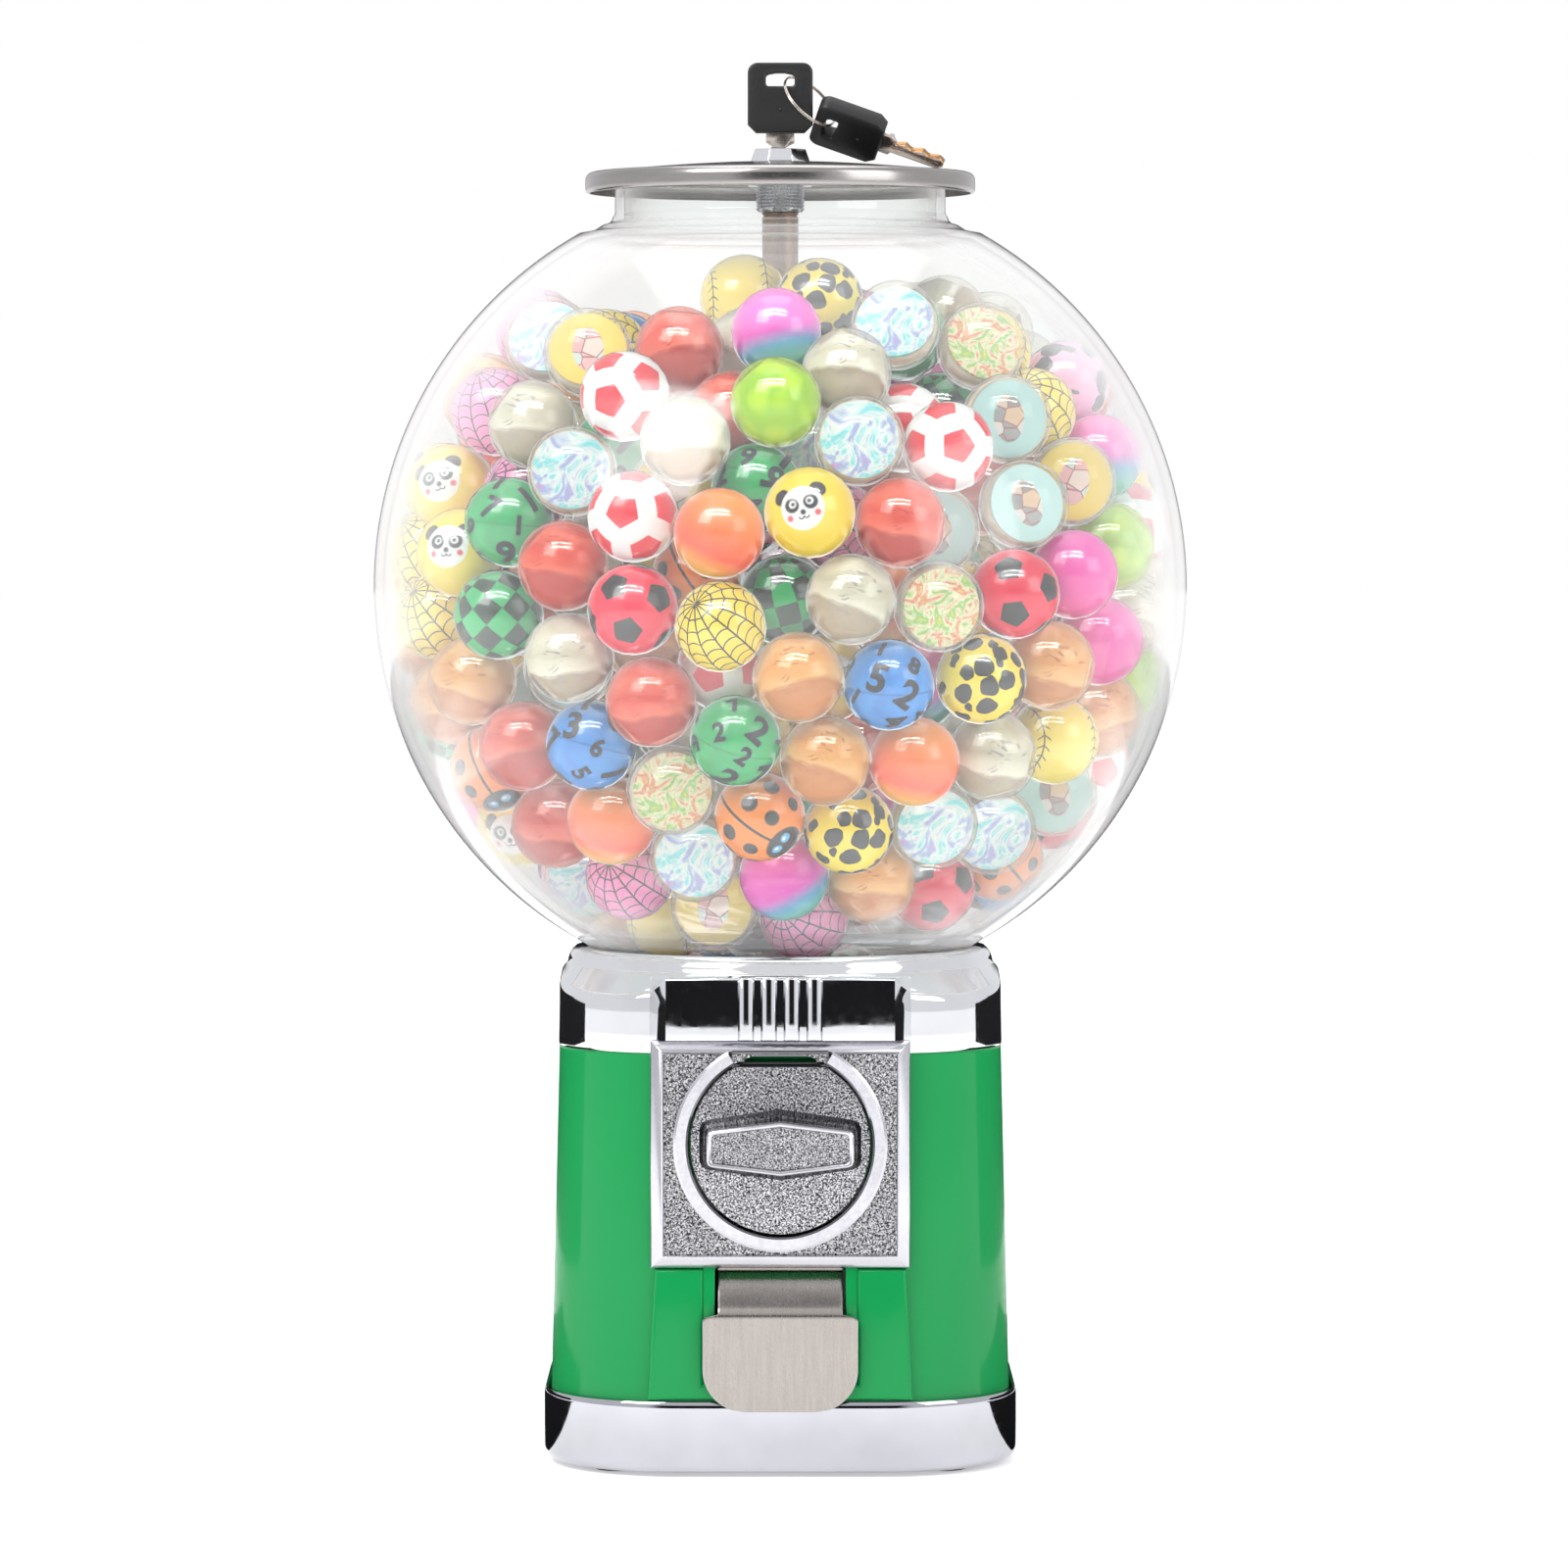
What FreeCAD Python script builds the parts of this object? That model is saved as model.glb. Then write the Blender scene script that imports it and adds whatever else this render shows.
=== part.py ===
import FreeCAD, Part
import math
import os
import random

# Coin operated ball vending machine, table model, millimetres.
# +Z up, front faces -Y, origin at the centre of the base underside.

V = FreeCAD.Vector
OUT = "parts"

# --- driving dimensions -------------------------------------------------
FOOT_H = 1.5
BASE_W = 170.0
BASE_H = 27.0
BASE_R = 50.0
BASE_WALL = 1.6
BODY_Z0 = 4.2
BODY_Z1 = 150.0
BODY_W0 = 166.0
BODY_W1 = 159.0
BODY_R = 48.0
BODY_WALL = 3.0
COLLAR_TOP = 184.0
COLLAR_R = 48.0

GLOBE_CZ = 314.0
GLOBE_R = 147.7
GLOBE_WALL = 3.4
NECK_R = 60.0
NECK_TOP = 461.0
GLOBE_FOOT_R = 70.4
GLOBE_FOOT_Z = 179.0

DIAL_Z = 118.6
PLATE_W = 91.8
PLATE_Z0 = 74.5
PLATE_Z1 = 155.3
PLATE_BACK = -81.5
RING_OD = 75.7
RING_ID = 65.5
RING_GAP = 34.4

MODULE = 2.0
DIAL_TEETH = 12
IDLER_TEETH = 9
CROWN_TEETH = 60
CROWN_R = 60.0
GEAR_Y0 = -63.6
GEAR_Y1 = -56.4
IDLER_Z = DIAL_Z + MODULE * (DIAL_TEETH + IDLER_TEETH) / 2.0
PITCH_Z = IDLER_Z + MODULE * IDLER_TEETH / 2.0

WHEEL_R = 66.0
WHEEL_Z0 = PITCH_Z + 2.3
WHEEL_Z1 = 176.0
FLOOR_Z = PITCH_Z + 1.7
POCKETS = 5
POCKET_R = 18.3
POCKET_C = 37.0
HUB_R = 9.0
EXIT_ANGLE = -22.4

BALL_R = 16.0
BALLS_IN_GLOBE = 384
BALL_GAP = 0.24

ROD_R = 2.5
SLEEVE_R = 7.0
SLEEVE_TOP = 415.0
TUBE_R = 6.6
TUBE_Z0 = 424.0
TUBE_Z1 = 449.6
LID_R = 70.75
LID_Z0 = 457.0
LID_RIM = 464.5
LID_TOP = 468.0


# --- helpers ------------------------------------------------------------
def box(x0, x1, y0, y1, z0, z1):
    return Part.makeBox(x1 - x0, y1 - y0, z1 - z0, V(x0, y0, z0))


def cyl(r, h, x=0.0, y=0.0, z=0.0, axis=V(0, 0, 1)):
    return Part.makeCylinder(r, h, V(x, y, z), axis)


def poly_face(points):
    return Part.Face(Part.makePolygon(list(points) + [points[0]]))


def prism(points, vector):
    return poly_face(points).extrude(vector)


def revolve(profile):
    """Turn a closed (r, z) outline about the Z axis."""
    face = poly_face([V(r, 0, z) for r, z in profile])
    return face.revolve(V(0, 0, 0), V(0, 0, 1), 360)


def arc_points(cr, cz, radius, a0, a1, count):
    step = (a1 - a0) / float(count)
    out = []
    for i in range(count + 1):
        a = math.radians(a0 + step * i)
        out.append((cr + radius * math.cos(a), cz + radius * math.sin(a)))
    return out


def square_wire(width, radius, z, depth=None):
    """Rounded rectangle in plan, centred on the Z axis."""
    a = width / 2.0
    b = (depth or width) / 2.0
    k = radius * (1.0 - math.sqrt(0.5))
    r = radius
    edges = []
    pts = [
        ((-a + r, -b), (a - r, -b), (a - k, -b + k), (a, -b + r)),
        ((a, -b + r), (a, b - r), (a - k, b - k), (a - r, b)),
        ((a - r, b), (-a + r, b), (-a + k, b - k), (-a, b - r)),
        ((-a, b - r), (-a, -b + r), (-a + k, -b + k), (-a + r, -b)),
    ]
    for p, q, m, e in pts:
        edges.append(Part.makeLine(V(p[0], p[1], z), V(q[0], q[1], z)))
        arc = Part.Arc(V(q[0], q[1], z), V(m[0], m[1], z), V(e[0], e[1], z))
        edges.append(arc.toShape())
    return Part.Wire(edges)


def square_loft(sections):
    """Solid through rounded squares given as (width, radius, z)."""
    wires = [square_wire(w, r, z) for w, r, z in sections]
    return Part.makeLoft(wires, True, True)


def tidy(shape):
    shape = shape.removeSplitter()
    if shape.ShapeType == "Compound" and len(shape.Solids) == 1:
        shape = shape.Solids[0]
    return shape


def save(name, shape, count=1):
    if len(shape.Solids) != count:
        raise ValueError("%s has %d solids" % (name, len(shape.Solids)))
    for solid in shape.Solids:
        if not solid.isValid() or not solid.isClosed() or solid.Volume <= 0.0:
            raise ValueError("bad solid in " + name)
    shape.exportStep("%s/%s.step" % (OUT, name))


def polar(r, deg, z=0.0):
    a = math.radians(deg)
    return V(r * math.cos(a), r * math.sin(a), z)


def strip(points, thickness):
    """Mitred band of even thickness along open (y, z) points, as y-z pairs."""
    left = []
    right = []
    n = len(points)
    for i in range(n):
        dirs = []
        if i > 0:
            dirs.append((points[i][0] - points[i - 1][0], points[i][1] - points[i - 1][1]))
        if i < n - 1:
            dirs.append((points[i + 1][0] - points[i][0], points[i + 1][1] - points[i][1]))
        units = [(d[0] / math.hypot(*d), d[1] / math.hypot(*d)) for d in dirs]
        nx = sum(-u[1] for u in units)
        nz = sum(u[0] for u in units)
        ln = math.hypot(nx, nz)
        nx = nx / ln
        nz = nz / ln
        half = thickness / 2.0 / max(0.3, nx * -units[0][1] + nz * units[0][0])
        left.append((points[i][0] + nx * half, points[i][1] + nz * half))
        right.append((points[i][0] - nx * half, points[i][1] - nz * half))
    return left + right[::-1]


# --- base ---------------------------------------------------------------
def base_tray():
    outer = square_loft([
        (BASE_W - 7.0, BASE_R - 3.5, FOOT_H),
        (BASE_W - 2.2, BASE_R - 1.1, FOOT_H + 1.1),
        (BASE_W, BASE_R, FOOT_H + 3.6),
        (BASE_W, BASE_R, BASE_H - 1.2),
        (BASE_W - 1.2, BASE_R - 0.6, BASE_H),
    ])
    inner = square_loft([
        (BASE_W - 2 * BASE_WALL - 0.2, BASE_R - BASE_WALL, BODY_Z0 - 0.1),
        (BASE_W - 2 * BASE_WALL, BASE_R - BASE_WALL, BASE_H + 1.0),
    ])
    tray = outer.cut(inner)
    tray = tray.fuse(Part.makeCone(25.0, 22.0, 6.5, V(0, 0, 4.0)))
    tray = tray.cut(Part.makeCone(22.5, 19.5, 6.5, V(0, 0, 1.5)))
    tray = tray.cut(cyl(ROD_R + 0.3, 20.0))
    for x, y in foot_places():
        tray = tray.cut(cyl(3.0, 10.0, x, y, 0.0))
    return tidy(tray)


def foot_places():
    d = 58.0
    return [(-d, -d), (d, -d), (d, d), (-d, d)]


def rubber_feet():
    feet = []
    for x, y in foot_places():
        foot = Part.makeCone(8.0, 9.0, FOOT_H, V(x, y, 0.0))
        feet.append(foot.fuse(cyl(2.9, 5.0, x, y, FOOT_H - 0.1)).removeSplitter())
    return Part.makeCompound(feet)


# --- painted body -------------------------------------------------------
CHUTE_HALF = 23.15
CHUTE_Z0 = 33.5
CHUTE_Z1 = 74.2
DOOR_Y = -75.0
DOOR_Z = 74.4
DOOR_PIN = 1.3


def body_shell():
    outer = square_loft([(BODY_W0, BODY_R, BODY_Z0), (BODY_W1, BODY_R, BODY_Z1)])
    t = 2.0 * BODY_WALL
    inner = square_loft([
        (BODY_W0 - t, BODY_R - BODY_WALL, BODY_Z0 - 1.0),
        (BODY_W1 - t, BODY_R - BODY_WALL, BODY_Z1 - 4.0),
    ])
    pad = box(-43.0, 43.0, PLATE_BACK, -75.0, 76.0, 149.4)
    panel = prism(
        [V(-47.0, -84.4, 27.6), V(47.0, -84.4, 27.6), V(44.5, -84.4, 74.2), V(-44.5, -84.4, 74.2)],
        V(0, 9.0, 0),
    )
    panel = panel.makeChamfer(1.6, [e for e in panel.Edges if e.BoundBox.YLength < 0.1
                                    and abs(e.BoundBox.YMin + 84.4) < 0.1])
    body = outer.fuse([pad, panel]).cut(inner)
    body = body.fuse([box(-27.2, -CHUTE_HALF, -81.3, -70.2, CHUTE_Z0 - 1.5, 79.5),
                      box(CHUTE_HALF, 27.2, -81.3, -70.2, CHUTE_Z0 - 1.5, 79.5)])
    body = body.cut(box(-CHUTE_HALF, CHUTE_HALF, -90.0, -68.0, CHUTE_Z0, CHUTE_Z1))
    body = body.cut(box(-CHUTE_HALF, CHUTE_HALF, -79.0, -68.0, CHUTE_Z1 - 1.0, CHUTE_Z1 + 5.0))
    body = body.cut(cyl(DOOR_PIN + 0.02, 60.0, -30.0, DOOR_Y, DOOR_Z, V(1, 0, 0)))
    body = body.cut(box(-39.5, 39.5, -90.0, -70.0, 80.0, 145.8))
    for x, z in post_places():
        body = body.cut(cyl(5.0, 30.0, x, -90.0, z, V(0, 1, 0)))
    flange_hole = cyl(70.6, 10.0, 0, 0, BODY_Z1 - 5.0)
    body = body.cut(flange_hole)
    body = body.cut(box(-16.0, 16.0, -74.0, -60.0, 140.0, BODY_Z1 + 1.0))
    for x, y in pan_screw_places():
        body = body.cut(cyl(1.6, 10.0, x, y, BODY_Z1 - 5.0))
    return tidy(body)


# --- chrome collar ------------------------------------------------------
def collar_top_profile(drop=0.0):
    pts = [(77.6, 178.2), (79.0, 177.2), (87.0, 173.2), (96.0, 168.6)]
    return [(r, z - drop) for r, z in pts]


def collar():
    cover = [(0.0, 149.0), (110.0, 149.0), (110.0, 161.6)]
    cover += collar_top_profile()[::-1]
    cover += [(77.3, 180.2), (76.6, 182.0), (75.4, 183.3), (73.8, 184.0), (71.0, 184.0)]
    cover += [(0.0, 184.0)]
    outer = square_loft([(BODY_W1 + 0.6, COLLAR_R, BODY_Z1), (BODY_W1 - 1.0, COLLAR_R, 190.0)])
    body = outer.common(revolve(cover))
    t = 3.0
    cavity = square_loft([
        (BODY_W1 - 2 * t, COLLAR_R - t, BODY_Z1 - 1.0),
        (BODY_W1 - 1.0 - 2 * t, COLLAR_R - t, 190.0),
    ])
    under = [(0.0, 149.0), (110.0, 149.0), (110.0, 158.0)]
    under += collar_top_profile(3.2)[::-1]
    under += [(74.6, 175.6), (0.0, 175.6)]
    cavity = cavity.common(revolve(under))
    boss = prism(
        [V(-46.4, -76.0, BODY_Z1 + 0.0), V(-46.4, -80.5, BODY_Z1), V(-40.2, -89.6, BODY_Z1),
         V(40.2, -89.6, BODY_Z1), V(46.4, -80.5, BODY_Z1), V(46.4, -76.0, BODY_Z1)],
        V(0, 0, 27.6),
    )
    boss = boss.cut(prism(
        [V(0, -92.0, 179.0), V(0, -92.0, 175.4), V(0, -89.6, 176.2), V(0, -86.6, 177.8),
         V(0, -86.0, 179.0)], V(60, 0, 0)))
    boss = boss.cut(prism(
        [V(0, -92.0, 179.0), V(0, -92.0, 175.4), V(0, -89.6, 176.2), V(0, -86.6, 177.8),
         V(0, -86.0, 179.0)], V(-60, 0, 0)))
    for s in (-1.0, 1.0):
        boss = boss.cut(prism(
            [V(s * 48.0, -95.0, 170.0), V(s * 46.4, -95.0, 170.0), V(s * 40.4, -95.0, 177.6),
             V(s * 40.4, -95.0, 179.0), V(s * 48.0, -95.0, 179.0)], V(0, 30.0, 0)))
    body = body.fuse(boss)
    body = body.cut(cavity)
    body = body.cut(box(-60.0, 60.0, -95.0, PLATE_BACK + 0.1, BODY_Z1 - 1.0, PLATE_Z1 + 0.25))
    body = body.cut(cyl(67.6, 20.0, 0, 0, 174.0))
    body = body.cut(cyl(71.0, 10.0, 0, 0, 178.0))
    pitch = 8.05
    for i in range(4):
        x = (i - 1.5) * pitch
        body = body.cut(cyl(3.3, 24.0, x, -91.2, PLATE_Z1 + 0.25, V(0, 0, 1)))
    return tidy(body)


# --- wheel pan ----------------------------------------------------------
def pan_screw_places():
    return [(s * 52.0, t * 52.0) for s in (-1, 1) for t in (-1, 1)]


def wheel_pan():
    f = FLOOR_Z
    tray_floor = PITCH_Z - 2.3
    profile = [
        (ROD_R + 0.15, f - 3.0), (53.2, f - 3.0), (53.2, tray_floor - 2.5), (69.9, tray_floor - 2.5),
        (69.9, BODY_Z1), (75.6, BODY_Z1), (75.6, BODY_Z1 + 2.4), (69.9, BODY_Z1 + 2.4),
        (69.9, 175.3), (67.0, 175.3), (67.0, tray_floor), (55.8, tray_floor), (55.8, f),
        (HUB_R + 4.0, f), (HUB_R, f + 0.6), (HUB_R, WHEEL_Z1 + 0.5), (ROD_R + 0.15, WHEEL_Z1 + 0.5),
    ]
    pan = revolve(profile)
    e = polar(POCKET_C, EXIT_ANGLE)
    pan = pan.cut(cyl(POCKET_R - 0.4, 30.0, e.x, e.y, f - 15.0))
    pan = pan.cut(box(-13.0, 13.0, -72.0, -51.0, 130.0, f + 0.2))
    for x, y in pan_screw_places():
        pan = pan.fuse(cyl(4.5, 2.4, x, y, BODY_Z1))
    pan = pan.removeSplitter()
    for x, y in pan_screw_places():
        pan = pan.cut(cyl(1.7, 10.0, x, y, BODY_Z1 - 1.0))
    return tidy(pan)


def pan_screws():
    out = []
    for x, y in pan_screw_places():
        z = BODY_Z1 + 2.4
        screw = Part.makeCone(3.2, 2.2, 1.6, V(x, y, z)).fuse(cyl(1.5, 6.0, x, y, z - 6.0))
        screw = screw.cut(box(x - 0.35, x + 0.35, y - 4, y + 4, z + 0.9, z + 3))
        out.append(screw.removeSplitter())
    return Part.makeCompound(out)


# --- merchandise wheel --------------------------------------------------
def wheel():
    disc = revolve([
        (HUB_R + 0.35, WHEEL_Z0), (WHEEL_R, WHEEL_Z0), (WHEEL_R, WHEEL_Z1 - 1.0),
        (WHEEL_R - 1.0, WHEEL_Z1), (HUB_R + 0.35, WHEEL_Z1),
    ])
    web = revolve([(20.0, WHEEL_Z0 - 1), (52.0, WHEEL_Z0 - 1), (52.0, WHEEL_Z1 - 2.6), (20.0, WHEEL_Z1 - 2.6)])
    for i in range(POCKETS):
        p = polar(POCKET_C, EXIT_ANGLE + 72.0 * i)
        web = web.cut(cyl(POCKET_R + 2.2, 60.0, p.x, p.y, WHEEL_Z0 - 20.0))
    keep = [s for s in web.Solids if s.Volume > 600.0]
    disc = disc.cut(Part.makeCompound(keep))
    for i in range(POCKETS):
        p = polar(POCKET_C, EXIT_ANGLE + 72.0 * i)
        disc = disc.cut(cyl(POCKET_R, 60.0, p.x, p.y, WHEEL_Z0 - 20.0))
        disc = disc.cut(Part.makeCone(POCKET_R, POCKET_R + 1.6, 1.7, V(p.x, p.y, WHEEL_Z1 - 1.6)))
    teeth = []
    root = 1.35
    tip = 0.55
    for i in range(CROWN_TEETH):
        a = -90.0 + 3.0 + 6.0 * i
        sections = []
        for r in (56.6, 63.4):
            k = r / CROWN_R
            pts = [V(r, -root * k, WHEEL_Z0 + 0.2), V(r, root * k, WHEEL_Z0 + 0.2),
                   V(r, tip * k, PITCH_Z - 1.6), V(r, -tip * k, PITCH_Z - 1.6)]
            sections.append(Part.makePolygon(pts + [pts[0]]))
        tooth = Part.makeLoft(sections, True, True)
        tooth.rotate(V(0, 0, 0), V(0, 0, 1), a)
        teeth.append(tooth)
    return tidy(disc.fuse(teeth))


def carried_balls():
    out = []
    for i in range(1, POCKETS):
        p = polar(POCKET_C, EXIT_ANGLE + 72.0 * i)
        out.append(Part.makeSphere(BALL_R, V(p.x, p.y, FLOOR_Z + BALL_R + 0.25)))
    return Part.makeCompound(out)


# --- gears --------------------------------------------------------------
def spur(teeth, tooth_at, bore):
    """Straight cut gear about the Y axis, one tooth centred on tooth_at."""
    pitch_r = MODULE * teeth / 2.0
    rows = ((pitch_r - 2.25, 1.75), (pitch_r - 1.0, 1.6), (pitch_r, 1.18), (pitch_r + 1.55, 0.5))
    pts = []
    for i in range(teeth):
        base = math.radians(tooth_at + 360.0 * i / teeth)
        left = []
        right = []
        for r, half in rows:
            a = half / r
            left.append(V(r * math.cos(base - a), GEAR_Y0, r * math.sin(base - a)))
            right.append(V(r * math.cos(base + a), GEAR_Y0, r * math.sin(base + a)))
        pts += left + right[::-1]
    gear = prism(pts, V(0, GEAR_Y1 - GEAR_Y0, 0))
    return gear.cut(cyl(bore, 60.0, 0, GEAR_Y0 - 20.0, 0, V(0, 1, 0)))


def dial_gear():
    gear = spur(DIAL_TEETH, 90.0, 4.03)
    gear.translate(V(0, 0, DIAL_Z))
    return tidy(gear)


def idler_gear():
    gear = spur(IDLER_TEETH, 90.0, 2.55)
    gear.translate(V(0, 0, IDLER_Z))
    return tidy(gear)


def idler_pin():
    pin = cyl(2.5, 17.6, 0, -69.0, IDLER_Z, V(0, 1, 0))
    head = cyl(3.6, 1.0, 0, -69.3, IDLER_Z, V(0, 1, 0))
    head = head.fuse(cyl(3.6, 0.9, 0, -52.0, IDLER_Z, V(0, 1, 0)))
    return tidy(pin.fuse(head).fuse(cyl(3.6, 2.3, 0, -66.0, IDLER_Z, V(0, 1, 0))))


# --- coin mechanism -----------------------------------------------------
def post_places():
    return [(-31.0, 100.0), (31.0, 100.0), (-31.0, 138.5), (31.0, 138.5)]


def mech_plate():
    h = PLATE_W / 2.0
    zc = (PLATE_Z0 + PLATE_Z1) / 2.0
    zh = (PLATE_Z1 - PLATE_Z0) / 2.0
    b = PLATE_BACK
    low = Part.makePolygon([V(-h, b - 3.0, PLATE_Z0), V(h, b - 3.0, PLATE_Z0), V(h, b - 3.0, PLATE_Z1),
                            V(-h, b - 3.0, PLATE_Z1), V(-h, b - 3.0, PLATE_Z0)])
    i = 3.4
    high = Part.makePolygon([V(-h + i, b - 6.2, PLATE_Z0 + i), V(h - i, b - 6.2, PLATE_Z0 + i),
                             V(h - i, b - 6.2, PLATE_Z1 - i), V(-h + i, b - 6.2, PLATE_Z1 - i),
                             V(-h + i, b - 6.2, PLATE_Z0 + i)])
    plate = box(-h, h, b - 3.0, b, PLATE_Z0, PLATE_Z1).fuse(Part.makeLoft([low, high], True, True))
    n = 4.8
    plate = plate.cut(box(-h + n, h - n, b - 8.0, b - 4.4, PLATE_Z0 + n, PLATE_Z1 - n))
    axis = V(0, 1, 0)
    ring = cyl(RING_OD / 2.0, 3.6, 0, b - 7.4, DIAL_Z, axis)
    ring = ring.fuse(Part.makeCone(RING_OD / 2.0 - 0.6, RING_OD / 2.0, 0.6, V(0, b - 8.0, DIAL_Z), axis))
    g = RING_GAP / 2.0
    ring = ring.cut(box(-g, g, b - 9.0, b, DIAL_Z + 10.0, DIAL_Z + 45.0))
    ring = ring.common(box(-h, h, b - 9.0, b, PLATE_Z0, PLATE_Z1 - 1.2))
    plate = plate.fuse(ring)
    plate = plate.cut(cyl(RING_ID / 2.0, 20.0, 0, b - 12.0, DIAL_Z, axis))
    plate = plate.cut(box(-g, g, b - 9.0, b - 2.2, 145.0, 150.9))
    plate = plate.cut(box(-15.6, 15.6, b - 3.0, b + 1.0, 144.0, 150.4))
    for x, z in post_places():
        plate = plate.fuse(cyl(4.2, 13.3, x, b, z, axis))
    plate = plate.removeSplitter()
    for x, z in post_places():
        plate = plate.cut(cyl(1.45, 12.0, x, b + 2.0, z, axis))
    return tidy(plate)


def coin_gauge():
    y = PLATE_BACK
    g = box(-15.4, 15.4, y - 1.2, y - 0.05, 146.4, 150.3)
    return tidy(g.cut(box(-12.6, 12.6, y - 3.0, y + 1.0, 147.4, 149.4)))


def mech_bracket():
    front = box(-37.0, 37.0, -68.0, -66.0, 93.0, 143.6)
    back = box(-22.0, 22.0, -54.2, -52.0, 93.0, 143.6)
    web = box(-22.0, 22.0, -67.0, -53.0, 93.0, 95.4)
    sides = box(-22.0, -19.6, -67.0, -53.0, 93.0, 137.0).fuse(box(19.6, 22.0, -67.0, -53.0, 93.0, 137.0))
    body = front.fuse([back, web, sides]).removeSplitter()
    axis = V(0, 1, 0)
    body = body.cut(cyl(4.06, 40.0, 0, -80.0, DIAL_Z, axis))
    body = body.cut(cyl(2.52, 40.0, 0, -80.0, IDLER_Z, axis))
    body = body.cut(box(-2.52, 2.52, -70.0, -50.0, IDLER_Z, 150.0))
    for x, z in post_places():
        body = body.cut(cyl(1.75, 10.0, x, -72.0, z, axis))
    body = body.cut(cyl(1.55, 10.0, -25.5, -72.0, 126.0, axis))
    return tidy(body)


def mech_screws():
    out = []
    axis = V(0, 1, 0)
    for x, z in post_places():
        s = cyl(1.42, 9.0, x, -75.0, z, axis).fuse(cyl(3.0, 1.9, x, -66.0, z, axis))
        s = s.cut(box(x - 3.5, x + 3.5, -64.9, -63.0, z - 0.4, z + 0.4))
        out.append(s.removeSplitter())
    return Part.makeCompound(out)


def dial_disc():
    axis = V(0, 1, 0)
    disc = cyl(RING_ID / 2.0 - 0.35, 4.6, 0, -87.4, DIAL_Z, axis)
    disc = disc.cut(box(-40.0, 40.0, -90.0, -80.0, 146.1, 160.0))
    disc = disc.fuse(cyl(9.0, 5.2, 0, -83.0, DIAL_Z, axis))
    disc = disc.cut(cyl(4.03, 30.0, 0, -85.0, DIAL_Z, axis))
    return tidy(disc.cut(cyl(1.9, 12.0, 0, -90.0, DIAL_Z, axis)))


def hexagon(half, mid, end, corner, y):
    z = DIAL_Z
    c = corner
    return [
        V(-half + c, y, z - end + 0.0), V(0, y, z - mid), V(half - c, y, z - end),
        V(half, y, z - end + c), V(half, y, z + end - c), V(half - c, y, z + end),
        V(0, y, z + mid), V(-half + c, y, z + end), V(-half, y, z + end - c), V(-half, y, z - end + c),
    ]


def dial_handle():
    rows = [(28.6, 12.6, 8.8, 3.0, -87.4), (27.0, 10.6, 7.4, 2.4, -90.4), (26.0, 9.55, 6.6, 1.9, -99.0),
            (25.85, 9.35, 6.4, 1.8, -105.4)]
    wires = []
    for half, mid, end, corner, y in rows:
        pts = hexagon(half, mid, end, corner, y)
        wires.append(Part.makePolygon(pts + [pts[0]]))
    handle = Part.makeLoft(wires, True, True)
    face = hexagon(24.0, 7.5, 5.1, 0.8, -106.0)
    handle = handle.cut(prism(face, V(0, 1.9, 0)))
    hollow = [(24.6, 8.4, 5.2, 1.0, -87.0), (23.4, 7.0, 4.4, 0.8, -101.0)]
    wires = []
    for half, mid, end, corner, y in hollow:
        pts = hexagon(half, mid, end, corner, y)
        wires.append(Part.makePolygon(pts + [pts[0]]))
    boss = cyl(7.0, 16.0, 0, -103.0, DIAL_Z, V(0, 1, 0))
    handle = handle.cut(Part.makeLoft(wires, True, True).cut(boss))
    handle = handle.cut(cyl(1.9, 12.5, 0, -99.5, DIAL_Z, V(0, 1, 0)))
    return tidy(handle)


def dial_shaft():
    axis = V(0, 1, 0)
    shaft = cyl(4.0, 36.7, 0, -85.0, DIAL_Z, axis)
    shaft = shaft.fuse(cyl(6.2, 1.6, 0, -70.0, DIAL_Z, axis))
    return tidy(shaft.fuse(cyl(1.85, 13.0, 0, -97.8, DIAL_Z, axis)))


def shaft_nut():
    pts = [V(7.0 * math.cos(math.radians(60 * k)), -51.6, DIAL_Z + 7.0 * math.sin(math.radians(60 * k)))
           for k in range(6)]
    nut = prism(pts, V(0, 2.8, 0))
    return tidy(nut.cut(cyl(4.02, 10.0, 0, -55.0, DIAL_Z, V(0, 1, 0))))


def coin_carrier():
    axis = V(0, 1, 0)
    disc = cyl(26.8, 2.6, 0, -77.6, DIAL_Z, axis)
    disc = disc.cut(cyl(12.4, 4.0, 0, -78.0, DIAL_Z + 20.0, axis))
    disc = disc.cut(box(-12.4, 12.4, -79.0, -74.0, DIAL_Z + 20.0, DIAL_Z + 40.0))
    pts = []
    for i in range(16):
        a = math.radians(22.5 * i)
        b = math.radians(22.5 * i + 4.0)
        pts.append(V(17.0 * math.cos(a), -75.1, 17.0 * math.sin(a) + DIAL_Z))
        pts.append(V(20.0 * math.cos(b), -75.1, 20.0 * math.sin(b) + DIAL_Z))
    hollow = cyl(12.6, 8.0, 0, -79.0, DIAL_Z + 20.0, axis)
    ratchet = prism(pts, V(0, 3.2, 0)).cut(hollow)
    disc = disc.fuse(ratchet)
    return tidy(disc.cut(cyl(4.03, 20.0, 0, -82.0, DIAL_Z, axis)))


PAWL_X = -25.5
PAWL_Z = 126.0


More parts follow.
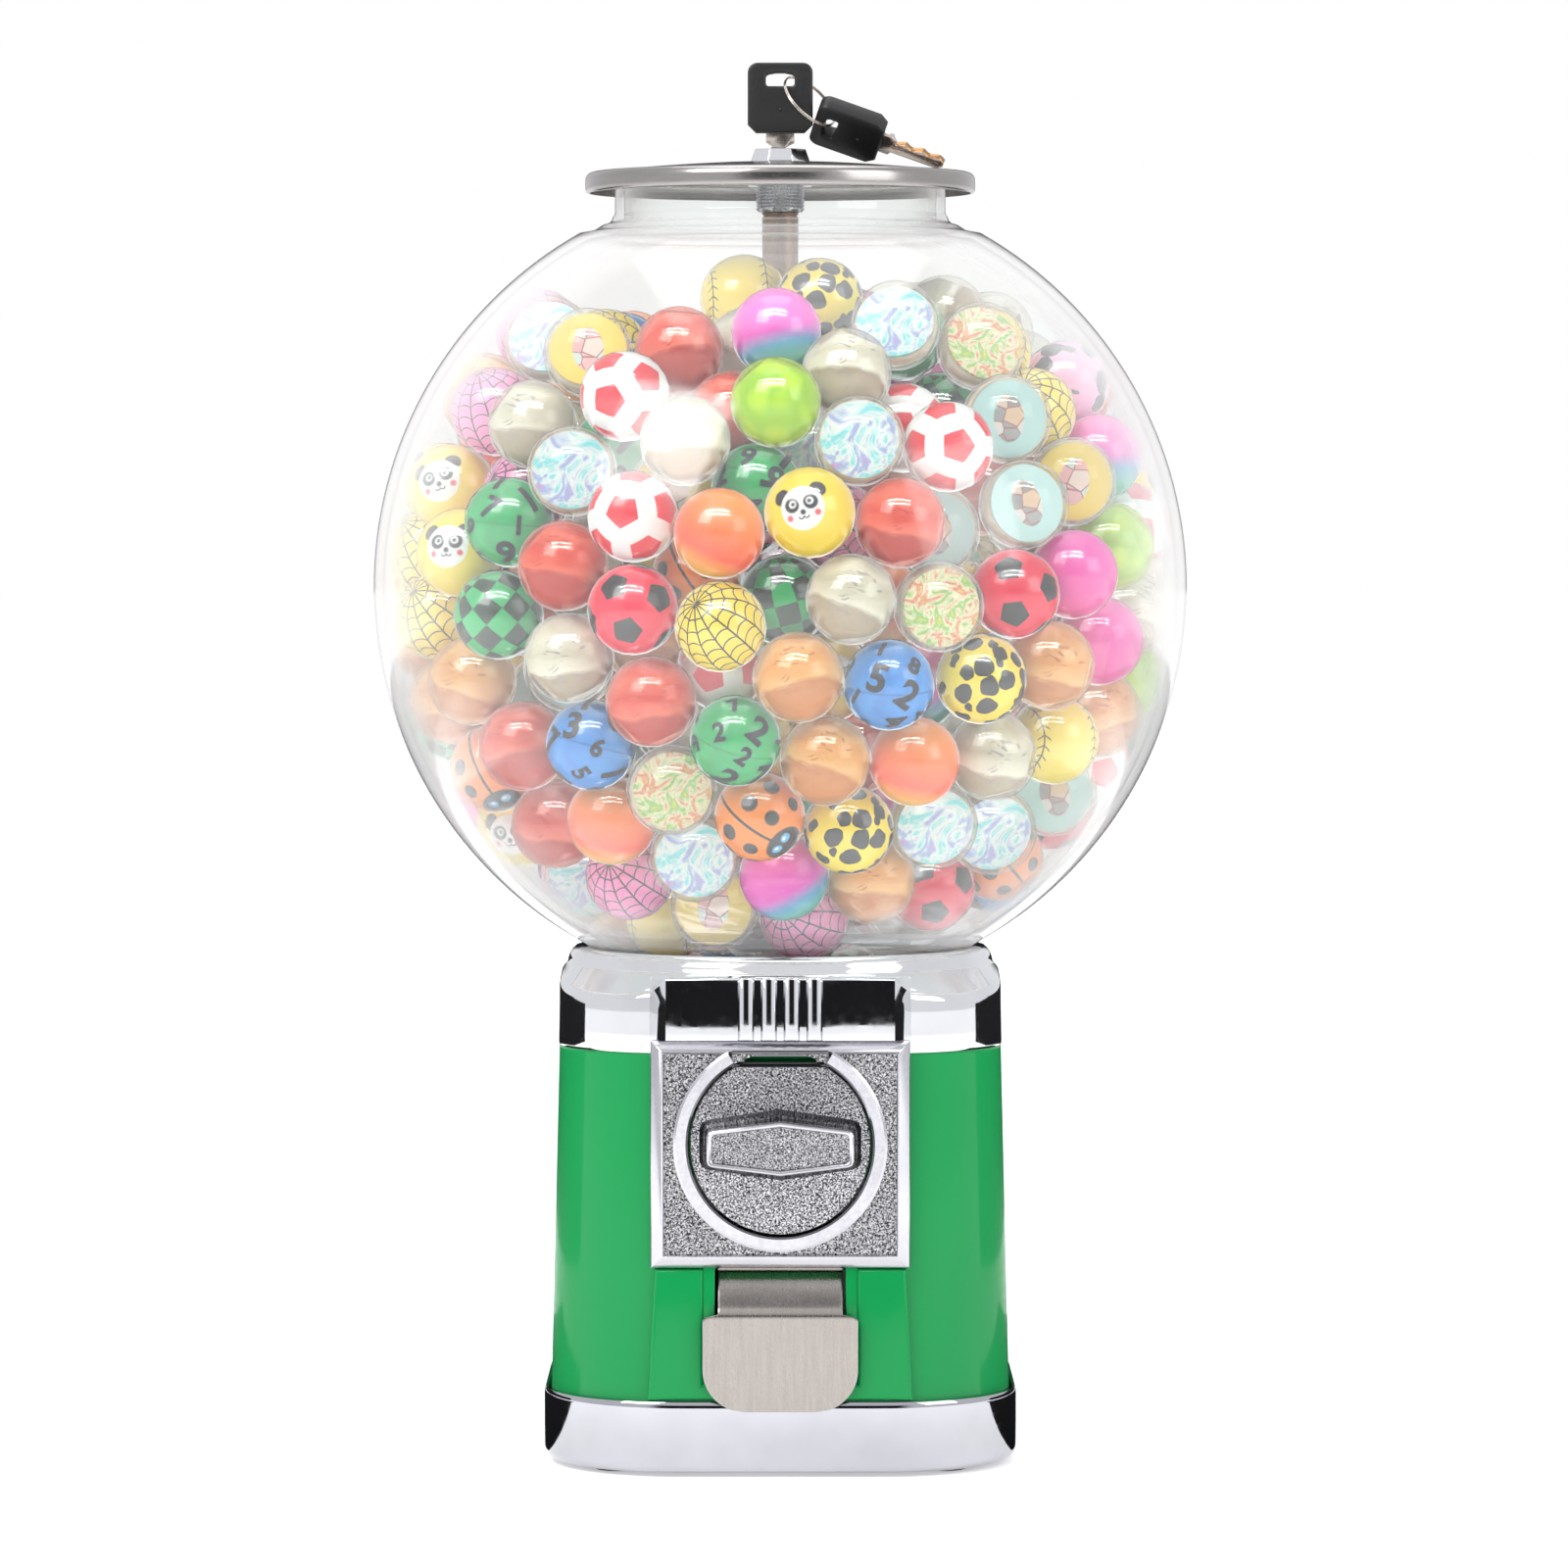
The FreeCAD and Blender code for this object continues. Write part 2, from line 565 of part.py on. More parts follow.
def pawl():
    axis = V(0, 1, 0)
    arm = prism(
        [V(PAWL_X - 2.6, -74.2, PAWL_Z - 1.5), V(PAWL_X - 1.0, -74.2, PAWL_Z - 13.0),
         V(PAWL_X + 5.2, -74.2, PAWL_Z - 15.8), V(PAWL_X + 5.8, -74.2, PAWL_Z - 14.0),
         V(PAWL_X + 1.6, -74.2, PAWL_Z - 10.5), V(PAWL_X + 2.6, -74.2, PAWL_Z - 1.5)],
        V(0, 2.2, 0),
    )
    hub = cyl(3.0, 2.2, PAWL_X, -74.2, PAWL_Z, axis)
    return tidy(arm.fuse(hub).cut(cyl(1.55, 10.0, PAWL_X, -78.0, PAWL_Z, axis)))


def pawl_pin():
    axis = V(0, 1, 0)
    pin = cyl(1.5, 9.0, PAWL_X, -74.6, PAWL_Z, axis).fuse(cyl(2.6, 0.5, PAWL_X, -74.8, PAWL_Z, axis))
    return tidy(pin.fuse(cyl(2.6, 3.8, PAWL_X, -71.8, PAWL_Z, axis)))


def coin_trough():
    y0 = -71.0
    floor = prism([V(-36.0, y0, 89.8), V(-36.0, -33.0, 79.8), V(-36.0, -33.0, 78.6), V(-36.0, y0, 88.6)],
                  V(21.4, 0, 0))
    left = prism([V(-37.2, y0, 88.6), V(-37.2, y0, 92.4), V(-37.2, -33.0, 90.0), V(-37.2, -33.0, 78.6)],
                 V(1.2, 0, 0))
    right = left.copy()
    right.translate(V(22.0, 0, 0))
    tab = box(-36.5, -30.0, -67.6, -66.4, 88.0, 93.0)
    return tidy(floor.fuse([left, right, tab]))


def cash_box():
    outer = box(-63.0, -11.0, -36.0, 52.0, 11.0, 76.0)
    inner = box(-61.4, -12.6, -34.4, 50.4, 12.6, 80.0)
    edges = [e for e in outer.Edges if e.BoundBox.ZLength > 60]
    outer = outer.makeFillet(6.0, edges)
    edges = [e for e in inner.Edges if e.BoundBox.ZLength > 60]
    inner = inner.makeFillet(4.6, edges)
    return tidy(outer.cut(inner))


# --- ball chute and door ------------------------------------------------
def ball_chute():
    def duct(half, z0, z1, y0, y1):
        k = (y0 - y1) / 82.0
        face = poly_face([V(34.0 - half, y0, z0), V(34.0 + half, y0, z0), V(34.0 + half, y0, z1),
                          V(34.0 - half, y0, z1)])
        return face.extrude(V(-34.0 * k, -(y0 - y1), -32.0 * k))

    t = 1.5
    slope_out = duct(19.5 + t, 66.0 - t, 104.0 + t, 7.0, -70.0)
    slope_in = duct(19.5, 66.0, 104.0, 5.5, -74.0)
    shaft_out = box(13.0, 55.0, -35.0, 7.0, 80.0, FLOOR_Z - 3.2)
    shaft_in = box(14.5, 53.5, -33.5, 5.5, 80.0, 160.0)
    shaft_out = shaft_out.cut(box(-10.0, 80.0, -80.0, 20.0, 60.0, 81.0))
    outer = slope_out.fuse(shaft_out)
    lower = box(13.0, 55.0, -35.0, 7.0, 66.0, 90.0).common(duct(60.0, 66.0, 140.0, 7.0, -40.0))
    outer = outer.fuse(lower)
    inner = slope_in.fuse(shaft_in.common(duct(60.0, 66.0, 170.0, 7.0, -40.0)))
    clear = revolve([(52.8, 143.4), (80.0, 143.4), (80.0, 160.0), (52.8, 160.0)])
    return tidy(outer.cut(inner).cut(clear))


def chute_door():
    path = [(DOOR_Y - 1.4, DOOR_Z - 1.5), (-80.4, 67.0), (-84.6, 60.6), (-85.9, 57.8), (-86.7, 54.6),
            (-87.0, 50.8), (-87.0, 23.6)]
    band = prism([V(-40.0, y, z) for y, z in strip(path, 1.2)], V(80.0, 0, 0))
    neck = box(-22.0, 22.0, -95.0, -70.0, 56.0, 80.0)
    r = 15.0
    w = 27.5
    lower = box(-w, w, -95.0, -70.0, 23.8 + r, 57.6)
    lower = lower.fuse(box(-w + r, w - r, -95.0, -70.0, 23.8, 50.0))
    lower = lower.fuse([cyl(r, 25.0, -w + r, -95.0, 23.8 + r, V(0, 1, 0)),
                        cyl(r, 25.0, w - r, -95.0, 23.8 + r, V(0, 1, 0))])
    flap = band.common(neck.fuse(lower))
    barrel = cyl(2.4, 44.0, -22.0, DOOR_Y, DOOR_Z, V(1, 0, 0))
    flap = flap.fuse(barrel)
    return tidy(flap.cut(cyl(DOOR_PIN + 0.06, 60.0, -30.0, DOOR_Y, DOOR_Z, V(1, 0, 0))))


def door_pin():
    return cyl(DOOR_PIN, 53.6, -26.8, DOOR_Y, DOOR_Z, V(1, 0, 0))


# --- centre rod ---------------------------------------------------------
def centre_rod():
    return cyl(ROD_R, 434.0, 0, 0, 2.0)


def rod_nut():
    pts = [polar(5.0, 60 * k, 3.4) for k in range(6)]
    nut = prism(pts, V(0, 0, 3.8))
    return tidy(nut.cut(cyl(ROD_R + 0.02, 20.0)))


def rod_washer():
    return cyl(9.0, 0.7, 0, 0, 7.25).cut(cyl(ROD_R + 0.2, 20.0))


def rod_sleeve():
    z = WHEEL_Z1 + 2.1
    return cyl(SLEEVE_R, SLEEVE_TOP - z, 0, 0, z).cut(cyl(SLEEVE_R - 1.2, 600.0))


def pocket_guard():
    z = WHEEL_Z1 + 0.6
    t = 1.4
    ring = cyl(8.6, t, 0, 0, z)
    arm = prism([V(6.0, -19.0, z), V(14.0, -19.0, z), V(21.4, -19.0, z + 9.6), V(62.0, -19.0, z + 9.6),
                 V(65.0, -19.0, z + 11.0), V(65.0, -19.0, z + 12.4), V(61.6, -19.0, z + 11.0),
                 V(20.6, -19.0, z + 11.0), V(13.2, -19.0, z + t), V(6.0, -19.0, z + t)], V(0, 38.0, 0))
    trim = prism([V(4.0, -6.0, z - 1), V(15.0, -6.0, z - 1), V(24.0, -18.0, z - 1), V(58.0, -18.0, z - 1),
                  V(66.0, -12.0, z - 1), V(66.0, 12.0, z - 1), V(58.0, 18.0, z - 1), V(24.0, 18.0, z - 1),
                  V(15.0, 6.0, z - 1), V(4.0, 6.0, z - 1)], V(0, 0, 20.0))
    guard = ring.fuse(arm.common(trim)).cut(cyl(ROD_R + 0.2, 400.0))
    guard.rotate(V(0, 0, 0), V(0, 0, 1), EXIT_ANGLE)
    return tidy(guard)


# --- globe --------------------------------------------------------------
def globe_outline(inset):
    """Outer (or inset inner) outline of the globe, foot upwards."""
    r = GLOBE_R - inset
    foot = GLOBE_FOOT_R - inset
    neck = NECK_R - inset
    start = math.degrees(math.asin(-math.sqrt(r * r - (foot + 0.6) ** 2) / r))
    stop = math.degrees(math.acos((73.0 - inset) / r))
    pts = [(foot, GLOBE_FOOT_Z)]
    arc = arc_points(0.0, GLOBE_CZ, r, start, stop, 72)
    pts.append((foot, arc[0][1] - 1.2))
    pts += arc
    pts += [(70.0 - inset, 442.9 - inset * 0.8), (67.4 - inset, 443.5 - inset), (66.0 - inset, 444.4 - inset)]
    if inset < 0.1:
        pts += [(64.6, 445.4), (62.6, 445.9), (61.6, 446.6), (60.9, 448.4), (NECK_R, 449.4)]
        pts += [(NECK_R, NECK_TOP - 2.6), (NECK_R + 0.9, NECK_TOP - 1.9), (NECK_R + 0.9, NECK_TOP)]
    else:
        pts += [(62.4 - inset, 446.4 - inset), (neck, 449.4 - inset), (neck, NECK_TOP)]
    return pts


def globe():
    outer = globe_outline(0.0)
    inner = globe_outline(GLOBE_WALL)
    return tidy(revolve(outer + inner[::-1]))


def globe_gasket():
    return revolve([(67.7, 178.05), (70.8, 178.05), (70.8, 178.95), (67.7, 178.95)])


# --- lid and lock -------------------------------------------------------
def lid():
    profile = [
        (LID_R - 1.2, LID_Z0), (LID_R - 0.3, LID_Z0 + 0.3), (LID_R, LID_Z0 + 1.2), (LID_R, LID_RIM - 2.4),
        (LID_R - 0.5, LID_RIM - 1.0), (LID_R - 1.7, LID_RIM - 0.2), (LID_R - 3.4, LID_RIM),
        (62.0, LID_RIM + 0.7), (45.0, LID_RIM + 2.2), (28.0, LID_TOP - 0.4), (9.2, LID_TOP),
        (9.2, LID_TOP - 1.2), (28.0, LID_TOP - 1.6), (45.0, LID_RIM + 1.0), (60.0, LID_RIM - 0.3),
        (62.4, LID_RIM - 1.3), (LID_R - 2.6, LID_RIM - 1.4), (LID_R - 1.5, LID_RIM - 2.6),
        (LID_R - 1.2, LID_RIM - 3.6),
    ]
    return tidy(revolve(profile))


def lid_gasket():
    return revolve([(56.4, NECK_TOP + 0.1), (61.6, NECK_TOP + 0.1), (61.6, LID_RIM - 1.4),
                    (60.4, LID_RIM - 0.7), (56.4, LID_RIM - 0.7)])


def octagon(radius, z):
    return [polar(radius, 22.5 + 45.0 * k, z) for k in range(8)]


def lock_bezel():
    low = octagon(11.5, LID_TOP + 0.05)
    mid = octagon(11.2, LID_TOP + 1.2)
    high = octagon(9.9, LID_TOP + 5.0)
    wires = [Part.makePolygon(p + [p[0]]) for p in (low, mid, high)]
    bezel = Part.makeLoft(wires, True, True)
    return tidy(bezel.cut(cyl(7.35, 40.0, 0, 0, LID_TOP - 10.0)))


def lock_barrel():
    z0 = 450.2
    profile = [(7.35, z0), (8.0, z0), (8.9, z0 + 0.9)]
    z = z0 + 0.9
    while z < LID_TOP - 3.6:
        profile += [(8.9, z + 0.25), (8.3, z + 0.65), (8.9, z + 1.05)]
        z += 1.05
    profile += [(8.9, LID_TOP + 0.05), (7.35, LID_TOP + 0.05)]
    body = revolve(profile)
    flats = box(-20, 20, 8.3, 20, z0 - 1, LID_TOP + 1).fuse(box(-20, 20, -20, -8.3, z0 - 1, LID_TOP + 1))
    return tidy(body.cut(flats))


def lock_nut():
    pts = [polar(13.2, 30 + 60 * k, 459.6) for k in range(6)]
    nut = prism(pts, V(0, 0, 5.0))
    nut = nut.fuse(cyl(14.0, 2.0, 0, 0, 464.5))
    return tidy(nut.cut(cyl(8.95, 60.0, 0, 0, 440.0)))


def lock_plug():
    plug = cyl(7.0, LID_TOP + 4.6 - 450.4, 0, 0, 450.4)
    plug = plug.cut(box(-3.65, 3.65, -1.3, 1.3, 452.0, 480.0))
    return tidy(plug)


def lock_tube():
    z1 = 450.3
    tube = cyl(TUBE_R, z1 - TUBE_Z0, 0, 0, TUBE_Z0)
    tube = tube.cut(cyl(ROD_R + 0.6, 13.5, 0, 0, TUBE_Z0 - 1.0))
    tube = tube.cut(cyl(1.1, 20.0, 0, -10.0, 441.8, V(0, 1, 0)))
    groove = revolve([(6.1, 448.4), (8.0, 448.4), (8.0, 449.2), (6.1, 449.2)])
    return tidy(tube.cut(groove))


# --- keys ---------------------------------------------------------------
KEY_T = 6.0
BOW_W = 23.6
BOW_H = 25.4
SLOT_Z = 19.2


def key_bow(bottom):
    """Bow standing in the XZ plane, bottom edge at the given height."""
    w = BOW_W / 2.0
    z0 = bottom
    z1 = bottom + BOW_H
    y = -KEY_T / 2.0
    pts = [V(-w + 3.0, y, z0), V(w - 3.0, y, z0), V(w, y, z0 + 3.0), V(w, y, z1 - 3.6)]
    for k in range(1, 5):
        a = math.radians(90.0 * k / 4.0)
        pts.append(V(w - 3.6 + 3.6 * math.cos(a), y, z1 - 3.6 + 3.6 * math.sin(a)))
    for k in range(0, 5):
        a = math.radians(90.0 + 90.0 * k / 4.0)
        pts.append(V(-w + 3.6 + 3.6 * math.cos(a), y, z1 - 3.6 + 3.6 * math.sin(a)))
    pts.append(V(-w, y, z0 + 3.0))
    bow = prism(pts, V(0, KEY_T, 0))
    flat = [e for e in bow.Edges if e.BoundBox.YLength < 0.01]
    bow = bow.makeChamfer(0.7, flat)
    s = bottom + SLOT_Z
    slot = prism([V(-5.2, -9, s - 1.4), V(-4.2, -9, s - 2.3), V(4.2, -9, s - 2.3), V(5.2, -9, s - 1.4),
                  V(5.2, -9, s + 0.9), V(4.2, -9, s + 1.9), V(1.6, -9, s + 2.4), V(-1.6, -9, s + 2.4),
                  V(-4.2, -9, s + 1.9), V(-5.2, -9, s + 0.9)], V(0, 18, 0))
    bow = bow.cut(slot)
    bow = bow.cut(cyl(0.7, 0.8, 0, -KEY_T / 2.0 - 0.3, bottom + 8.4, V(0, 1, 0)))
    return bow.cut(box(-5.3, 5.3, -1.15, 1.15, z0 - 1.0, z0 + 8.0))


def key_blade(bottom, length):
    """Flat blade pointing down from a bow whose bottom edge is given."""
    tip = bottom - length
    pts = [V(-5.2, -1.1, bottom + 7.9), V(-5.2, -1.1, bottom - 3.6), V(-3.4, -1.1, bottom - 4.4),
           V(-3.4, -1.1, tip + 2.0), V(-1.4, -1.1, tip), V(1.0, -1.1, tip), V(2.4, -1.1, tip + 1.6)]
    steps = 5
    for k in range(steps):
        z = tip + 3.4 + 3.3 * k
        pts.append(V(1.7 if k % 2 else 2.6, -1.1, z))
        pts.append(V(3.3 if k % 2 else 1.5, -1.1, z + 1.9))
    pts += [V(3.4, -1.1, bottom - 4.4), V(5.2, -1.1, bottom - 3.6), V(5.2, -1.1, bottom + 7.9)]
    blade = prism(pts, V(0, 2.2, 0))
    return tidy(blade.cut(box(-2.2, -1.2, -1.2, -0.6, tip + 1.0, bottom - 5.0)))


BOW_Z = 478.8
RING_A = V(2.4, 0.0, BOW_Z + SLOT_Z + 0.4)
SPARE_C = V(24.8, 0.0, 480.2)
SPARE_TILT = 19.5
SPARE_LEAN = -56.0


def place_spare(shape):
    """Lay a key drawn upright (bow bottom at 0) on the lid, blade to the right."""
    shape.translate(V(0, 0, -BOW_H / 2.0))
    shape.rotate(V(0, 0, 0), V(0, 0, 1), SPARE_LEAN)
    shape.rotate(V(0, 0, 0), V(0, 1, 0), -90.0 + SPARE_TILT)
    shape.translate(SPARE_C)
    return shape


def spare_point(x, y, z):
    p = Part.Vertex(x, y, z)
    place_spare(p)
    return p.Point


def key_ring():
    b = spare_point(0.0, 0.0, SLOT_Z - 0.3)
    a = RING_A
    mid = (a + b) * 0.5
    chord = b - a
    along = V(chord)
    along.normalize()
    front = V(-0.34, -0.89, -0.29)
    side = front - along * front.dot(along)
    side.normalize()
    normal = along.cross(side)
    radius = chord.Length / 2.0
    ring = Part.makeTorus(radius, 0.62, mid, normal)
    return ring


# --- balls --------------------------------------------------------------
FRONT = {
    "football": [(-61, 390), (-47, 332), (60, 340), (54, 390)],
    "green_marks": [(-98, 351), (9, 360), (-108, 397)],
    "blue_marks": [(-65, 271), (43, 279)],
    "panda": [(-109, 332), (-1, 340), (-118, 378)],
    "check": [(-98, 303), (10, 311)],
    "ladybird": [(-3, 246), (-108, 241)],
    "net_yellow": [(-17, 313), (-126, 304)],
    "net_pink": [(22, 332), (-88, 322), (-100, 372)],
    "spot_yellow": [(66, 296), (-45, 292)],
    "patch_red": [(72, 313), (-41, 307)],
    "stitch": [(99, 263)],
    "plain_pink": [(121, 289), (-92, 428)],
    "orange": [(-68, 236), (40, 244)],
    "lime": [(124, 322), (2, 384)],
    "twotone": [(3, 407), (128, 350), (5, 208)],
    "disc_sky": [(-85, 411), (32, 413), (-68, 360), (38, 366), (-35, 228), (72, 241), (-84, 206)],
    "disc_sun": [(-18, 416), (98, 405), (103, 362), (-47, 414), (71, 407), (-18, 204), (-32, 257)],
    "disc_cyan": [(-25, 388), (88, 382), (92, 332), (95, 235)],
    "amber": [(-107, 275), (1, 283), (88, 281)],
    "red_clear": [(-33, 286), (-70, 318), (42, 324), (-84, 275), (24, 283)],
    "clear": [(-70, 299), (38, 307), (-18, 365), (61, 274), (91, 305), (-88, 375), (20, 382), (13, 427)],
    "spot_pink": [(-12, 395), (107, 383), (-12, 218), (106, 338)],
}
GROUPS = {
    "white": ("football",),
    "green": ("green_marks", "check"),
    "blue": ("blue_marks",),
    "yellow": ("panda", "net_yellow", "spot_yellow", "stitch"),
    "pink": ("net_pink", "plain_pink", "spot_pink"),
    "red": ("patch_red",),
    "orange": ("ladybird", "orange"),
    "lime": ("lime",),
    "twotone": ("twotone",),
    "disc_sky": ("disc_sky",),
    "disc_sun": ("disc_sun",),
    "disc_cyan": ("disc_cyan",),
    "amber": ("amber", "red_clear"),
    "clear": ("clear",),
}
FILL = ["amber", "clear", "twotone", "red_clear", "disc_sun", "plain_pink", "orange", "spot_yellow",
        "football", "disc_sky", "lime", "blue_marks", "clear", "spot_pink", "disc_cyan", "check",
        "amber", "patch_red", "panda", "clear", "green_marks", "red_clear", "stitch", "net_pink",
        "ladybird", "net_yellow", "disc_sun"]


class Pile:
    """Balls settled inside the globe without touching one another."""

    def __init__(self, count):
        self.reach = 2.0 * BALL_R + BALL_GAP
        self.shell = GLOBE_R - GLOBE_WALL - BALL_R - BALL_GAP
        rnd = random.Random(11)
        self.balls = []
        while len(self.balls) < count:
            x = rnd.uniform(-128.0, 128.0)
            y = rnd.uniform(-128.0, 128.0)
            z = rnd.uniform(200.0, 470.0)
            if x * x + y * y + (z - GLOBE_CZ) ** 2 < (self.shell - 2.0) ** 2:
                self.balls.append([x, y, z])
        self.near = [(0, 0, 0)]
        for a in (-1, 0, 1):
            for b in (-1, 0, 1):
                for c in (-1, 0, 1):
                    if (a, b, c) > (0, 0, 0):
                        self.near.append((a, b, c))
        g = math.radians(EXIT_ANGLE)
        self.guard = (math.cos(g), math.sin(g))

    def confine(self, p):
        x, y, z = p
        d = math.sqrt(x * x + y * y + (z - GLOBE_CZ) ** 2)
        if d > self.shell:
            k = self.shell / d
            x *= k
            y *= k
            z = GLOBE_CZ + (z - GLOBE_CZ) * k
        rr = math.hypot(x, y) or 1e-6
        dr = rr - POCKET_C
        dz = z - (FLOOR_Z + BALL_R + 0.25)
        d = math.hypot(dr, dz) or 1e-6
        if d < self.reach + 0.1:
            k = (self.reach + 0.1) / d
            nr = POCKET_C + dr * k
            x *= nr / rr
            y *= nr / rr
            z = FLOOR_Z + BALL_R + 0.25 + dz * k
        low = WHEEL_Z1 + BALL_R + 0.4
        if z < low:
            z = low
        c, s = self.guard
        u = x * c + y * s
        v = -x * s + y * c
        nu = min(max(u, 14.0), 65.2)
        nv = min(max(v, -18.2), 18.2)
        nz = min(z, WHEEL_Z1 + 13.2)
        d = math.sqrt((u - nu) ** 2 + (v - nv) ** 2 + (z - nz) ** 2)
        if d < BALL_R + 0.3:
            if d > 1e-6:
                k = (BALL_R + 0.3) / d
                u = nu + (u - nu) * k
                v = nv + (v - nv) * k
                z = nz + (z - nz) * k
            else:
                z = WHEEL_Z1 + 13.2 + BALL_R + 0.3
            x = u * c - v * s
            y = u * s + v * c
        rr = math.hypot(x, y) or 1e-6
        core = SLEEVE_R + BALL_R + 0.3
        if z > SLEEVE_TOP:
            core = TUBE_R + BALL_R + 0.6
        if rr < core:
            x *= core / rr
            y *= core / rr
        p[0] = x
        p[1] = y
        p[2] = z

    def relax(self, passes):
        worst = 0.0
        size = self.reach
        for _ in range(passes):
            cells = {}
            for p in self.balls:
                key = (int(p[0] // size), int(p[1] // size), int(p[2] // size))
                cells.setdefault(key, []).append(p)
            worst = 0.0
            for (a, b, c), here in cells.items():
                for da, db, dc in self.near:
                    there = cells.get((a + da, b + db, c + dc))
                    if there is None:
                        continue
                    for i, p in enumerate(here):
                        first = i + 1 if there is here else 0
                        for q in there[first:]:
                            worst = max(worst, self.part_pair(p, q))
            for p in self.balls:
                self.confine(p)
        return worst

    def part_pair(self, p, q):
        dx = p[0] - q[0]
        dy = p[1] - q[1]
        dz = p[2] - q[2]
        d2 = dx * dx + dy * dy + dz * dz
        if d2 >= self.reach * self.reach:
            return 0.0
        d = math.sqrt(d2) or 1e-6
        over = self.reach - d
        k = 0.5 * over / d
        p[0] += dx * k
        p[1] += dy * k
        p[2] += dz * k
        q[0] -= dx * k
        q[1] -= dy * k
        q[2] -= dz * k
        return over

    def settle(self):
        for step in range(240):
            fall = max(0.25, 3.0 * (1.0 - step / 190.0))
            for p in self.balls:
                p[2] -= fall
            self.relax(3)
        for _ in range(600):
            if self.relax(4) < 0.02:
                break
        self.balls = [p for p in self.balls if math.hypot(p[0], p[1]) < 150.0]
        return self.balls


def assign(balls):
    """Give the front layer its pictured mix and fill the rest in turn."""
    kinds = {}
    free = set(range(len(balls)))
    wanted = [(x, z, kind) for kind, spots in FRONT.items() for x, z in spots]
    front = [i for i in free if balls[i][1] < -20.0]
    pairs = []
    for n, (x, z, kind) in enumerate(wanted):
        for i in front:
            p = balls[i]
            depth = math.sqrt(max(0.0, 126.0 ** 2 - p[0] ** 2 - (p[2] - GLOBE_CZ) ** 2))
            hidden = max(0.0, p[1] + depth)
            d = math.hypot(p[0] - x, p[2] - z) + 0.9 * hidden
            pairs.append((d, n, i))
    pairs.sort()
    used = set()
    for d, n, i in pairs:
        if n in used or i not in free or d > 30.0:
            continue
        used.add(n)
        free.discard(i)
        kinds.setdefault(wanted[n][2], []).append(balls[i])
    order = sorted(free, key=lambda i: (round(balls[i][2] / 18.0), math.atan2(balls[i][1], balls[i][0])))
    for n, i in enumerate(order):
        kinds.setdefault(FILL[(n * 7) % len(FILL)], []).append(balls[i])
    return kinds


def ball_groups():
    balls = Pile(BALLS_IN_GLOBE).settle()
    kinds = assign(balls)
    out = {}
    for group, members in GROUPS.items():
        spots = [p for kind in members for p in kinds.get(kind, [])]
        out["balls_" + group] = [Part.makeSphere(BALL_R, V(*p)) for p in spots]
    return out


# --- build --------------------------------------------------------------
def main():
    os.makedirs(OUT, exist_ok=True)
    save("base_tray", base_tray())
    save("rubber_feet", rubber_feet(), 4)
    save("body_shell", body_shell())
    save("collar", collar())
    save("wheel_pan", wheel_pan())
    save("pan_screws", pan_screws(), 4)
    save("vend_wheel", wheel())
    save("balls_in_wheel", carried_balls(), POCKETS - 1)
    save("dial_gear", dial_gear())
    save("idler_gear", idler_gear())
    save("idler_pin", idler_pin())
    save("mech_plate", mech_plate())
    save("coin_gauge", coin_gauge())
    save("mech_bracket", mech_bracket())
    save("mech_screws", mech_screws(), 4)
    save("dial_disc", dial_disc())
    save("dial_handle", dial_handle())
    save("dial_shaft", dial_shaft())
    save("shaft_nut", shaft_nut())
    save("coin_carrier", coin_carrier())
    save("ratchet_pawl", pawl())
    save("pawl_pin", pawl_pin())
    save("coin_trough", coin_trough())
    save("cash_box", cash_box())
    save("ball_chute", ball_chute())
    save("chute_door", chute_door())
    save("door_pin", door_pin())
    save("centre_rod", centre_rod())
    save("rod_nut", rod_nut())
    save("rod_washer", rod_washer())
    save("rod_sleeve", rod_sleeve())
    save("pocket_guard", pocket_guard())
    save("globe", globe())
    save("globe_gasket", globe_gasket())
    save("lid", lid())
    save("lid_gasket", lid_gasket())
    save("lock_bezel", lock_bezel())
    save("lock_barrel", lock_barrel())
    save("lock_nut", lock_nut())
    save("lock_plug", lock_plug())
    save("lock_tube", lock_tube())
    save("key_bow", tidy(key_bow(BOW_Z)))
    save("key_blade", key_blade(BOW_Z, 24.0))
    save("key_ring", key_ring())
    save("spare_bow", tidy(place_spare(key_bow(0.0))))
    save("spare_blade", place_spare(key_blade(0.0, 24.0)))
    for name, balls in sorted(ball_groups().items()):
        save(name, Part.makeCompound(balls), len(balls))


main()
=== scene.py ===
"""Gumball machine: the visual model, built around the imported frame.

The frame is in metres. Sizes of the machine's pieces are written in millimetres and
turned into metres by MM; the studio around it is in metres. The machine stands on the
floor at the origin and its coin dial faces -Y.
"""

import logging
import math
import random
from dataclasses import dataclass, field
from enum import Enum
from typing import Iterable, Optional, Sequence, Union

import bmesh
import bpy
from mathutils import Matrix, Vector

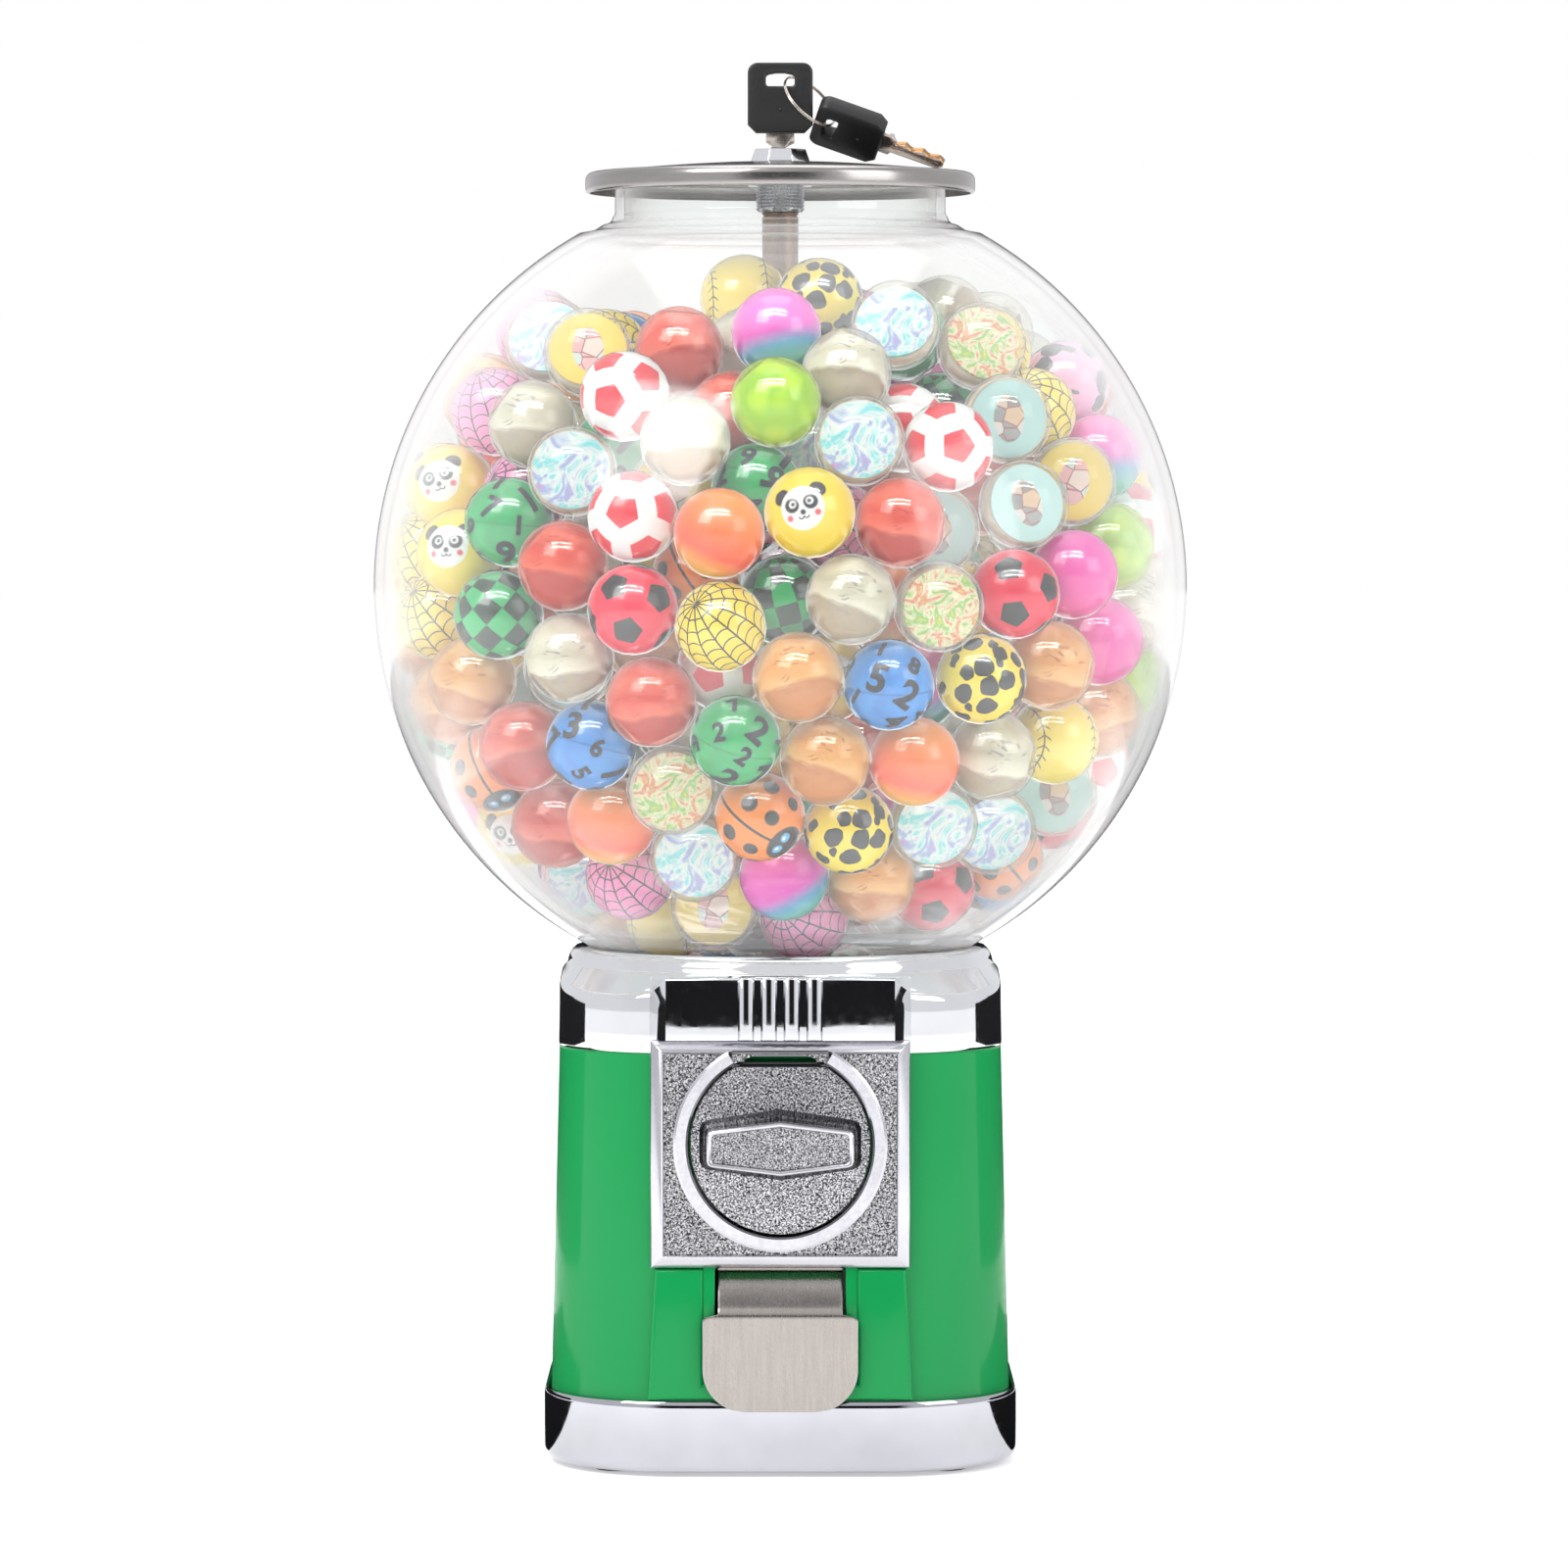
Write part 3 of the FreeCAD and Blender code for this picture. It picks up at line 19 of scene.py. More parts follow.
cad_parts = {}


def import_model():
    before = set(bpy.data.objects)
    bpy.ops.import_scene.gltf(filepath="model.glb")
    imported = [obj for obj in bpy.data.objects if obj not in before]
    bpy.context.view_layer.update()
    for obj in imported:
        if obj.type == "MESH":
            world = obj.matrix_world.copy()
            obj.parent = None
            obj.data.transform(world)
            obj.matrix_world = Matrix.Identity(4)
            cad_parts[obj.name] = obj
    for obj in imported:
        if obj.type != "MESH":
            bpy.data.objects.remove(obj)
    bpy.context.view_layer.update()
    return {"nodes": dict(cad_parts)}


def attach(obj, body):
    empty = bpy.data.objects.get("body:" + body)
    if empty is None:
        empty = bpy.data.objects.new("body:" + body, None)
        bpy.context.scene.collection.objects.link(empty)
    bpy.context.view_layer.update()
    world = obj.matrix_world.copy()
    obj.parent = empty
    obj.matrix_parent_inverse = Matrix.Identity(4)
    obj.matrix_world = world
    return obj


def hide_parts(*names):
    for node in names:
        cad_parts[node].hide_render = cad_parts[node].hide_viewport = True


log = logging.getLogger("gumball_machine")

MM = 0.001
Point2 = tuple[float, float]
Point3 = Sequence[float]
Colour = tuple[float, float, float]
Socket = bpy.types.NodeSocket
Feed = Union[Socket, float, Sequence[float]]


# --- node sheets ---------------------------------------------------------


class Sheet:
    """A material's node tree, with short ways to add and join its nodes."""

    def __init__(self, name: str) -> None:
        """Start an empty tree that ends in a Principled shader.

        Args:
            name: the material's name.
        """
        self.material = bpy.data.materials.new(name)
        self.material.use_nodes = True
        self.tree = self.material.node_tree
        self.tree.nodes.clear()
        self.out = self.tree.nodes.new("ShaderNodeOutputMaterial")
        self.shader = self.tree.nodes.new("ShaderNodeBsdfPrincipled")
        self.join(self.shader.outputs[0], self.out.inputs["Surface"])

    def join(self, source: Socket, target: Socket) -> None:
        """Link one socket to another."""
        self.tree.links.new(source, target)

    def feed(self, target: Socket, value: Feed) -> None:
        """Set a socket to a number, colour or vector, or link a socket to it."""
        if isinstance(value, bpy.types.NodeSocket):
            self.join(value, target)
        elif isinstance(value, (tuple, list)) and len(value) == 3 and target.type == "RGBA":
            target.default_value = (*value, 1.0)
        else:
            target.default_value = value

    def place(self) -> Socket:
        """The object coordinates socket."""
        return self.tree.nodes.new("ShaderNodeTexCoord").outputs["Object"]

    def attribute(self, name: str) -> Socket:
        """A vertex attribute's vector socket."""
        node = self.tree.nodes.new("ShaderNodeAttribute")
        node.attribute_name = name
        return node.outputs["Vector"]

    def math(
        self, operation: str, a: Feed, b: Optional[Feed] = None, c: Optional[Feed] = None, clamp: bool = False
    ) -> Socket:
        """A Math node on numbers or sockets; returns its output."""
        node = self.tree.nodes.new("ShaderNodeMath")
        node.operation = operation
        node.use_clamp = clamp
        for socket, value in zip(node.inputs, (a, b, c)):
            if value is not None:
                self.feed(socket, value)
        return node.outputs[0]

    def vector(
        self, operation: str, a: Feed, b: Optional[Feed] = None, scale: Optional[float] = None
    ) -> Socket:
        """A Vector Math node; returns its number for dot and length, else its vector."""
        node = self.tree.nodes.new("ShaderNodeVectorMath")
        node.operation = operation
        self.feed(node.inputs[0], a)
        if b is not None:
            self.feed(node.inputs[1], b)
        if scale is not None:
            self.feed(node.inputs["Scale"], scale)
        scalar = operation in ("DOT_PRODUCT", "LENGTH", "DISTANCE")
        return node.outputs["Value" if scalar else "Vector"]

    def parts(self, vector: Socket) -> tuple[Socket, ...]:
        """The x, y and z sockets of a vector socket."""
        node = self.tree.nodes.new("ShaderNodeSeparateXYZ")
        self.join(vector, node.inputs[0])
        return tuple(node.outputs)

    def whole(self, x: Feed, y: Feed, z: Feed) -> Socket:
        """A vector socket from three numbers or sockets."""
        node = self.tree.nodes.new("ShaderNodeCombineXYZ")
        for socket, value in zip(node.inputs, (x, y, z)):
            self.feed(socket, value)
        return node.outputs[0]

    def stretch(self, vector: Socket, scale: Point3) -> Socket:
        """A Mapping node that scales a pattern."""
        node = self.tree.nodes.new("ShaderNodeMapping")
        self.join(vector, node.inputs[0])
        node.inputs["Scale"].default_value = scale
        return node.outputs[0]

    def noise(
        self, vector: Socket, scale: float, detail: float = 3.0, roughness: float = 0.55,
        distortion: float = 0.0
    ) -> Socket:
        """A Noise Texture's value socket."""
        node = self.tree.nodes.new("ShaderNodeTexNoise")
        self.join(vector, node.inputs["Vector"])
        node.inputs["Scale"].default_value = scale
        node.inputs["Detail"].default_value = detail
        node.inputs["Roughness"].default_value = roughness
        node.inputs["Distortion"].default_value = distortion
        return node.outputs[0]

    def cells(
        self, vector: Socket, scale: float, feature: str = "F1", randomness: float = 1.0
    ) -> bpy.types.Node:
        """A Voronoi Texture node."""
        node = self.tree.nodes.new("ShaderNodeTexVoronoi")
        node.feature = feature
        self.join(vector, node.inputs["Vector"])
        node.inputs["Scale"].default_value = scale
        node.inputs["Randomness"].default_value = randomness
        return node

    def blend(self, amount: Feed, a: Feed, b: Feed) -> Socket:
        """Mix two colours; returns the colour socket."""
        node = self.tree.nodes.new("ShaderNodeMix")
        node.data_type = "RGBA"
        self.feed(node.inputs["Factor"], amount)
        self.feed(node.inputs["A"], a)
        self.feed(node.inputs["B"], b)
        return node.outputs["Result"]

    def ramp(self, value: Socket, stops: Sequence[tuple[float, Point3]]) -> Socket:
        """A Color Ramp; stops are (place, colour)."""
        node = self.tree.nodes.new("ShaderNodeValToRGB")
        self.join(value, node.inputs[0])
        ramp = node.color_ramp
        while len(ramp.elements) < len(stops):
            ramp.elements.new(0.5)
        for element, (place, colour) in zip(ramp.elements, stops):
            element.position = place
            element.color = (*colour, 1.0)
        return node.outputs[0]

    def span(
        self, value: Socket, low: float, high: float, to_low: float = 0.0, to_high: float = 1.0
    ) -> Socket:
        """A clamped Map Range; returns its output."""
        node = self.tree.nodes.new("ShaderNodeMapRange")
        self.join(value, node.inputs["Value"])
        for name, number in (("From Min", low), ("From Max", high), ("To Min", to_low), ("To Max", to_high)):
            node.inputs[name].default_value = number
        return node.outputs[0]

    def bump(self, height: Socket, strength: float, distance: float) -> Socket:
        """Raise the surface by a height socket and give the normal socket."""
        node = self.tree.nodes.new("ShaderNodeBump")
        node.inputs["Strength"].default_value = strength
        node.inputs["Distance"].default_value = distance
        self.join(height, node.inputs["Height"])
        return node.outputs[0]

    def dress(self, **sockets: Feed) -> None:
        """Feed the Principled shader's sockets, spaces in their names as underscores."""
        for name, value in sockets.items():
            self.feed(self.shader.inputs[name.replace("_", " ")], value)


# --- finishes ------------------------------------------------------------


@dataclass(frozen=True)
class Plating:
    """Bright metal: chrome, nickel, zinc or stainless steel."""

    name: str
    colour: Colour
    roughness: float = 0.08
    spread: float = 0.04
    ripple: float = 0.03
    grain: tuple[float, float, float] = (1.0, 1.0, 1.0)
    grain_scale: float = 60.0
    shade: float = 0.06

    def make(self) -> bpy.types.Material:
        """Build the material with a faint grain in colour, gloss and surface."""
        s = Sheet(self.name)
        where = s.stretch(s.place(), self.grain)
        cloud = s.noise(where, self.grain_scale, 4.0)
        fine = s.noise(where, self.grain_scale * 14.0, 2.0)
        dark = tuple(c * (1.0 - self.shade * 2.0) for c in self.colour)
        smoothest, roughest = max(0.01, self.roughness - self.spread), self.roughness + self.spread
        s.dress(
            Base_Color=s.blend(s.span(cloud, 0.3, 0.7), self.colour, dark),
            Metallic=1.0,
            Roughness=s.span(fine, 0.3, 0.7, smoothest, roughest),
            Normal=s.bump(cloud, self.ripple, 0.0006),
        )
        return s.material


@dataclass(frozen=True)
class Stipple:
    """Cast metal with a coarse pebbled face, painted shade in its pits."""

    name: str
    light: Colour = (0.66, 0.66, 0.68)
    # painted shade: the colour of the pits
    dark: Colour = (0.02, 0.02, 0.022)
    scale: float = 1500.0
    depth: float = 0.0003

    def make(self) -> bpy.types.Material:
        """Build the material from warped noise that pits the face, its pits painted dark as shade."""
        s = Sheet(self.name)
        where = s.place()
        worm = s.noise(where, self.scale, 2.0, 0.6, 0.6)
        fine = s.noise(where, self.scale * 2.3, 1.0)
        both = s.math("ADD", s.math("MULTIPLY", worm, 0.75), s.math("MULTIPLY", fine, 0.25))
        # painted shade: the low places of the bump take the near-black colour
        pits = s.span(both, 0.44, 0.58)
        s.dress(
            Base_Color=s.blend(pits, self.dark, self.light),
            Metallic=1.0,
            Roughness=s.span(both, 0.35, 0.6, 0.42, 0.24),
            Normal=s.bump(both, 0.9, self.depth),
        )
        return s.material


@dataclass(frozen=True)
class Enamel:
    """Glossy sprayed paint on a casting."""

    name: str
    colour: Colour
    deep: Colour

    def make(self) -> bpy.types.Material:
        """Build the paint with a lacquer coat and orange peel."""
        s = Sheet(self.name)
        where = s.place()
        cloud = s.noise(where, 9.0, 3.0)
        peel = s.noise(where, 260.0, 1.0)
        s.dress(
            Base_Color=s.blend(s.span(cloud, 0.3, 0.7), self.colour, self.deep),
            Roughness=s.span(peel, 0.3, 0.7, 0.30, 0.36),
            Normal=s.bump(peel, 0.02, 0.0003),
            Specular_IOR_Level=0.12,
            Coat_Weight=0.30,
            Coat_Roughness=0.06,
        )
        return s.material


@dataclass(frozen=True)
class Moulding:
    """Moulded plastic or rubber with a fine grained skin."""

    name: str
    colour: Colour
    roughness: float = 0.45
    grain: float = 0.08
    scale: float = 1500.0

    def make(self) -> bpy.types.Material:
        """Build the moulding's colour, gloss and grain."""
        s = Sheet(self.name)
        where = s.place()
        skin = s.noise(where, self.scale, 2.0)
        cloud = s.noise(where, 40.0, 3.0)
        dark = tuple(c * 0.86 for c in self.colour)
        s.dress(
            Base_Color=s.blend(s.span(cloud, 0.35, 0.65), self.colour, dark),
            Roughness=s.span(skin, 0.3, 0.7, self.roughness - 0.05, self.roughness + 0.07),
            Normal=s.bump(skin, self.grain, 0.0003),
        )
        return s.material


@dataclass(frozen=True)
class ClearWall:
    """Clear plastic seen through, mirroring at a slant, with painted glare and shade at its edges."""

    name: str
    veil: float = 0.022
    # painted glare: how much pale veil the silhouette gets on top of the even veil
    edge_veil: float = 0.95
    edge_power: float = 3.4
    gloss: float = 1.0
    blur: float = 0.10
    tint: Colour = (0.985, 0.995, 0.99)
    body: Colour = (0.99, 0.99, 0.99)
    # where the painted dark line at the silhouette starts, as facing
    line: float = 0.88

    def make(self) -> bpy.types.Material:
        """Build the wall: a pass-through shader, a mirror, a pale veil and painted edge glare and shade."""
        s = Sheet(self.name)
        tree = s.tree
        slant = tree.nodes.new("ShaderNodeLayerWeight")
        slant.inputs["Blend"].default_value = 0.5
        clear = tree.nodes.new("ShaderNodeBsdfTransparent")
        where = s.place()
        haze = s.noise(where, 7.0, 2.0)
        # painted glare: the pale veil grows towards the silhouette, standing in for its slanting reflection
        edge = s.math("POWER", slant.outputs["Facing"], self.edge_power)
        # painted shade: a dark line at the silhouette darkens both the see-through tint and the veil
        line = s.span(slant.outputs["Facing"], self.line, 0.99)
        s.join(s.blend(line, self.tint, tuple(c * 0.35 for c in self.tint)), clear.inputs["Color"])
        amount = s.math("MULTIPLY_ADD", edge, self.edge_veil, self.veil)
        amount = s.math("MULTIPLY", amount, s.span(haze, 0.3, 0.7, 0.8, 1.15), clamp=True)
        s.dress(Base_Color=s.blend(line, self.body, tuple(c * 0.42 for c in self.body)), Roughness=0.4,
                Specular_IOR_Level=0.0, Normal=s.bump(haze, 0.02, 0.001))
        mirror = tree.nodes.new("ShaderNodeBsdfGlossy")
        mirror.inputs["Roughness"].default_value = self.blur
        sheen = s.math("MULTIPLY_ADD", s.math("POWER", slant.outputs["Facing"], 5.0), 0.9, 0.04)
        first = tree.nodes.new("ShaderNodeMixShader")
        second = tree.nodes.new("ShaderNodeMixShader")
        s.join(amount, first.inputs[0])
        s.join(clear.outputs[0], first.inputs[1])
        s.join(s.shader.outputs[0], first.inputs[2])
        s.join(s.math("MULTIPLY", sheen, self.gloss, clamp=True), second.inputs[0])
        s.join(first.outputs[0], second.inputs[1])
        s.join(mirror.outputs[0], second.inputs[2])
        s.join(second.outputs[0], s.out.inputs["Surface"])
        return s.material


# --- ball patterns -------------------------------------------------------

LOCAL = "ball_local"
BLACK = (0.012, 0.012, 0.014)
WHITE = (0.87, 0.87, 0.86)


class Pattern(Enum):
    """The printed patterns and solid colours the balls come in."""

    FOOTBALL = "football"
    MARKS_GREEN = "marks_green"
    MARKS_BLUE = "marks_blue"
    CHECK = "check"
    PANDA = "panda"
    NET_YELLOW = "net_yellow"
    NET_PINK = "net_pink"
    SPOT_YELLOW = "spot_yellow"
    SPOT_PINK = "spot_pink"
    PATCH_RED = "patch_red"
    STITCH = "stitch"
    PLAIN_PINK = "plain_pink"
    LADYBIRD = "ladybird"
    ORANGE = "orange"
    LIME = "lime"
    TWOTONE = "twotone"
    AMBER = "amber"
    RED_CLEAR = "red_clear"
    CLEAR = "clear"


class BallPaint:
    """Makes the ball materials from each ball's own unit-sphere coordinates."""

    def __init__(self) -> None:
        """Start with an empty store of finished materials."""
        self.store: dict[str, bpy.types.Material] = {}

    def get(self, pattern: Pattern) -> bpy.types.Material:
        """The material of a pattern, made on first use.

        Args:
            pattern: which print the ball carries.

        Returns:
            The finished material.
        """
        if pattern.value not in self.store:
            maker = getattr(self, "_" + pattern.value)
            self.store[pattern.value] = maker(Sheet("ball_" + pattern.value))
        return self.store[pattern.value]

    @staticmethod
    def _gloss(s: Sheet, colour: Feed, roughness: float = 0.22) -> bpy.types.Material:
        """Finish a printed rubber ball: colour, gloss, coat and a faint skin."""
        skin = s.noise(s.attribute(LOCAL), 26.0, 2.0)
        s.dress(
            Base_Color=colour,
            Roughness=s.span(skin, 0.3, 0.7, roughness - 0.04, roughness + 0.05),
            Normal=s.bump(skin, 0.02, 0.0005),
            Coat_Weight=0.8,
            Coat_Roughness=0.035,
        )
        return s.material

    @staticmethod
    def _cap(s: Sheet, where: Socket, toward: Point3, size: float, soft: float = 0.02) -> Socket:
        """1 inside a round cap of the ball around a direction, 0 outside.

        Args:
            s: the sheet to add to.
            where: the local coordinates socket.
            toward: the cap's direction.
            size: the cap's angular radius in radians.
            soft: width of its edge.

        Returns:
            The mask socket.
        """
        d = Vector(toward).normalized()
        dot = s.vector("DOT_PRODUCT", where, tuple(d))
        edge = math.cos(size)
        return s.span(dot, edge - soft * size, edge + soft * size)

    @staticmethod
    def _angles(s: Sheet, where: Socket) -> tuple[Socket, Socket]:
        """Longitude about the pole in turns and angle from the pole in radians."""
        x, y, z = s.parts(where)
        turn = s.math("DIVIDE", s.math("ARCTAN2", y, x), 2.0 * math.pi)
        tilt = s.math("ARCCOSINE", z)
        return turn, tilt

    @staticmethod
    def _pentagons(s: Sheet, where: Socket, size: float) -> Socket:
        """Below 0 inside twelve five-sided patches.

        Args:
            s: the sheet to add to.
            where: the local coordinates socket.
            size: from a patch's middle to its side, in degrees.

        Returns:
            A socket that is negative inside a patch.
        """
        golden = (1.0 + math.sqrt(5.0)) / 2.0
        n = math.hypot(1.0, golden)
        p = s.vector("ABSOLUTE", where)
        corners = ((0.0, 1.0, golden), (1.0, golden, 0.0), (golden, 0.0, 1.0))
        across = ((0.0, -1.0, golden), (-1.0, golden, 0.0), (golden, 0.0, -1.0))
        near = [s.vector("DOT_PRODUCT", p, tuple(c / n for c in corner)) for corner in corners]
        past = [s.vector("DOT_PRODUCT", p, tuple(c / n for c in corner)) for corner in across]
        between = math.degrees(math.acos(golden / (n * n)))
        slope = math.cos(math.radians(between - size)) / math.cos(math.radians(size))
        sides = []
        for k in range(3):
            widest = s.math("MAXIMUM", s.math("MAXIMUM", near[(k + 1) % 3], near[(k + 2) % 3]), past[k])
            sides.append(s.math("MULTIPLY_ADD", near[k], -slope, widest))
        return s.math("MINIMUM", s.math("MINIMUM", sides[0], sides[1]), sides[2])

    @staticmethod
    def _roll(s: Sheet, where: Socket, axis: Point3, degrees: float) -> Socket:
        """Turn a pattern on the ball about an axis."""
        node = s.tree.nodes.new("ShaderNodeVectorRotate")
        s.join(where, node.inputs["Vector"])
        node.inputs["Axis"].default_value = axis
        node.inputs["Angle"].default_value = math.radians(degrees)
        return node.outputs[0]

    def _football(self, s: Sheet) -> bpy.types.Material:
        """White with twelve red pentagons."""
        where = self._roll(s, s.vector("NORMALIZE", s.attribute(LOCAL)), (1.0, 0.3, 0.0), 25.0)
        patch = s.span(self._pentagons(s, where, 18.8), -0.008, 0.008, 1.0, 0.0)
        seam = s.math("ABSOLUTE", s.parts(where)[1])
        colour = s.blend(s.span(seam, 0.012, 0.03, 0.5, 0.0), WHITE, (0.70, 0.66, 0.64))
        return self._gloss(s, s.blend(patch, colour, (0.80, 0.03, 0.05)))

    def _marks_green(self, s: Sheet) -> bpy.types.Material:
        """The green under the numerals."""
        return self._plain(s, (0.016, 0.46, 0.13), (0.012, 0.36, 0.10))

    def _marks_blue(self, s: Sheet) -> bpy.types.Material:
        """The blue under the numerals."""
        return self._plain(s, (0.045, 0.30, 0.76), (0.03, 0.22, 0.62))

    def _plain(self, s: Sheet, colour: Colour, deep: Colour) -> bpy.types.Material:
        """One cloudy colour with a fine mould seam round the ball."""
        where = s.attribute(LOCAL)
        cloud = s.span(s.noise(where, 2.2, 2.0), 0.35, 0.65)
        seam = s.span(s.math("ABSOLUTE", s.parts(where)[1]), 0.010, 0.028, 0.6, 0.0)
        return self._gloss(s, s.blend(seam, s.blend(cloud, colour, deep), tuple(c * 0.55 for c in deep)))

    def _check(self, s: Sheet) -> bpy.types.Material:
        """Green and black chequers."""
        where = self._roll(s, s.attribute(LOCAL), (1.0, 0.5, 0.0), 70.0)
        turn, tilt = self._angles(s, where)
        a = s.math("MULTIPLY", s.math("SINE", s.math("MULTIPLY", turn, 12.0 * math.pi)),
                   s.math("SINE", s.math("MULTIPLY", tilt, 6.5)))
        return self._gloss(s, s.blend(s.span(a, -0.03, 0.03), (0.016, 0.46, 0.13), (0.006, 0.035, 0.016)))

    def _panda(self, s: Sheet) -> bpy.types.Material:
        """Yellow with a small round bear's face."""
        where = s.vector("NORMALIZE", s.attribute(LOCAL))
        x, y, z = s.parts(where)
        mirrored = s.whole(s.math("ABSOLUTE", x), y, z)
        layers = (
            (BLACK, mirrored, (0.50, 0.50, 1.0), 0.19),
            (WHITE, where, (0.0, 0.08, 1.0), 0.50),
            (BLACK, mirrored, (0.22, 0.18, 1.0), 0.165),
            (WHITE, mirrored, (0.20, 0.20, 1.0), 0.085),
            (BLACK, mirrored, (0.19, 0.20, 1.0), 0.045),
            (BLACK, where, (0.0, -0.02, 1.0), 0.06),
            ((0.8, 0.1, 0.1), mirrored, (0.33, -0.10, 1.0), 0.07),
        )
        colour = (0.90, 0.66, 0.03)
        for ink, base, toward, size in layers:
            colour = s.blend(self._cap(s, base, toward, size), colour, ink)
        reach = s.vector("DISTANCE", mirrored, (0.06, -0.10, 0.99))
        ring = s.math("ABSOLUTE", s.math("SUBTRACT", reach, 0.055))
        mouth = s.math("MULTIPLY", s.span(ring, 0.010, 0.018, 1.0, 0.0), s.span(y, -0.11, -0.10, 1.0, 0.0))
        return self._gloss(s, s.blend(mouth, colour, BLACK))

    def _net(self, s: Sheet, colour: Colour) -> bpy.types.Material:
        """Thin dark lines that meet at one point, joined by sagging rings."""
        turn, tilt = self._angles(s, self._roll(s, s.attribute(LOCAL), (0.8, 0.6, 0.0), 42.0))
        spokes = 14.0
        part = s.math("FRACT", s.math("MULTIPLY", turn, spokes))
        off = s.math("ABSOLUTE", s.math("SUBTRACT", part, 0.5))
        reach = s.math("SINE", tilt)
        step = s.math("MULTIPLY", reach, 2 * math.pi / spokes)
        spoke = s.math("MULTIPLY", s.math("SUBTRACT", 0.5, off), step)
        sag = s.math("MULTIPLY", s.math("SUBTRACT", 0.25, s.math("POWER", off, 2.0)), 0.36)
        ringed = s.math("ADD", tilt, s.math("MULTIPLY", sag, tilt))
        rings = s.math("FRACT", s.math("MULTIPLY", ringed, 3.6))
        ring = s.math("ABSOLUTE", s.math("SUBTRACT", rings, 0.5))
        lines = s.math("MAXIMUM", s.span(spoke, 0.014, 0.026, 1.0, 0.0), s.span(ring, 0.045, 0.08, 1.0, 0.0))
        return self._gloss(s, s.blend(lines, colour, BLACK))

    def _net_yellow(self, s: Sheet) -> bpy.types.Material:
        """Yellow with a dark net."""
        return self._net(s, (0.88, 0.66, 0.04))

    def _net_pink(self, s: Sheet) -> bpy.types.Material:
        """Pink with a dark net."""
        return self._net(s, (0.90, 0.24, 0.52))

    def _dots(
        self, s: Sheet, colour: Colour, ink: Colour, scale: float, size: float, randomness: float
    ) -> bpy.types.Material:
        """Round spots of uneven size."""
        where = s.attribute(LOCAL)
        wander = s.whole(s.noise(where, 2.0, 1.0), s.noise(where, 2.7, 1.0), s.noise(where, 3.1, 1.0))
        warp = s.vector("SCALE", wander, scale=0.25)
        cell = s.cells(s.vector("ADD", where, warp), scale, "F1", randomness)
        spot = s.span(cell.outputs["Distance"], size, size + 0.02, 1.0, 0.0)
        return self._gloss(s, s.blend(spot, colour, ink))

    def _spot_yellow(self, s: Sheet) -> bpy.types.Material:
        """Yellow with black spots."""
        return self._dots(s, (0.90, 0.70, 0.05), BLACK, 2.1, 0.46, 0.42)

    def _spot_pink(self, s: Sheet) -> bpy.types.Material:
        """Pale pink with large black spots."""
        return self._dots(s, (0.88, 0.40, 0.66), BLACK, 1.7, 0.46, 0.5)

    def _patch_red(self, s: Sheet) -> bpy.types.Material:
        """Red with black five-sided patches."""
        where = s.vector("NORMALIZE", s.attribute(LOCAL))
        where = self._roll(s, where, (0.4, 1.0, 0.0), 20.0)
        patch = s.span(self._pentagons(s, where, 16.5), -0.008, 0.008, 1.0, 0.0)
        return self._gloss(s, s.blend(patch, (0.82, 0.015, 0.06), BLACK))

    def _stitch(self, s: Sheet) -> bpy.types.Material:
        """Yellow with two curved rows of black stitches."""
        where = s.vector("NORMALIZE", s.attribute(LOCAL))
        x, y, z = s.parts(where)
        side = s.math("ABSOLUTE", s.math("ADD", x, s.math("MULTIPLY", s.math("MULTIPLY", y, y), 0.18)))
        row = s.math("ABSOLUTE", s.math("SUBTRACT", side, 0.62))
        line = s.span(row, 0.010, 0.018, 1.0, 0.0)
        along = s.math("ADD", s.math("ARCTAN2", y, z), s.math("MULTIPLY", row, 1.2))
        tick = s.math("ABSOLUTE", s.math("SUBTRACT", s.math("FRACT", s.math("MULTIPLY", along, 3.4)), 0.5))
        ticks = s.math("MULTIPLY", s.span(tick, 0.06, 0.09, 1.0, 0.0), s.span(row, 0.11, 0.13, 1.0, 0.0))
        return self._gloss(s, s.blend(s.math("MAXIMUM", line, ticks), (0.90, 0.70, 0.05), BLACK))

    def _plain_pink(self, s: Sheet) -> bpy.types.Material:
        """Hot pink, lighter on top and deeper underneath as painted light and shade."""
        _, y, _ = s.parts(s.attribute(LOCAL))
        # painted light and shade: lighter towards the ball's top, deeper towards its foot
        return self._gloss(s, s.blend(s.span(y, -1.0, 0.6), (0.80, 0.04, 0.32), (0.92, 0.07, 0.50)))

    def _ladybird(self, s: Sheet) -> bpy.types.Material:
        """Orange with a ladybird's head, back line and spots."""
        where = self._roll(s, s.vector("NORMALIZE", s.attribute(LOCAL)), (0.0, 0.0, 1.0), -42.0)
        x, y, z = s.parts(where)
        mirrored = s.whole(s.math("ABSOLUTE", x), y, z)
        colour = s.blend(s.span(s.math("ABSOLUTE", x), 0.025, 0.04, 1.0, 0.0), (0.90, 0.25, 0.02), BLACK)
        layers = (
            (BLACK, mirrored, (0.42, 0.45, 0.8), 0.19),
            (BLACK, mirrored, (0.45, -0.15, 0.9), 0.17),
            (BLACK, mirrored, (0.85, 0.2, 0.4), 0.19),
            (BLACK, mirrored, (0.80, -0.4, 0.4), 0.16),
            (BLACK, where, (0.0, -1.0, 0.85), 0.46),
            ((0.10, 0.45, 0.75), mirrored, (0.20, -0.80, 0.90), 0.12),
            (WHITE, mirrored, (0.18, -0.77, 0.92), 0.05),
        )
        for ink, base, toward, size in layers:
            colour = s.blend(self._cap(s, base, toward, size), colour, ink)
        return self._gloss(s, colour)

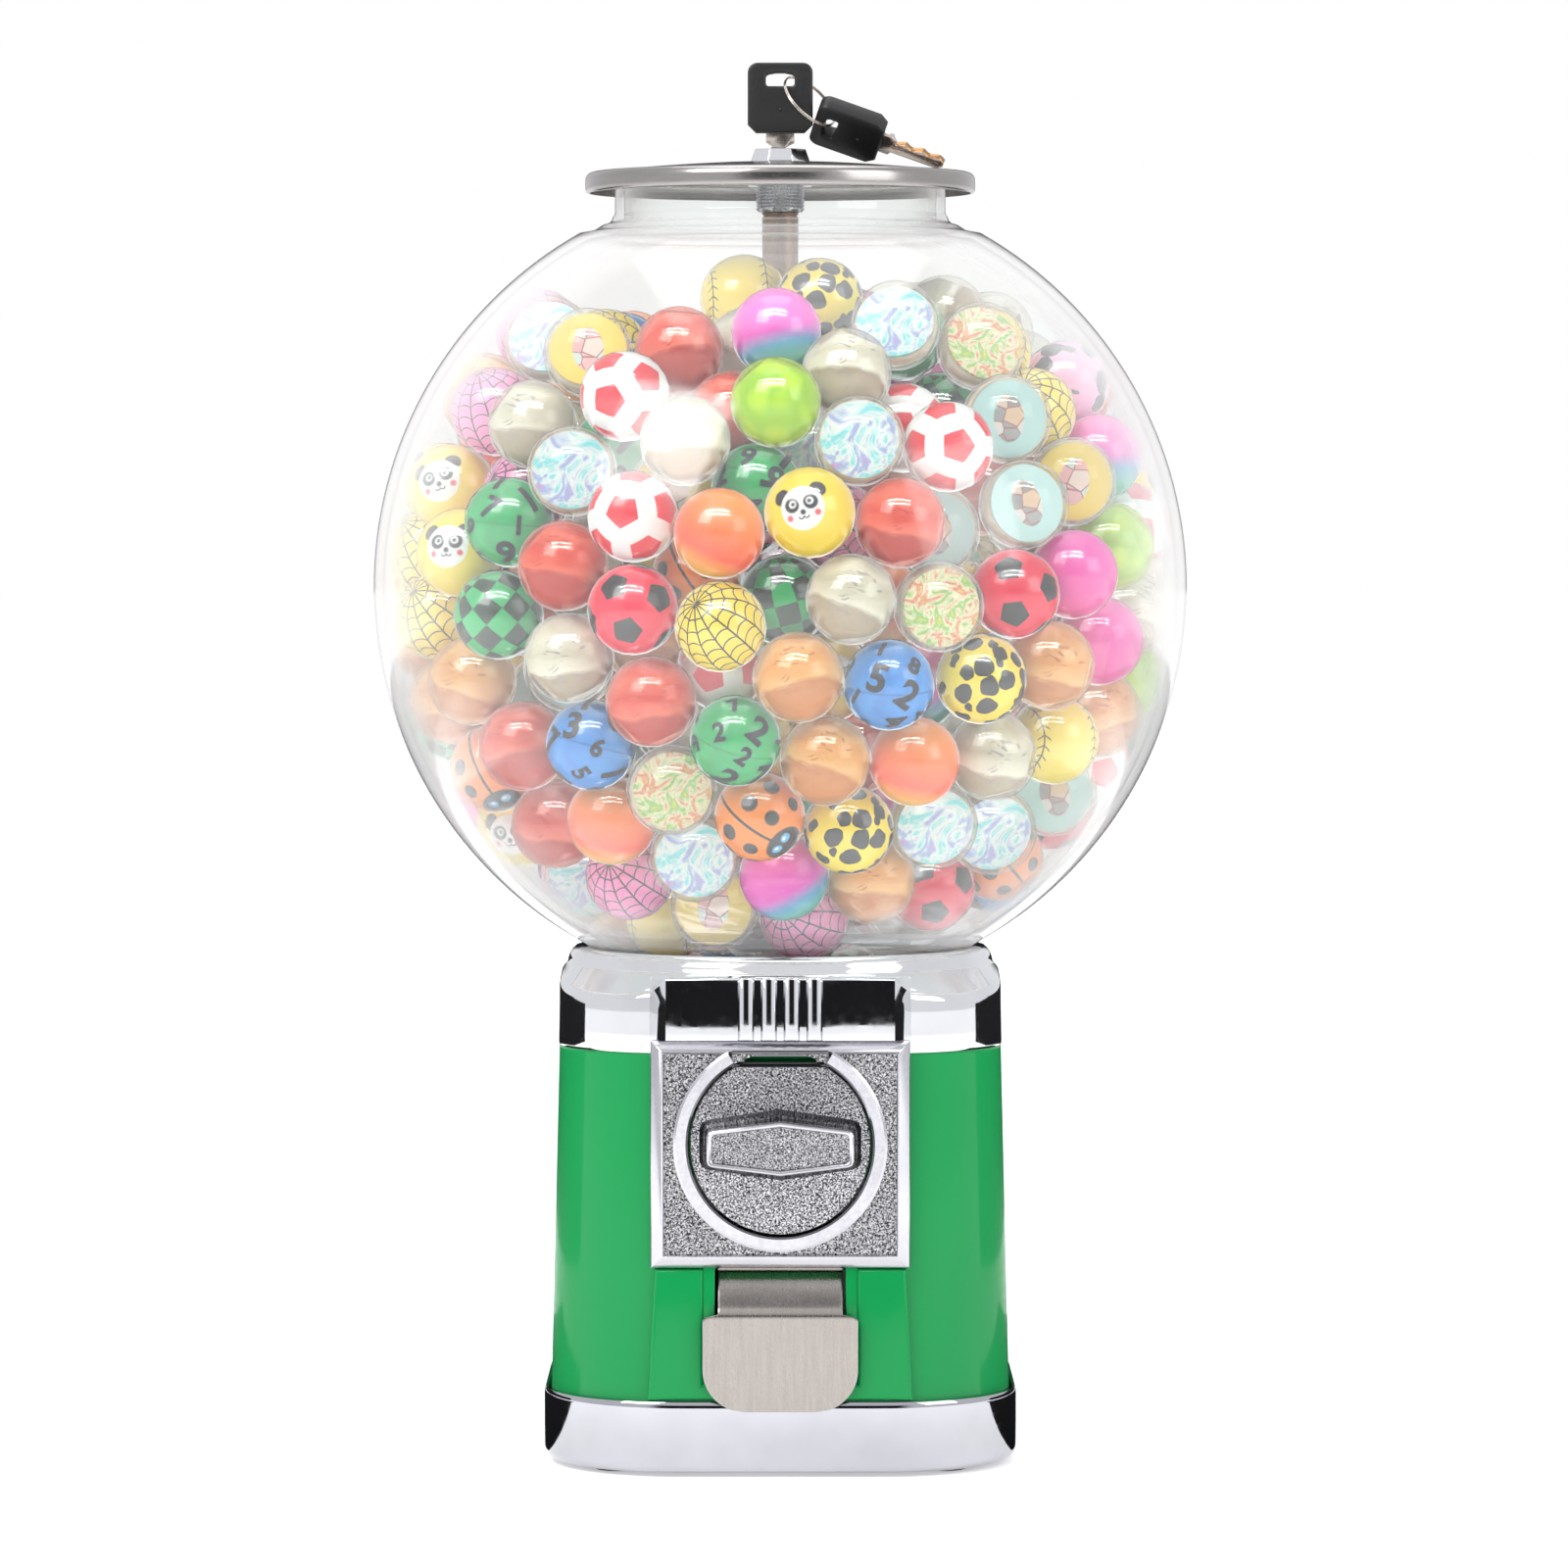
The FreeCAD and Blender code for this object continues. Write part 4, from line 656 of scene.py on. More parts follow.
    def _orange(self, s: Sheet) -> bpy.types.Material:
        """Orange that deepens to coral."""
        x, y, _ = s.parts(s.attribute(LOCAL))
        tone = s.ramp(s.span(s.math("ADD", y, s.math("MULTIPLY", x, 0.4)), -0.9, 0.9),
                      [(0.0, (0.93, 0.52, 0.10)), (0.3, (0.95, 0.12, 0.06)), (1.0, (0.95, 0.30, 0.05))])
        return self._gloss(s, tone, 0.28)

    def _lime(self, s: Sheet) -> bpy.types.Material:
        """Clear lime with glitter and a cut, many-sided face."""
        where = s.attribute(LOCAL)
        facet = s.cells(where, 1.8)
        speck = s.cells(where, 16.0)
        flash = s.span(speck.outputs["Distance"], 0.10, 0.16, 1.0, 0.0)
        tone = s.ramp(s.span(facet.outputs["Distance"], 0.05, 0.6),
                      [(0.0, (0.80, 0.88, 0.10)), (0.6, (0.62, 0.80, 0.08)), (1.0, (0.42, 0.66, 0.10))])
        s.dress(
            Base_Color=s.blend(flash, tone, (0.95, 0.92, 0.5)),
            Roughness=0.25,
            Normal=s.bump(facet.outputs["Distance"], 0.25, 0.002),
            Coat_Weight=0.4,
            Coat_Roughness=0.05,
        )
        return s.material

    def _twotone(self, s: Sheet) -> bpy.types.Material:
        """Magenta above, blue-green below."""
        x, y, _ = s.parts(s.attribute(LOCAL))
        tone = s.ramp(s.span(s.math("ADD", y, s.math("MULTIPLY", x, -0.35)), -0.8, 0.8),
                      [(0.0, (0.05, 0.45, 0.35)), (0.22, (0.06, 0.30, 0.55)), (0.42, (0.75, 0.05, 0.50)),
                       (1.0, (0.90, 0.10, 0.52))])
        return self._gloss(s, tone)

    def _resin(self, s: Sheet, top: Colour, waist: Colour, foot: Colour, ink: Colour) -> bpy.types.Material:
        """Tinted clear resin, a set-in shape, painted light on top and waist, painted shade at the foot."""
        where = s.attribute(LOCAL)
        x, y, _ = s.parts(where)
        drift = s.math("MULTIPLY", s.math("SUBTRACT", s.noise(where, 1.3, 2.0), 0.5), 0.5)
        # painted light and shade: light top, pale waist bands and deeper foot, with a darker line under the
        # lower band
        tone = s.ramp(s.span(s.math("ADD", y, drift), -0.9, 0.9),
                      [(0.0, foot), (0.36, tuple(c * 0.8 for c in foot)), (0.42, waist), (0.62, top),
                       (0.80, waist), (1.0, top)])
        swirl = s.noise(s.stretch(where, (1.0, 2.6, 1.0)), 2.2, 2.0, 0.5, 2.2)
        shape = s.math("MULTIPLY", s.span(swirl, 0.56, 0.62), s.span(s.vector("LENGTH", where), 0.2, 0.3))
        inside = s.span(s.vector("LENGTH", s.whole(x, y, 0.0)), 0.45, 0.62, 0.75, 0.0)
        speck = s.cells(where, 15.0)
        flash = s.math("MULTIPLY", s.span(speck.outputs["Distance"], 0.05, 0.09, 1.0, 0.0), 0.5)
        colour = s.blend(s.math("MULTIPLY", shape, inside), tone, ink)
        s.dress(
            Base_Color=s.blend(flash, colour, (0.95, 0.88, 0.66)),
            Roughness=0.16,
            Coat_Weight=0.4,
            Coat_Roughness=0.04,
        )
        return s.material

    def _amber(self, s: Sheet) -> bpy.types.Material:
        """Amber resin."""
        return self._resin(s, (0.88, 0.56, 0.20), (0.95, 0.78, 0.50), (0.74, 0.36, 0.12), (0.50, 0.17, 0.05))

    def _red_clear(self, s: Sheet) -> bpy.types.Material:
        """Red resin."""
        return self._resin(s, (0.78, 0.16, 0.12), (0.92, 0.52, 0.42), (0.62, 0.08, 0.07), (0.55, 0.10, 0.10))

    def _clear(self, s: Sheet) -> bpy.types.Material:
        """Clear resin with a tan lower half, darker there as painted shade."""
        return self._resin(s, (0.66, 0.65, 0.52), (0.88, 0.86, 0.76), (0.56, 0.46, 0.34), (0.34, 0.30, 0.36))


@dataclass(frozen=True)
class PictureDisc:
    """The coloured disc set inside a clear ball: a generic abstract print."""

    name: str
    ground: Colour
    inks: tuple[Colour, ...]
    scale: float = 2.0
    blocks: bool = False

    def make(self) -> bpy.types.Material:
        """Build the print from soft bands or rounded blocks of colour."""
        s = Sheet(self.name)
        where = s.attribute(LOCAL)
        if self.blocks:
            cell = s.cells(where, self.scale * 1.5, "F1", 0.7)
            tint = s.parts(cell.outputs["Color"])[0]
            x, y, _ = s.parts(where)
            reach = s.vector("LENGTH", s.whole(s.math("MULTIPLY", x, 1.5), y, 0.0))
            inside = s.span(reach, 0.50, 0.54, 1.0, 0.0)
            lines = s.cells(where, self.scale * 1.5, "DISTANCE_TO_EDGE", 0.7)
            edge = s.span(lines.outputs["Distance"], 0.02, 0.04, 1.0, 0.0)
            stops = [(i / max(1, len(self.inks) - 1), ink) for i, ink in enumerate(self.inks)]
            print_ = s.blend(edge, s.ramp(tint, stops), (0.35, 0.10, 0.12))
            colour = s.blend(inside, self.ground, print_)
        else:
            wave = s.noise(where, self.scale, 3.0, 0.6, 1.6)
            stops = [(0.30 + 0.4 * i / max(1, len(self.inks) - 1), ink) for i, ink in enumerate(self.inks)]
            colour = s.ramp(wave, stops)
        s.dress(Base_Color=colour, Roughness=0.3, Coat_Weight=0.4, Coat_Roughness=0.05)
        return s.material


class Palette:
    """All finishes of the machine, made once."""

    def __init__(self) -> None:
        """Make every finish."""
        self.chrome = Plating("mirror_chrome", (0.83, 0.84, 0.86), 0.05, 0.03, 0.02, grain_scale=30.0).make()
        # painted shade: a darker copy of the mirror chrome, toned down against the bright floor the tray
        # mirrors
        self.tray = Plating("tray_chrome", (0.52, 0.52, 0.56), 0.06, 0.03, 0.02, grain_scale=30.0).make()
        self.silver = Plating("satin_silver", (0.60, 0.595, 0.63), 0.18, 0.05, 0.03, grain_scale=50.0).make()
        # both stipples paint their pits near-black as shade
        self.stipple = Stipple("stippled_casting").make()
        self.fine_stipple = Stipple(
            "stippled_grip", (0.64, 0.64, 0.66), (0.06, 0.06, 0.064), 1700.0, 0.0003).make()
        # painted shade: a darkened copy of the chrome for the handle's sides and the coin slot recess
        self.brushed_chrome = Plating(
            "chrome_with_painted_shade", (0.17, 0.17, 0.18), 0.12, 0.05, 0.03, (1, 1, 5), 90.0).make()
        self.green = Enamel("green_enamel", (0.003, 0.270, 0.066), (0.002, 0.245, 0.060)).make()
        self.lid = Plating("lid_steel", (0.38, 0.362, 0.35), 0.22, 0.04, 0.03, (1, 1, 8), 40.0).make()
        self.door = Plating("door_steel", (0.42, 0.39, 0.36), 0.24, 0.06, 0.05, (14, 1, 1), 60.0).make()
        self.zinc = Plating("zinc_steel", (0.60, 0.61, 0.63), 0.26, 0.06, 0.05, grain_scale=160.0).make()
        self.cast = Plating("cast_alloy", (0.56, 0.57, 0.59), 0.42, 0.08, 0.25, grain_scale=260.0).make()
        self.nickel = Plating("bronzed_nickel", (0.20, 0.115, 0.07), 0.30, 0.05, 0.04, (3, 3, 1), 80.0).make()
        self.dark = Plating("blackened_steel", (0.07, 0.07, 0.075), 0.30, 0.05, 0.05, grain_scale=120.0).make()
        self.key = Plating("key_nickel", (0.66, 0.60, 0.54), 0.20, 0.05, 0.04, (1, 1, 6), 120.0).make()
        self.cut = Plating("key_cut_brass", (0.42, 0.24, 0.12), 0.34, 0.06, 0.10, (1, 1, 6), 300.0).make()
        self.black = Moulding("black_plastic", (0.012, 0.012, 0.013), 0.38, 0.06, 1400.0).make()
        self.white = Moulding("white_plastic", (0.80, 0.80, 0.77), 0.40, 0.05, 700.0).make()
        self.rubber = Moulding("black_rubber", (0.020, 0.020, 0.020), 0.75, 0.15, 1800.0).make()
        self.gasket = Moulding("pale_gasket", (0.62, 0.63, 0.62), 0.55, 0.08, 1200.0).make()
        # the clear walls below carry the painted edge glare and painted dark silhouette line of ClearWall
        self.globe = ClearWall("clear_globe").make()
        self.tube = ClearWall("clear_sleeve", 0.16, 0.4, 1.5, 0.8).make()
        # the skins' edge veils, tinted with their body colours, are a painted glow round each ball's rim
        self.resin = self._skin("clear_resin", 0.04, 0.30, 3.0, (0.97, 0.95, 0.90), (0.80, 0.74, 0.62))
        self.amber_skin = self._skin("amber_skin", 0.10, 0.45, 2.0, (1.0, 0.80, 0.55), (0.80, 0.48, 0.24))
        self.red_skin = self._skin("red_skin", 0.10, 0.50, 2.0, (1.0, 0.55, 0.45), (0.78, 0.16, 0.12))
        self.lime_skin = self._skin("lime_skin", 0.10, 0.45, 2.0, (0.88, 1.0, 0.45), (0.62, 0.80, 0.10))

    @staticmethod
    def _skin(
        name: str, veil: float, edge: float, power: float, tint: Colour, body: Colour
    ) -> bpy.types.Material:
        """The outer skin of a see-through ball, with a painted glow round its rim."""
        return ClearWall(name, veil, edge, power, blur=0.05, tint=tint, body=body).make()


# --- mesh makers ---------------------------------------------------------


def finish_piece(
    bm: bmesh.types.BMesh,
    name: str,
    body: str,
    materials: Iterable[bpy.types.Material],
    replaces: Sequence[str] = (),
    smooth: Optional[float] = 35.0,
) -> bpy.types.Object:
    """Turn a bmesh into a piece of the machine.

    Args:
        bm: the mesh, in metres and in place; it is freed.
        name: the piece's name.
        body: the body it rides on.
        materials: its materials, in slot order.
        replaces: the CAD nodes it stands for.
        smooth: the angle in degrees above which an edge stays sharp, or None for flat.

    Returns:
        The new object.
    """
    mesh = bpy.data.meshes.new(name)
    if smooth is not None:
        limit = math.radians(smooth)
        for face in bm.faces:
            face.smooth = True
        for edge in bm.edges:
            edge.smooth = not (edge.is_manifold and edge.calc_face_angle(0.0) > limit)
    bm.to_mesh(mesh)
    bm.free()
    for material in materials:
        mesh.materials.append(material)
    piece = bpy.data.objects.new(name, mesh)
    bpy.context.scene.collection.objects.link(piece)
    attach(piece, body)
    if replaces:
        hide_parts(*replaces)
    log.info("%s: %d faces", name, len(mesh.polygons))
    return piece


def bevel_edges(bm: bmesh.types.BMesh, edges: Iterable, width: float, segments: int = 2) -> None:
    """Round a set of edges.

    Args:
        bm: the mesh.
        edges: the edges to round.
        width: the rounding's width in metres.
        segments: faces across it.
    """
    bmesh.ops.bevel(
        bm, geom=list(edges), offset=width, offset_type="OFFSET", segments=segments,
        profile=0.5, affect="EDGES", clamp_overlap=True, material=-1,
    )


def sharp_edges(bm: bmesh.types.BMesh, degrees: float) -> list:
    """The edges whose faces meet at more than an angle."""
    return [e for e in bm.edges if e.is_manifold and e.calc_face_angle(0.0) > math.radians(degrees)]


def lathe(bm: bmesh.types.BMesh, profile: Sequence[Point2], steps: int = 96) -> list:
    """Spin an (r, z) line in millimetres about the Z axis.

    Args:
        bm: the mesh to add to.
        profile: the line; its ends close themselves where r is 0.
        steps: faces around.

    Returns:
        The new faces.
    """
    before = set(bm.faces)
    verts = [bm.verts.new((r * MM, 0.0, z * MM)) for r, z in profile]
    edges = [bm.edges.new(pair) for pair in zip(verts, verts[1:])]
    bmesh.ops.spin(
        bm, geom=verts + edges, cent=(0, 0, 0), axis=(0, 0, 1), angle=2 * math.pi,
        steps=steps, use_merge=True, use_normal_flip=False,
    )
    bmesh.ops.remove_doubles(bm, verts=list(bm.verts), dist=1e-7)
    new = [f for f in bm.faces if f not in before]
    bmesh.ops.recalc_face_normals(bm, faces=new)
    return new


def slab(bm: bmesh.types.BMesh, outline: Sequence[Point2], y0: float, y1: float) -> list:
    """A flat plate: an (x, z) outline in millimetres, from y0 to y1.

    Args:
        bm: the mesh to add to.
        outline: the plate's outline.
        y0: the front.
        y1: the back.

    Returns:
        The plate's vertices.
    """
    verts = [bm.verts.new((x * MM, y0 * MM, z * MM)) for x, z in outline]
    face = bm.faces.new(verts)
    grown = bmesh.ops.extrude_face_region(bm, geom=[face])
    moved = [v for v in grown["geom"] if isinstance(v, bmesh.types.BMVert)]
    bmesh.ops.translate(bm, vec=(0, (y1 - y0) * MM, 0), verts=moved)
    verts += moved
    around = {f for v in verts for f in v.link_faces}
    bmesh.ops.recalc_face_normals(bm, faces=list(around))
    return verts


def bar(bm: bmesh.types.BMesh, low: Sequence[float], high: Sequence[float]) -> list:
    """A box between two corners in millimetres; returns its vertices."""
    made = bmesh.ops.create_cube(bm, size=1.0)["verts"]
    size = [(b - a) * MM for a, b in zip(low, high)]
    centre = [(a + b) / 2.0 * MM for a, b in zip(low, high)]
    bmesh.ops.scale(bm, vec=size, verts=made)
    bmesh.ops.translate(bm, vec=centre, verts=made)
    return made


@dataclass(frozen=True)
class RoundedSquare:
    """A rounded square outline with fixed stations, so that rings of any size match."""

    stops: tuple[float, ...] = (-23.15, -8.0, 8.0, 23.15)
    steps: int = 14

    def points(self, width: float, radius: float) -> list[Point2]:
        """The outline's points in millimetres, anticlockwise from the front left.

        Args:
            width: across the flats.
            radius: of the corners.

        Returns:
            The (x, y) points.
        """
        a = width / 2.0
        out: list[Point2] = []
        for side in range(4):
            c, s = math.cos(side * math.pi / 2.0), math.sin(side * math.pi / 2.0)
            row = [(x, -a) for x in self.stops]
            for k in range(self.steps + 1):
                t = -math.pi / 2.0 + math.pi / 2.0 * k / self.steps
                row.append((a - radius + radius * math.cos(t), -a + radius + radius * math.sin(t)))
            out += [(x * c - y * s, x * s + y * c) for x, y in row]
        return out


class RingSkin:
    """A skin grown ring by ring from a closed loop of points."""

    def __init__(self, points: Sequence[Sequence[float]]) -> None:
        """Lay the first ring.

        Args:
            points: the ring in millimetres, (x, y, z).
        """
        self.bm = bmesh.new()
        self.ring = [self.bm.verts.new(Vector(p) * MM) for p in points]
        loop = self.ring + self.ring[:1]
        self.edges = [self.bm.edges.new(pair) for pair in zip(loop, loop[1:])]
        self.rows: list[list] = []

    def grow(self, points: Sequence[Sequence[float]]) -> "RingSkin":
        """Extrude the last ring and move it to new points."""
        made = bmesh.ops.extrude_edge_only(self.bm, edges=self.edges)["geom"]
        fresh = {v for v in made if isinstance(v, bmesh.types.BMVert)}
        ring = []
        for old in self.ring:
            twin = next(e.other_vert(old) for e in old.link_edges if e.other_vert(old) in fresh)
            ring.append(twin)
        for vert, point in zip(ring, points):
            vert.co = Vector(point) * MM
        self.rows.append([f for f in made if isinstance(f, bmesh.types.BMFace)])
        self.ring = ring
        loop = ring + ring[:1]
        self.edges = [self.bm.edges.get(pair) for pair in zip(loop, loop[1:])]
        return self

    def cap(self) -> "RingSkin":
        """Close the last ring with a fan."""
        bmesh.ops.contextual_create(self.bm, geom=self.edges)
        return self

    def done(self) -> bmesh.types.BMesh:
        """Point the faces outwards and hand over the mesh."""
        bmesh.ops.recalc_face_normals(self.bm, faces=list(self.bm.faces))
        return self.bm


# --- the machine's sub-assemblies ---------------------------------------


@dataclass
class BaseTray:
    """The chromed tray the body stands in."""

    palette: Palette
    outline: RoundedSquare = field(default_factory=RoundedSquare)
    floor_under: float = 1.5
    floor_over: float = 4.1
    bore: float = 2.8
    rings: tuple[tuple[float, float, float], ...] = (
        (163.0, 46.5, 1.5), (165.4, 47.7, 1.8), (167.6, 48.8, 2.6), (169.2, 49.6, 3.8),
        (170.0, 50.0, 5.4), (170.0, 50.0, 24.4), (169.9, 49.9, 25.6), (169.5, 49.7, 26.4), (168.9, 49.4, 26.9),
        (168.2, 49.1, 27.0), (167.5, 48.8, 26.8), (167.0, 48.5, 26.2), (166.8, 48.4, 25.0), (166.8, 48.4, 4.1))

    def _round(self, r: float, z: float) -> list:
        """A round ring with the tray's stations."""
        out = []
        for x, y in self.outline.points(170.0, 50.0):
            k = r / math.hypot(x, y)
            out.append((x * k, y * k, z))
        return out

    def build(self) -> None:
        """Grow the tray from its bore out along its underside, up and back over its floor."""
        skin = RingSkin(self._round(self.bore, 8.0))
        for r, z in ((19.2, 8.0), (19.9, 7.6), (22.2, 2.0), (23.0, self.floor_under)):
            skin.grow(self._round(r, z))
        for width, radius, z in self.rings:
            skin.grow([(x, y, z) for x, y in self.outline.points(width, radius)])
        for r, z in ((25.6, self.floor_over), (24.9, 4.5), (22.2, 10.1), (21.6, 10.5), (self.bore, 10.5),
                     (self.bore, 8.0)):
            skin.grow(self._round(r, z))
        bmesh.ops.remove_doubles(skin.bm, verts=list(skin.bm.verts), dist=1e-6)
        finish_piece(skin.done(), "base_tray_shell", "cabinet", [self.palette.tray], ["base_tray"])


@dataclass
class Body:
    """The green enamelled casting, with its chute opening and raised panel."""

    palette: Palette
    low: float = 4.3
    high: float = 150.0
    width_low: float = 166.0
    width_high: float = 159.0
    radius: float = 48.0
    wall: float = 3.0
    opening: tuple[float, float, float] = (23.15, 33.5, 74.2)
    outline: RoundedSquare = field(
        default_factory=lambda: RoundedSquare(stops=(-30.5, -23.15, 23.15, 30.5)))

    def _width(self, z: float) -> float:
        """Across the flats at a height."""
        t = (z - self.low) / (self.high - self.low)
        return self.width_low + (self.width_high - self.width_low) * t

    def _ring(self, z: float, inset: float = 0.0) -> list:
        """A ring of the shell at a height."""
        return [(x, y, z) for x, y in self.outline.points(self._width(z) - 2 * inset, self.radius - inset)]

    def build(self) -> None:
        """Grow the wall, open its windows, thicken it and add the panel."""
        half, z0, z1 = self.opening
        heights = (self.low, 16.0, z0, 54.0, z1, 80.0, 112.0, 145.8, self.high - 0.6, self.high)
        skin = RingSkin(self._ring(self.low))
        for z in heights[1:]:
            skin.grow(self._ring(z, 0.4 if z == self.high else 0.0))
        skin.grow(self._ring(self.high, 4.0))
        bm = skin.done()
        gone = []
        for face in bm.faces:
            c = face.calc_center_median() / MM
            if c.y < -70 and abs(c.x) < half and z0 < c.z < z1:
                gone.append(face)
            if c.y < -70 and abs(c.x) < 30.5 and 80.0 < c.z < self.high - 0.6:
                gone.append(face)
        bmesh.ops.delete(bm, geom=gone, context="FACES")
        bmesh.ops.solidify(bm, geom=list(bm.faces), thickness=self.wall * MM)
        self._panel(bm)
        self._cheeks(bm)
        finish_piece(bm, "body_casting", "cabinet", [self.palette.green], ["body_shell"], 30.0)

    def _panel(self, bm: bmesh.types.BMesh) -> None:
        """The raised panel around the chute: four beveled bars in one frame."""
        half, z0, z1 = self.opening
        rows = ((27.6, 47.0), (z0, 46.6), (z1, 44.5))
        half = half + 4.05
        grid = []
        for z, wide in rows:
            grid.append([bm.verts.new((x * MM, -84.4 * MM, z * MM)) for x in (-wide, -half, half, wide)])
        faces = []
        for i in range(2):
            for j in range(3):
                if i == 1 and j == 1:
                    continue
                faces.append(bm.faces.new((grid[i][j], grid[i][j + 1], grid[i + 1][j + 1], grid[i + 1][j])))
        grown = bmesh.ops.extrude_face_region(bm, geom=faces)
        moved = [v for v in grown["geom"] if isinstance(v, bmesh.types.BMVert)]
        bmesh.ops.translate(bm, vec=(0, 4.4 * MM, 0), verts=moved)
        verts = [v for row in grid for v in row]
        around = {f for v in verts for f in v.link_faces}
        bmesh.ops.recalc_face_normals(bm, faces=list(around))
        rim = [e for e in {e for v in verts for e in v.link_edges}
               if e.is_manifold and e.calc_face_angle(0.0) > 0.7
               and all(v.co.y < -84.3 * MM for v in e.verts)]
        bevel_edges(bm, rim, 1.5 * MM, 4)

    def _cheeks(self, bm: bmesh.types.BMesh) -> None:
        """The two side walls inside the opening that carry the door's pin."""
        half, z0, _ = self.opening
        for side in (-1, 1):
            xs = sorted((side * half, side * (half + 4.2)))
            made = bar(bm, (xs[0], -83.4, z0 - 0.2), (xs[1], -70.2, 76.4))
            bevel_edges(bm, {e for v in made for e in v.link_edges}, 0.4 * MM, 2)


@dataclass
class Collar:
    """The chromed wheel housing cover with its raised lip and fluted boss."""

    palette: Palette
    width: float = 159.6
    radius: float = 48.0
    outline: RoundedSquare = field(
        default_factory=lambda: RoundedSquare(stops=(-30.0, -23.15, -8.0, 8.0, 23.15, 30.0), steps=18))

    @staticmethod
    def _slope(r: float) -> float:
        """Height of the sloping top at a radius."""
        return 177.2 - (r - 79.0) * 0.5 - 0.0018 * (r - 79.0) ** 2

    def _ring(self, r: float, z: float) -> list:
        """A round ring with the square's stations."""
        out = []
        for x, y in self.outline.points(self.width, self.radius):
            k = r / math.hypot(x, y)
            out.append((x * k, y * k, z))
        return out

    def _edge(self, inset: float, drop: float) -> list:
        """A ring along the wall's top edge."""
        out = []
        for x, y in self.outline.points(self.width - 2 * inset - 0.6, self.radius - inset):
            out.append((x, y, self._slope(math.hypot(x, y)) - drop))
        return out

    def _wall(self, z: float, inset: float = 0.0) -> list:
        """A ring of the wall at a height."""
        width = self.width - 1.6 * (z - 150.0) / 40.0 - 2 * inset
        return [(x, y, z) for x, y in self.outline.points(width, self.radius - inset)]

    def build(self) -> None:
        """Grow the cover from the globe's seat outwards and down."""
        skin = RingSkin(self._ring(67.7, 175.7))
        for r, z in ((67.7, 178.0), (71.0, 178.0), (71.0, 183.5), (71.6, 184.0), (73.4, 184.0), (74.8, 183.6),
                     (75.9, 182.8), (76.8, 181.5), (77.3, 179.9), (77.6, 178.4)):
            skin.grow(self._ring(r, z))
        skin.grow(self._lip())
        skin.grow(self._edge(2.0, 0.05))
        skin.grow(self._edge(1.0, 0.35))
        skin.grow(self._edge(0.35, 1.0))
        skin.grow(self._edge(0.05, 2.1))
        for z in (164.0, 157.0, 151.2):
            skin.grow(self._wall(z))
        skin.grow(self._wall(150.4, 0.2))
        skin.grow(self._wall(150.0, 0.7))
        skin.grow(self._wall(150.0, 3.0))
        skin.grow(self._wall(162.0, 3.0))
        inner = []
        for x, y, _ in self._wall(162.0, 3.0):
            inner.append((x, y, self._slope(math.hypot(x, y)) - 4.0))
        skin.grow(inner)
        skin.grow(self._ring(74.6, 175.0))
        skin.grow(self._ring(67.7, 175.7))
        bmesh.ops.remove_doubles(skin.bm, verts=list(skin.bm.verts), dist=1e-6)
        bm = skin.done()
        self._boss(bm)
        finish_piece(bm, "collar_cover", "cabinet", [self.palette.chrome], ["collar"], 40.0)

    def _lip(self) -> list:
        """The ring where the lip's foot meets the slope."""
        return self._ring(78.2, self._slope(78.2))

    def _boss(self, bm: bmesh.types.BMesh) -> None:
        """The boss over the coin plate, with four flutes between five ribs."""
        front = -89.6
        plan: list[Point2] = [(-46.2, -77.0), (-46.2, -80.6), (-40.4, front)]
        pitch = 8.05
        for k in range(4):
            centre = (k - 1.5) * pitch
            plan.append((centre - 3.35, front))
            for j in range(0, 9):
                a = math.pi * j / 8.0
                plan.append((centre - 2.85 * math.cos(a), front + 2.3 * math.sin(a) ** 0.7))
            plan.append((centre + 3.35, front))
        plan += [(40.4, front), (46.2, -80.6), (46.2, -77.0)]
        verts = [bm.verts.new((x * MM, y * MM, 155.6 * MM)) for x, y in plan]
        face = bm.faces.new(verts)
        grown = bmesh.ops.extrude_face_region(bm, geom=[face])
        moved = [v for v in grown["geom"] if isinstance(v, bmesh.types.BMVert)]
        bmesh.ops.translate(bm, vec=(0, 0, 21.9 * MM), verts=moved)
        around = {f for v in verts + moved for f in v.link_faces}
        bmesh.ops.recalc_face_normals(bm, faces=list(around))
        top = [e for e in {e for v in moved for e in v.link_edges}
               if all(v in moved for v in e.verts) and min(v.co.y for v in e.verts) < -78 * MM]
        bevel_edges(bm, top, 1.1 * MM, 3)
        for v in {v for f in bm.faces for v in f.verts}:
            x, y, z = v.co / MM
            if y < -79.0 and z > 165.0 and abs(x) > 40.2:
                v.co.z -= (abs(x) - 40.2) * 0.9 * MM


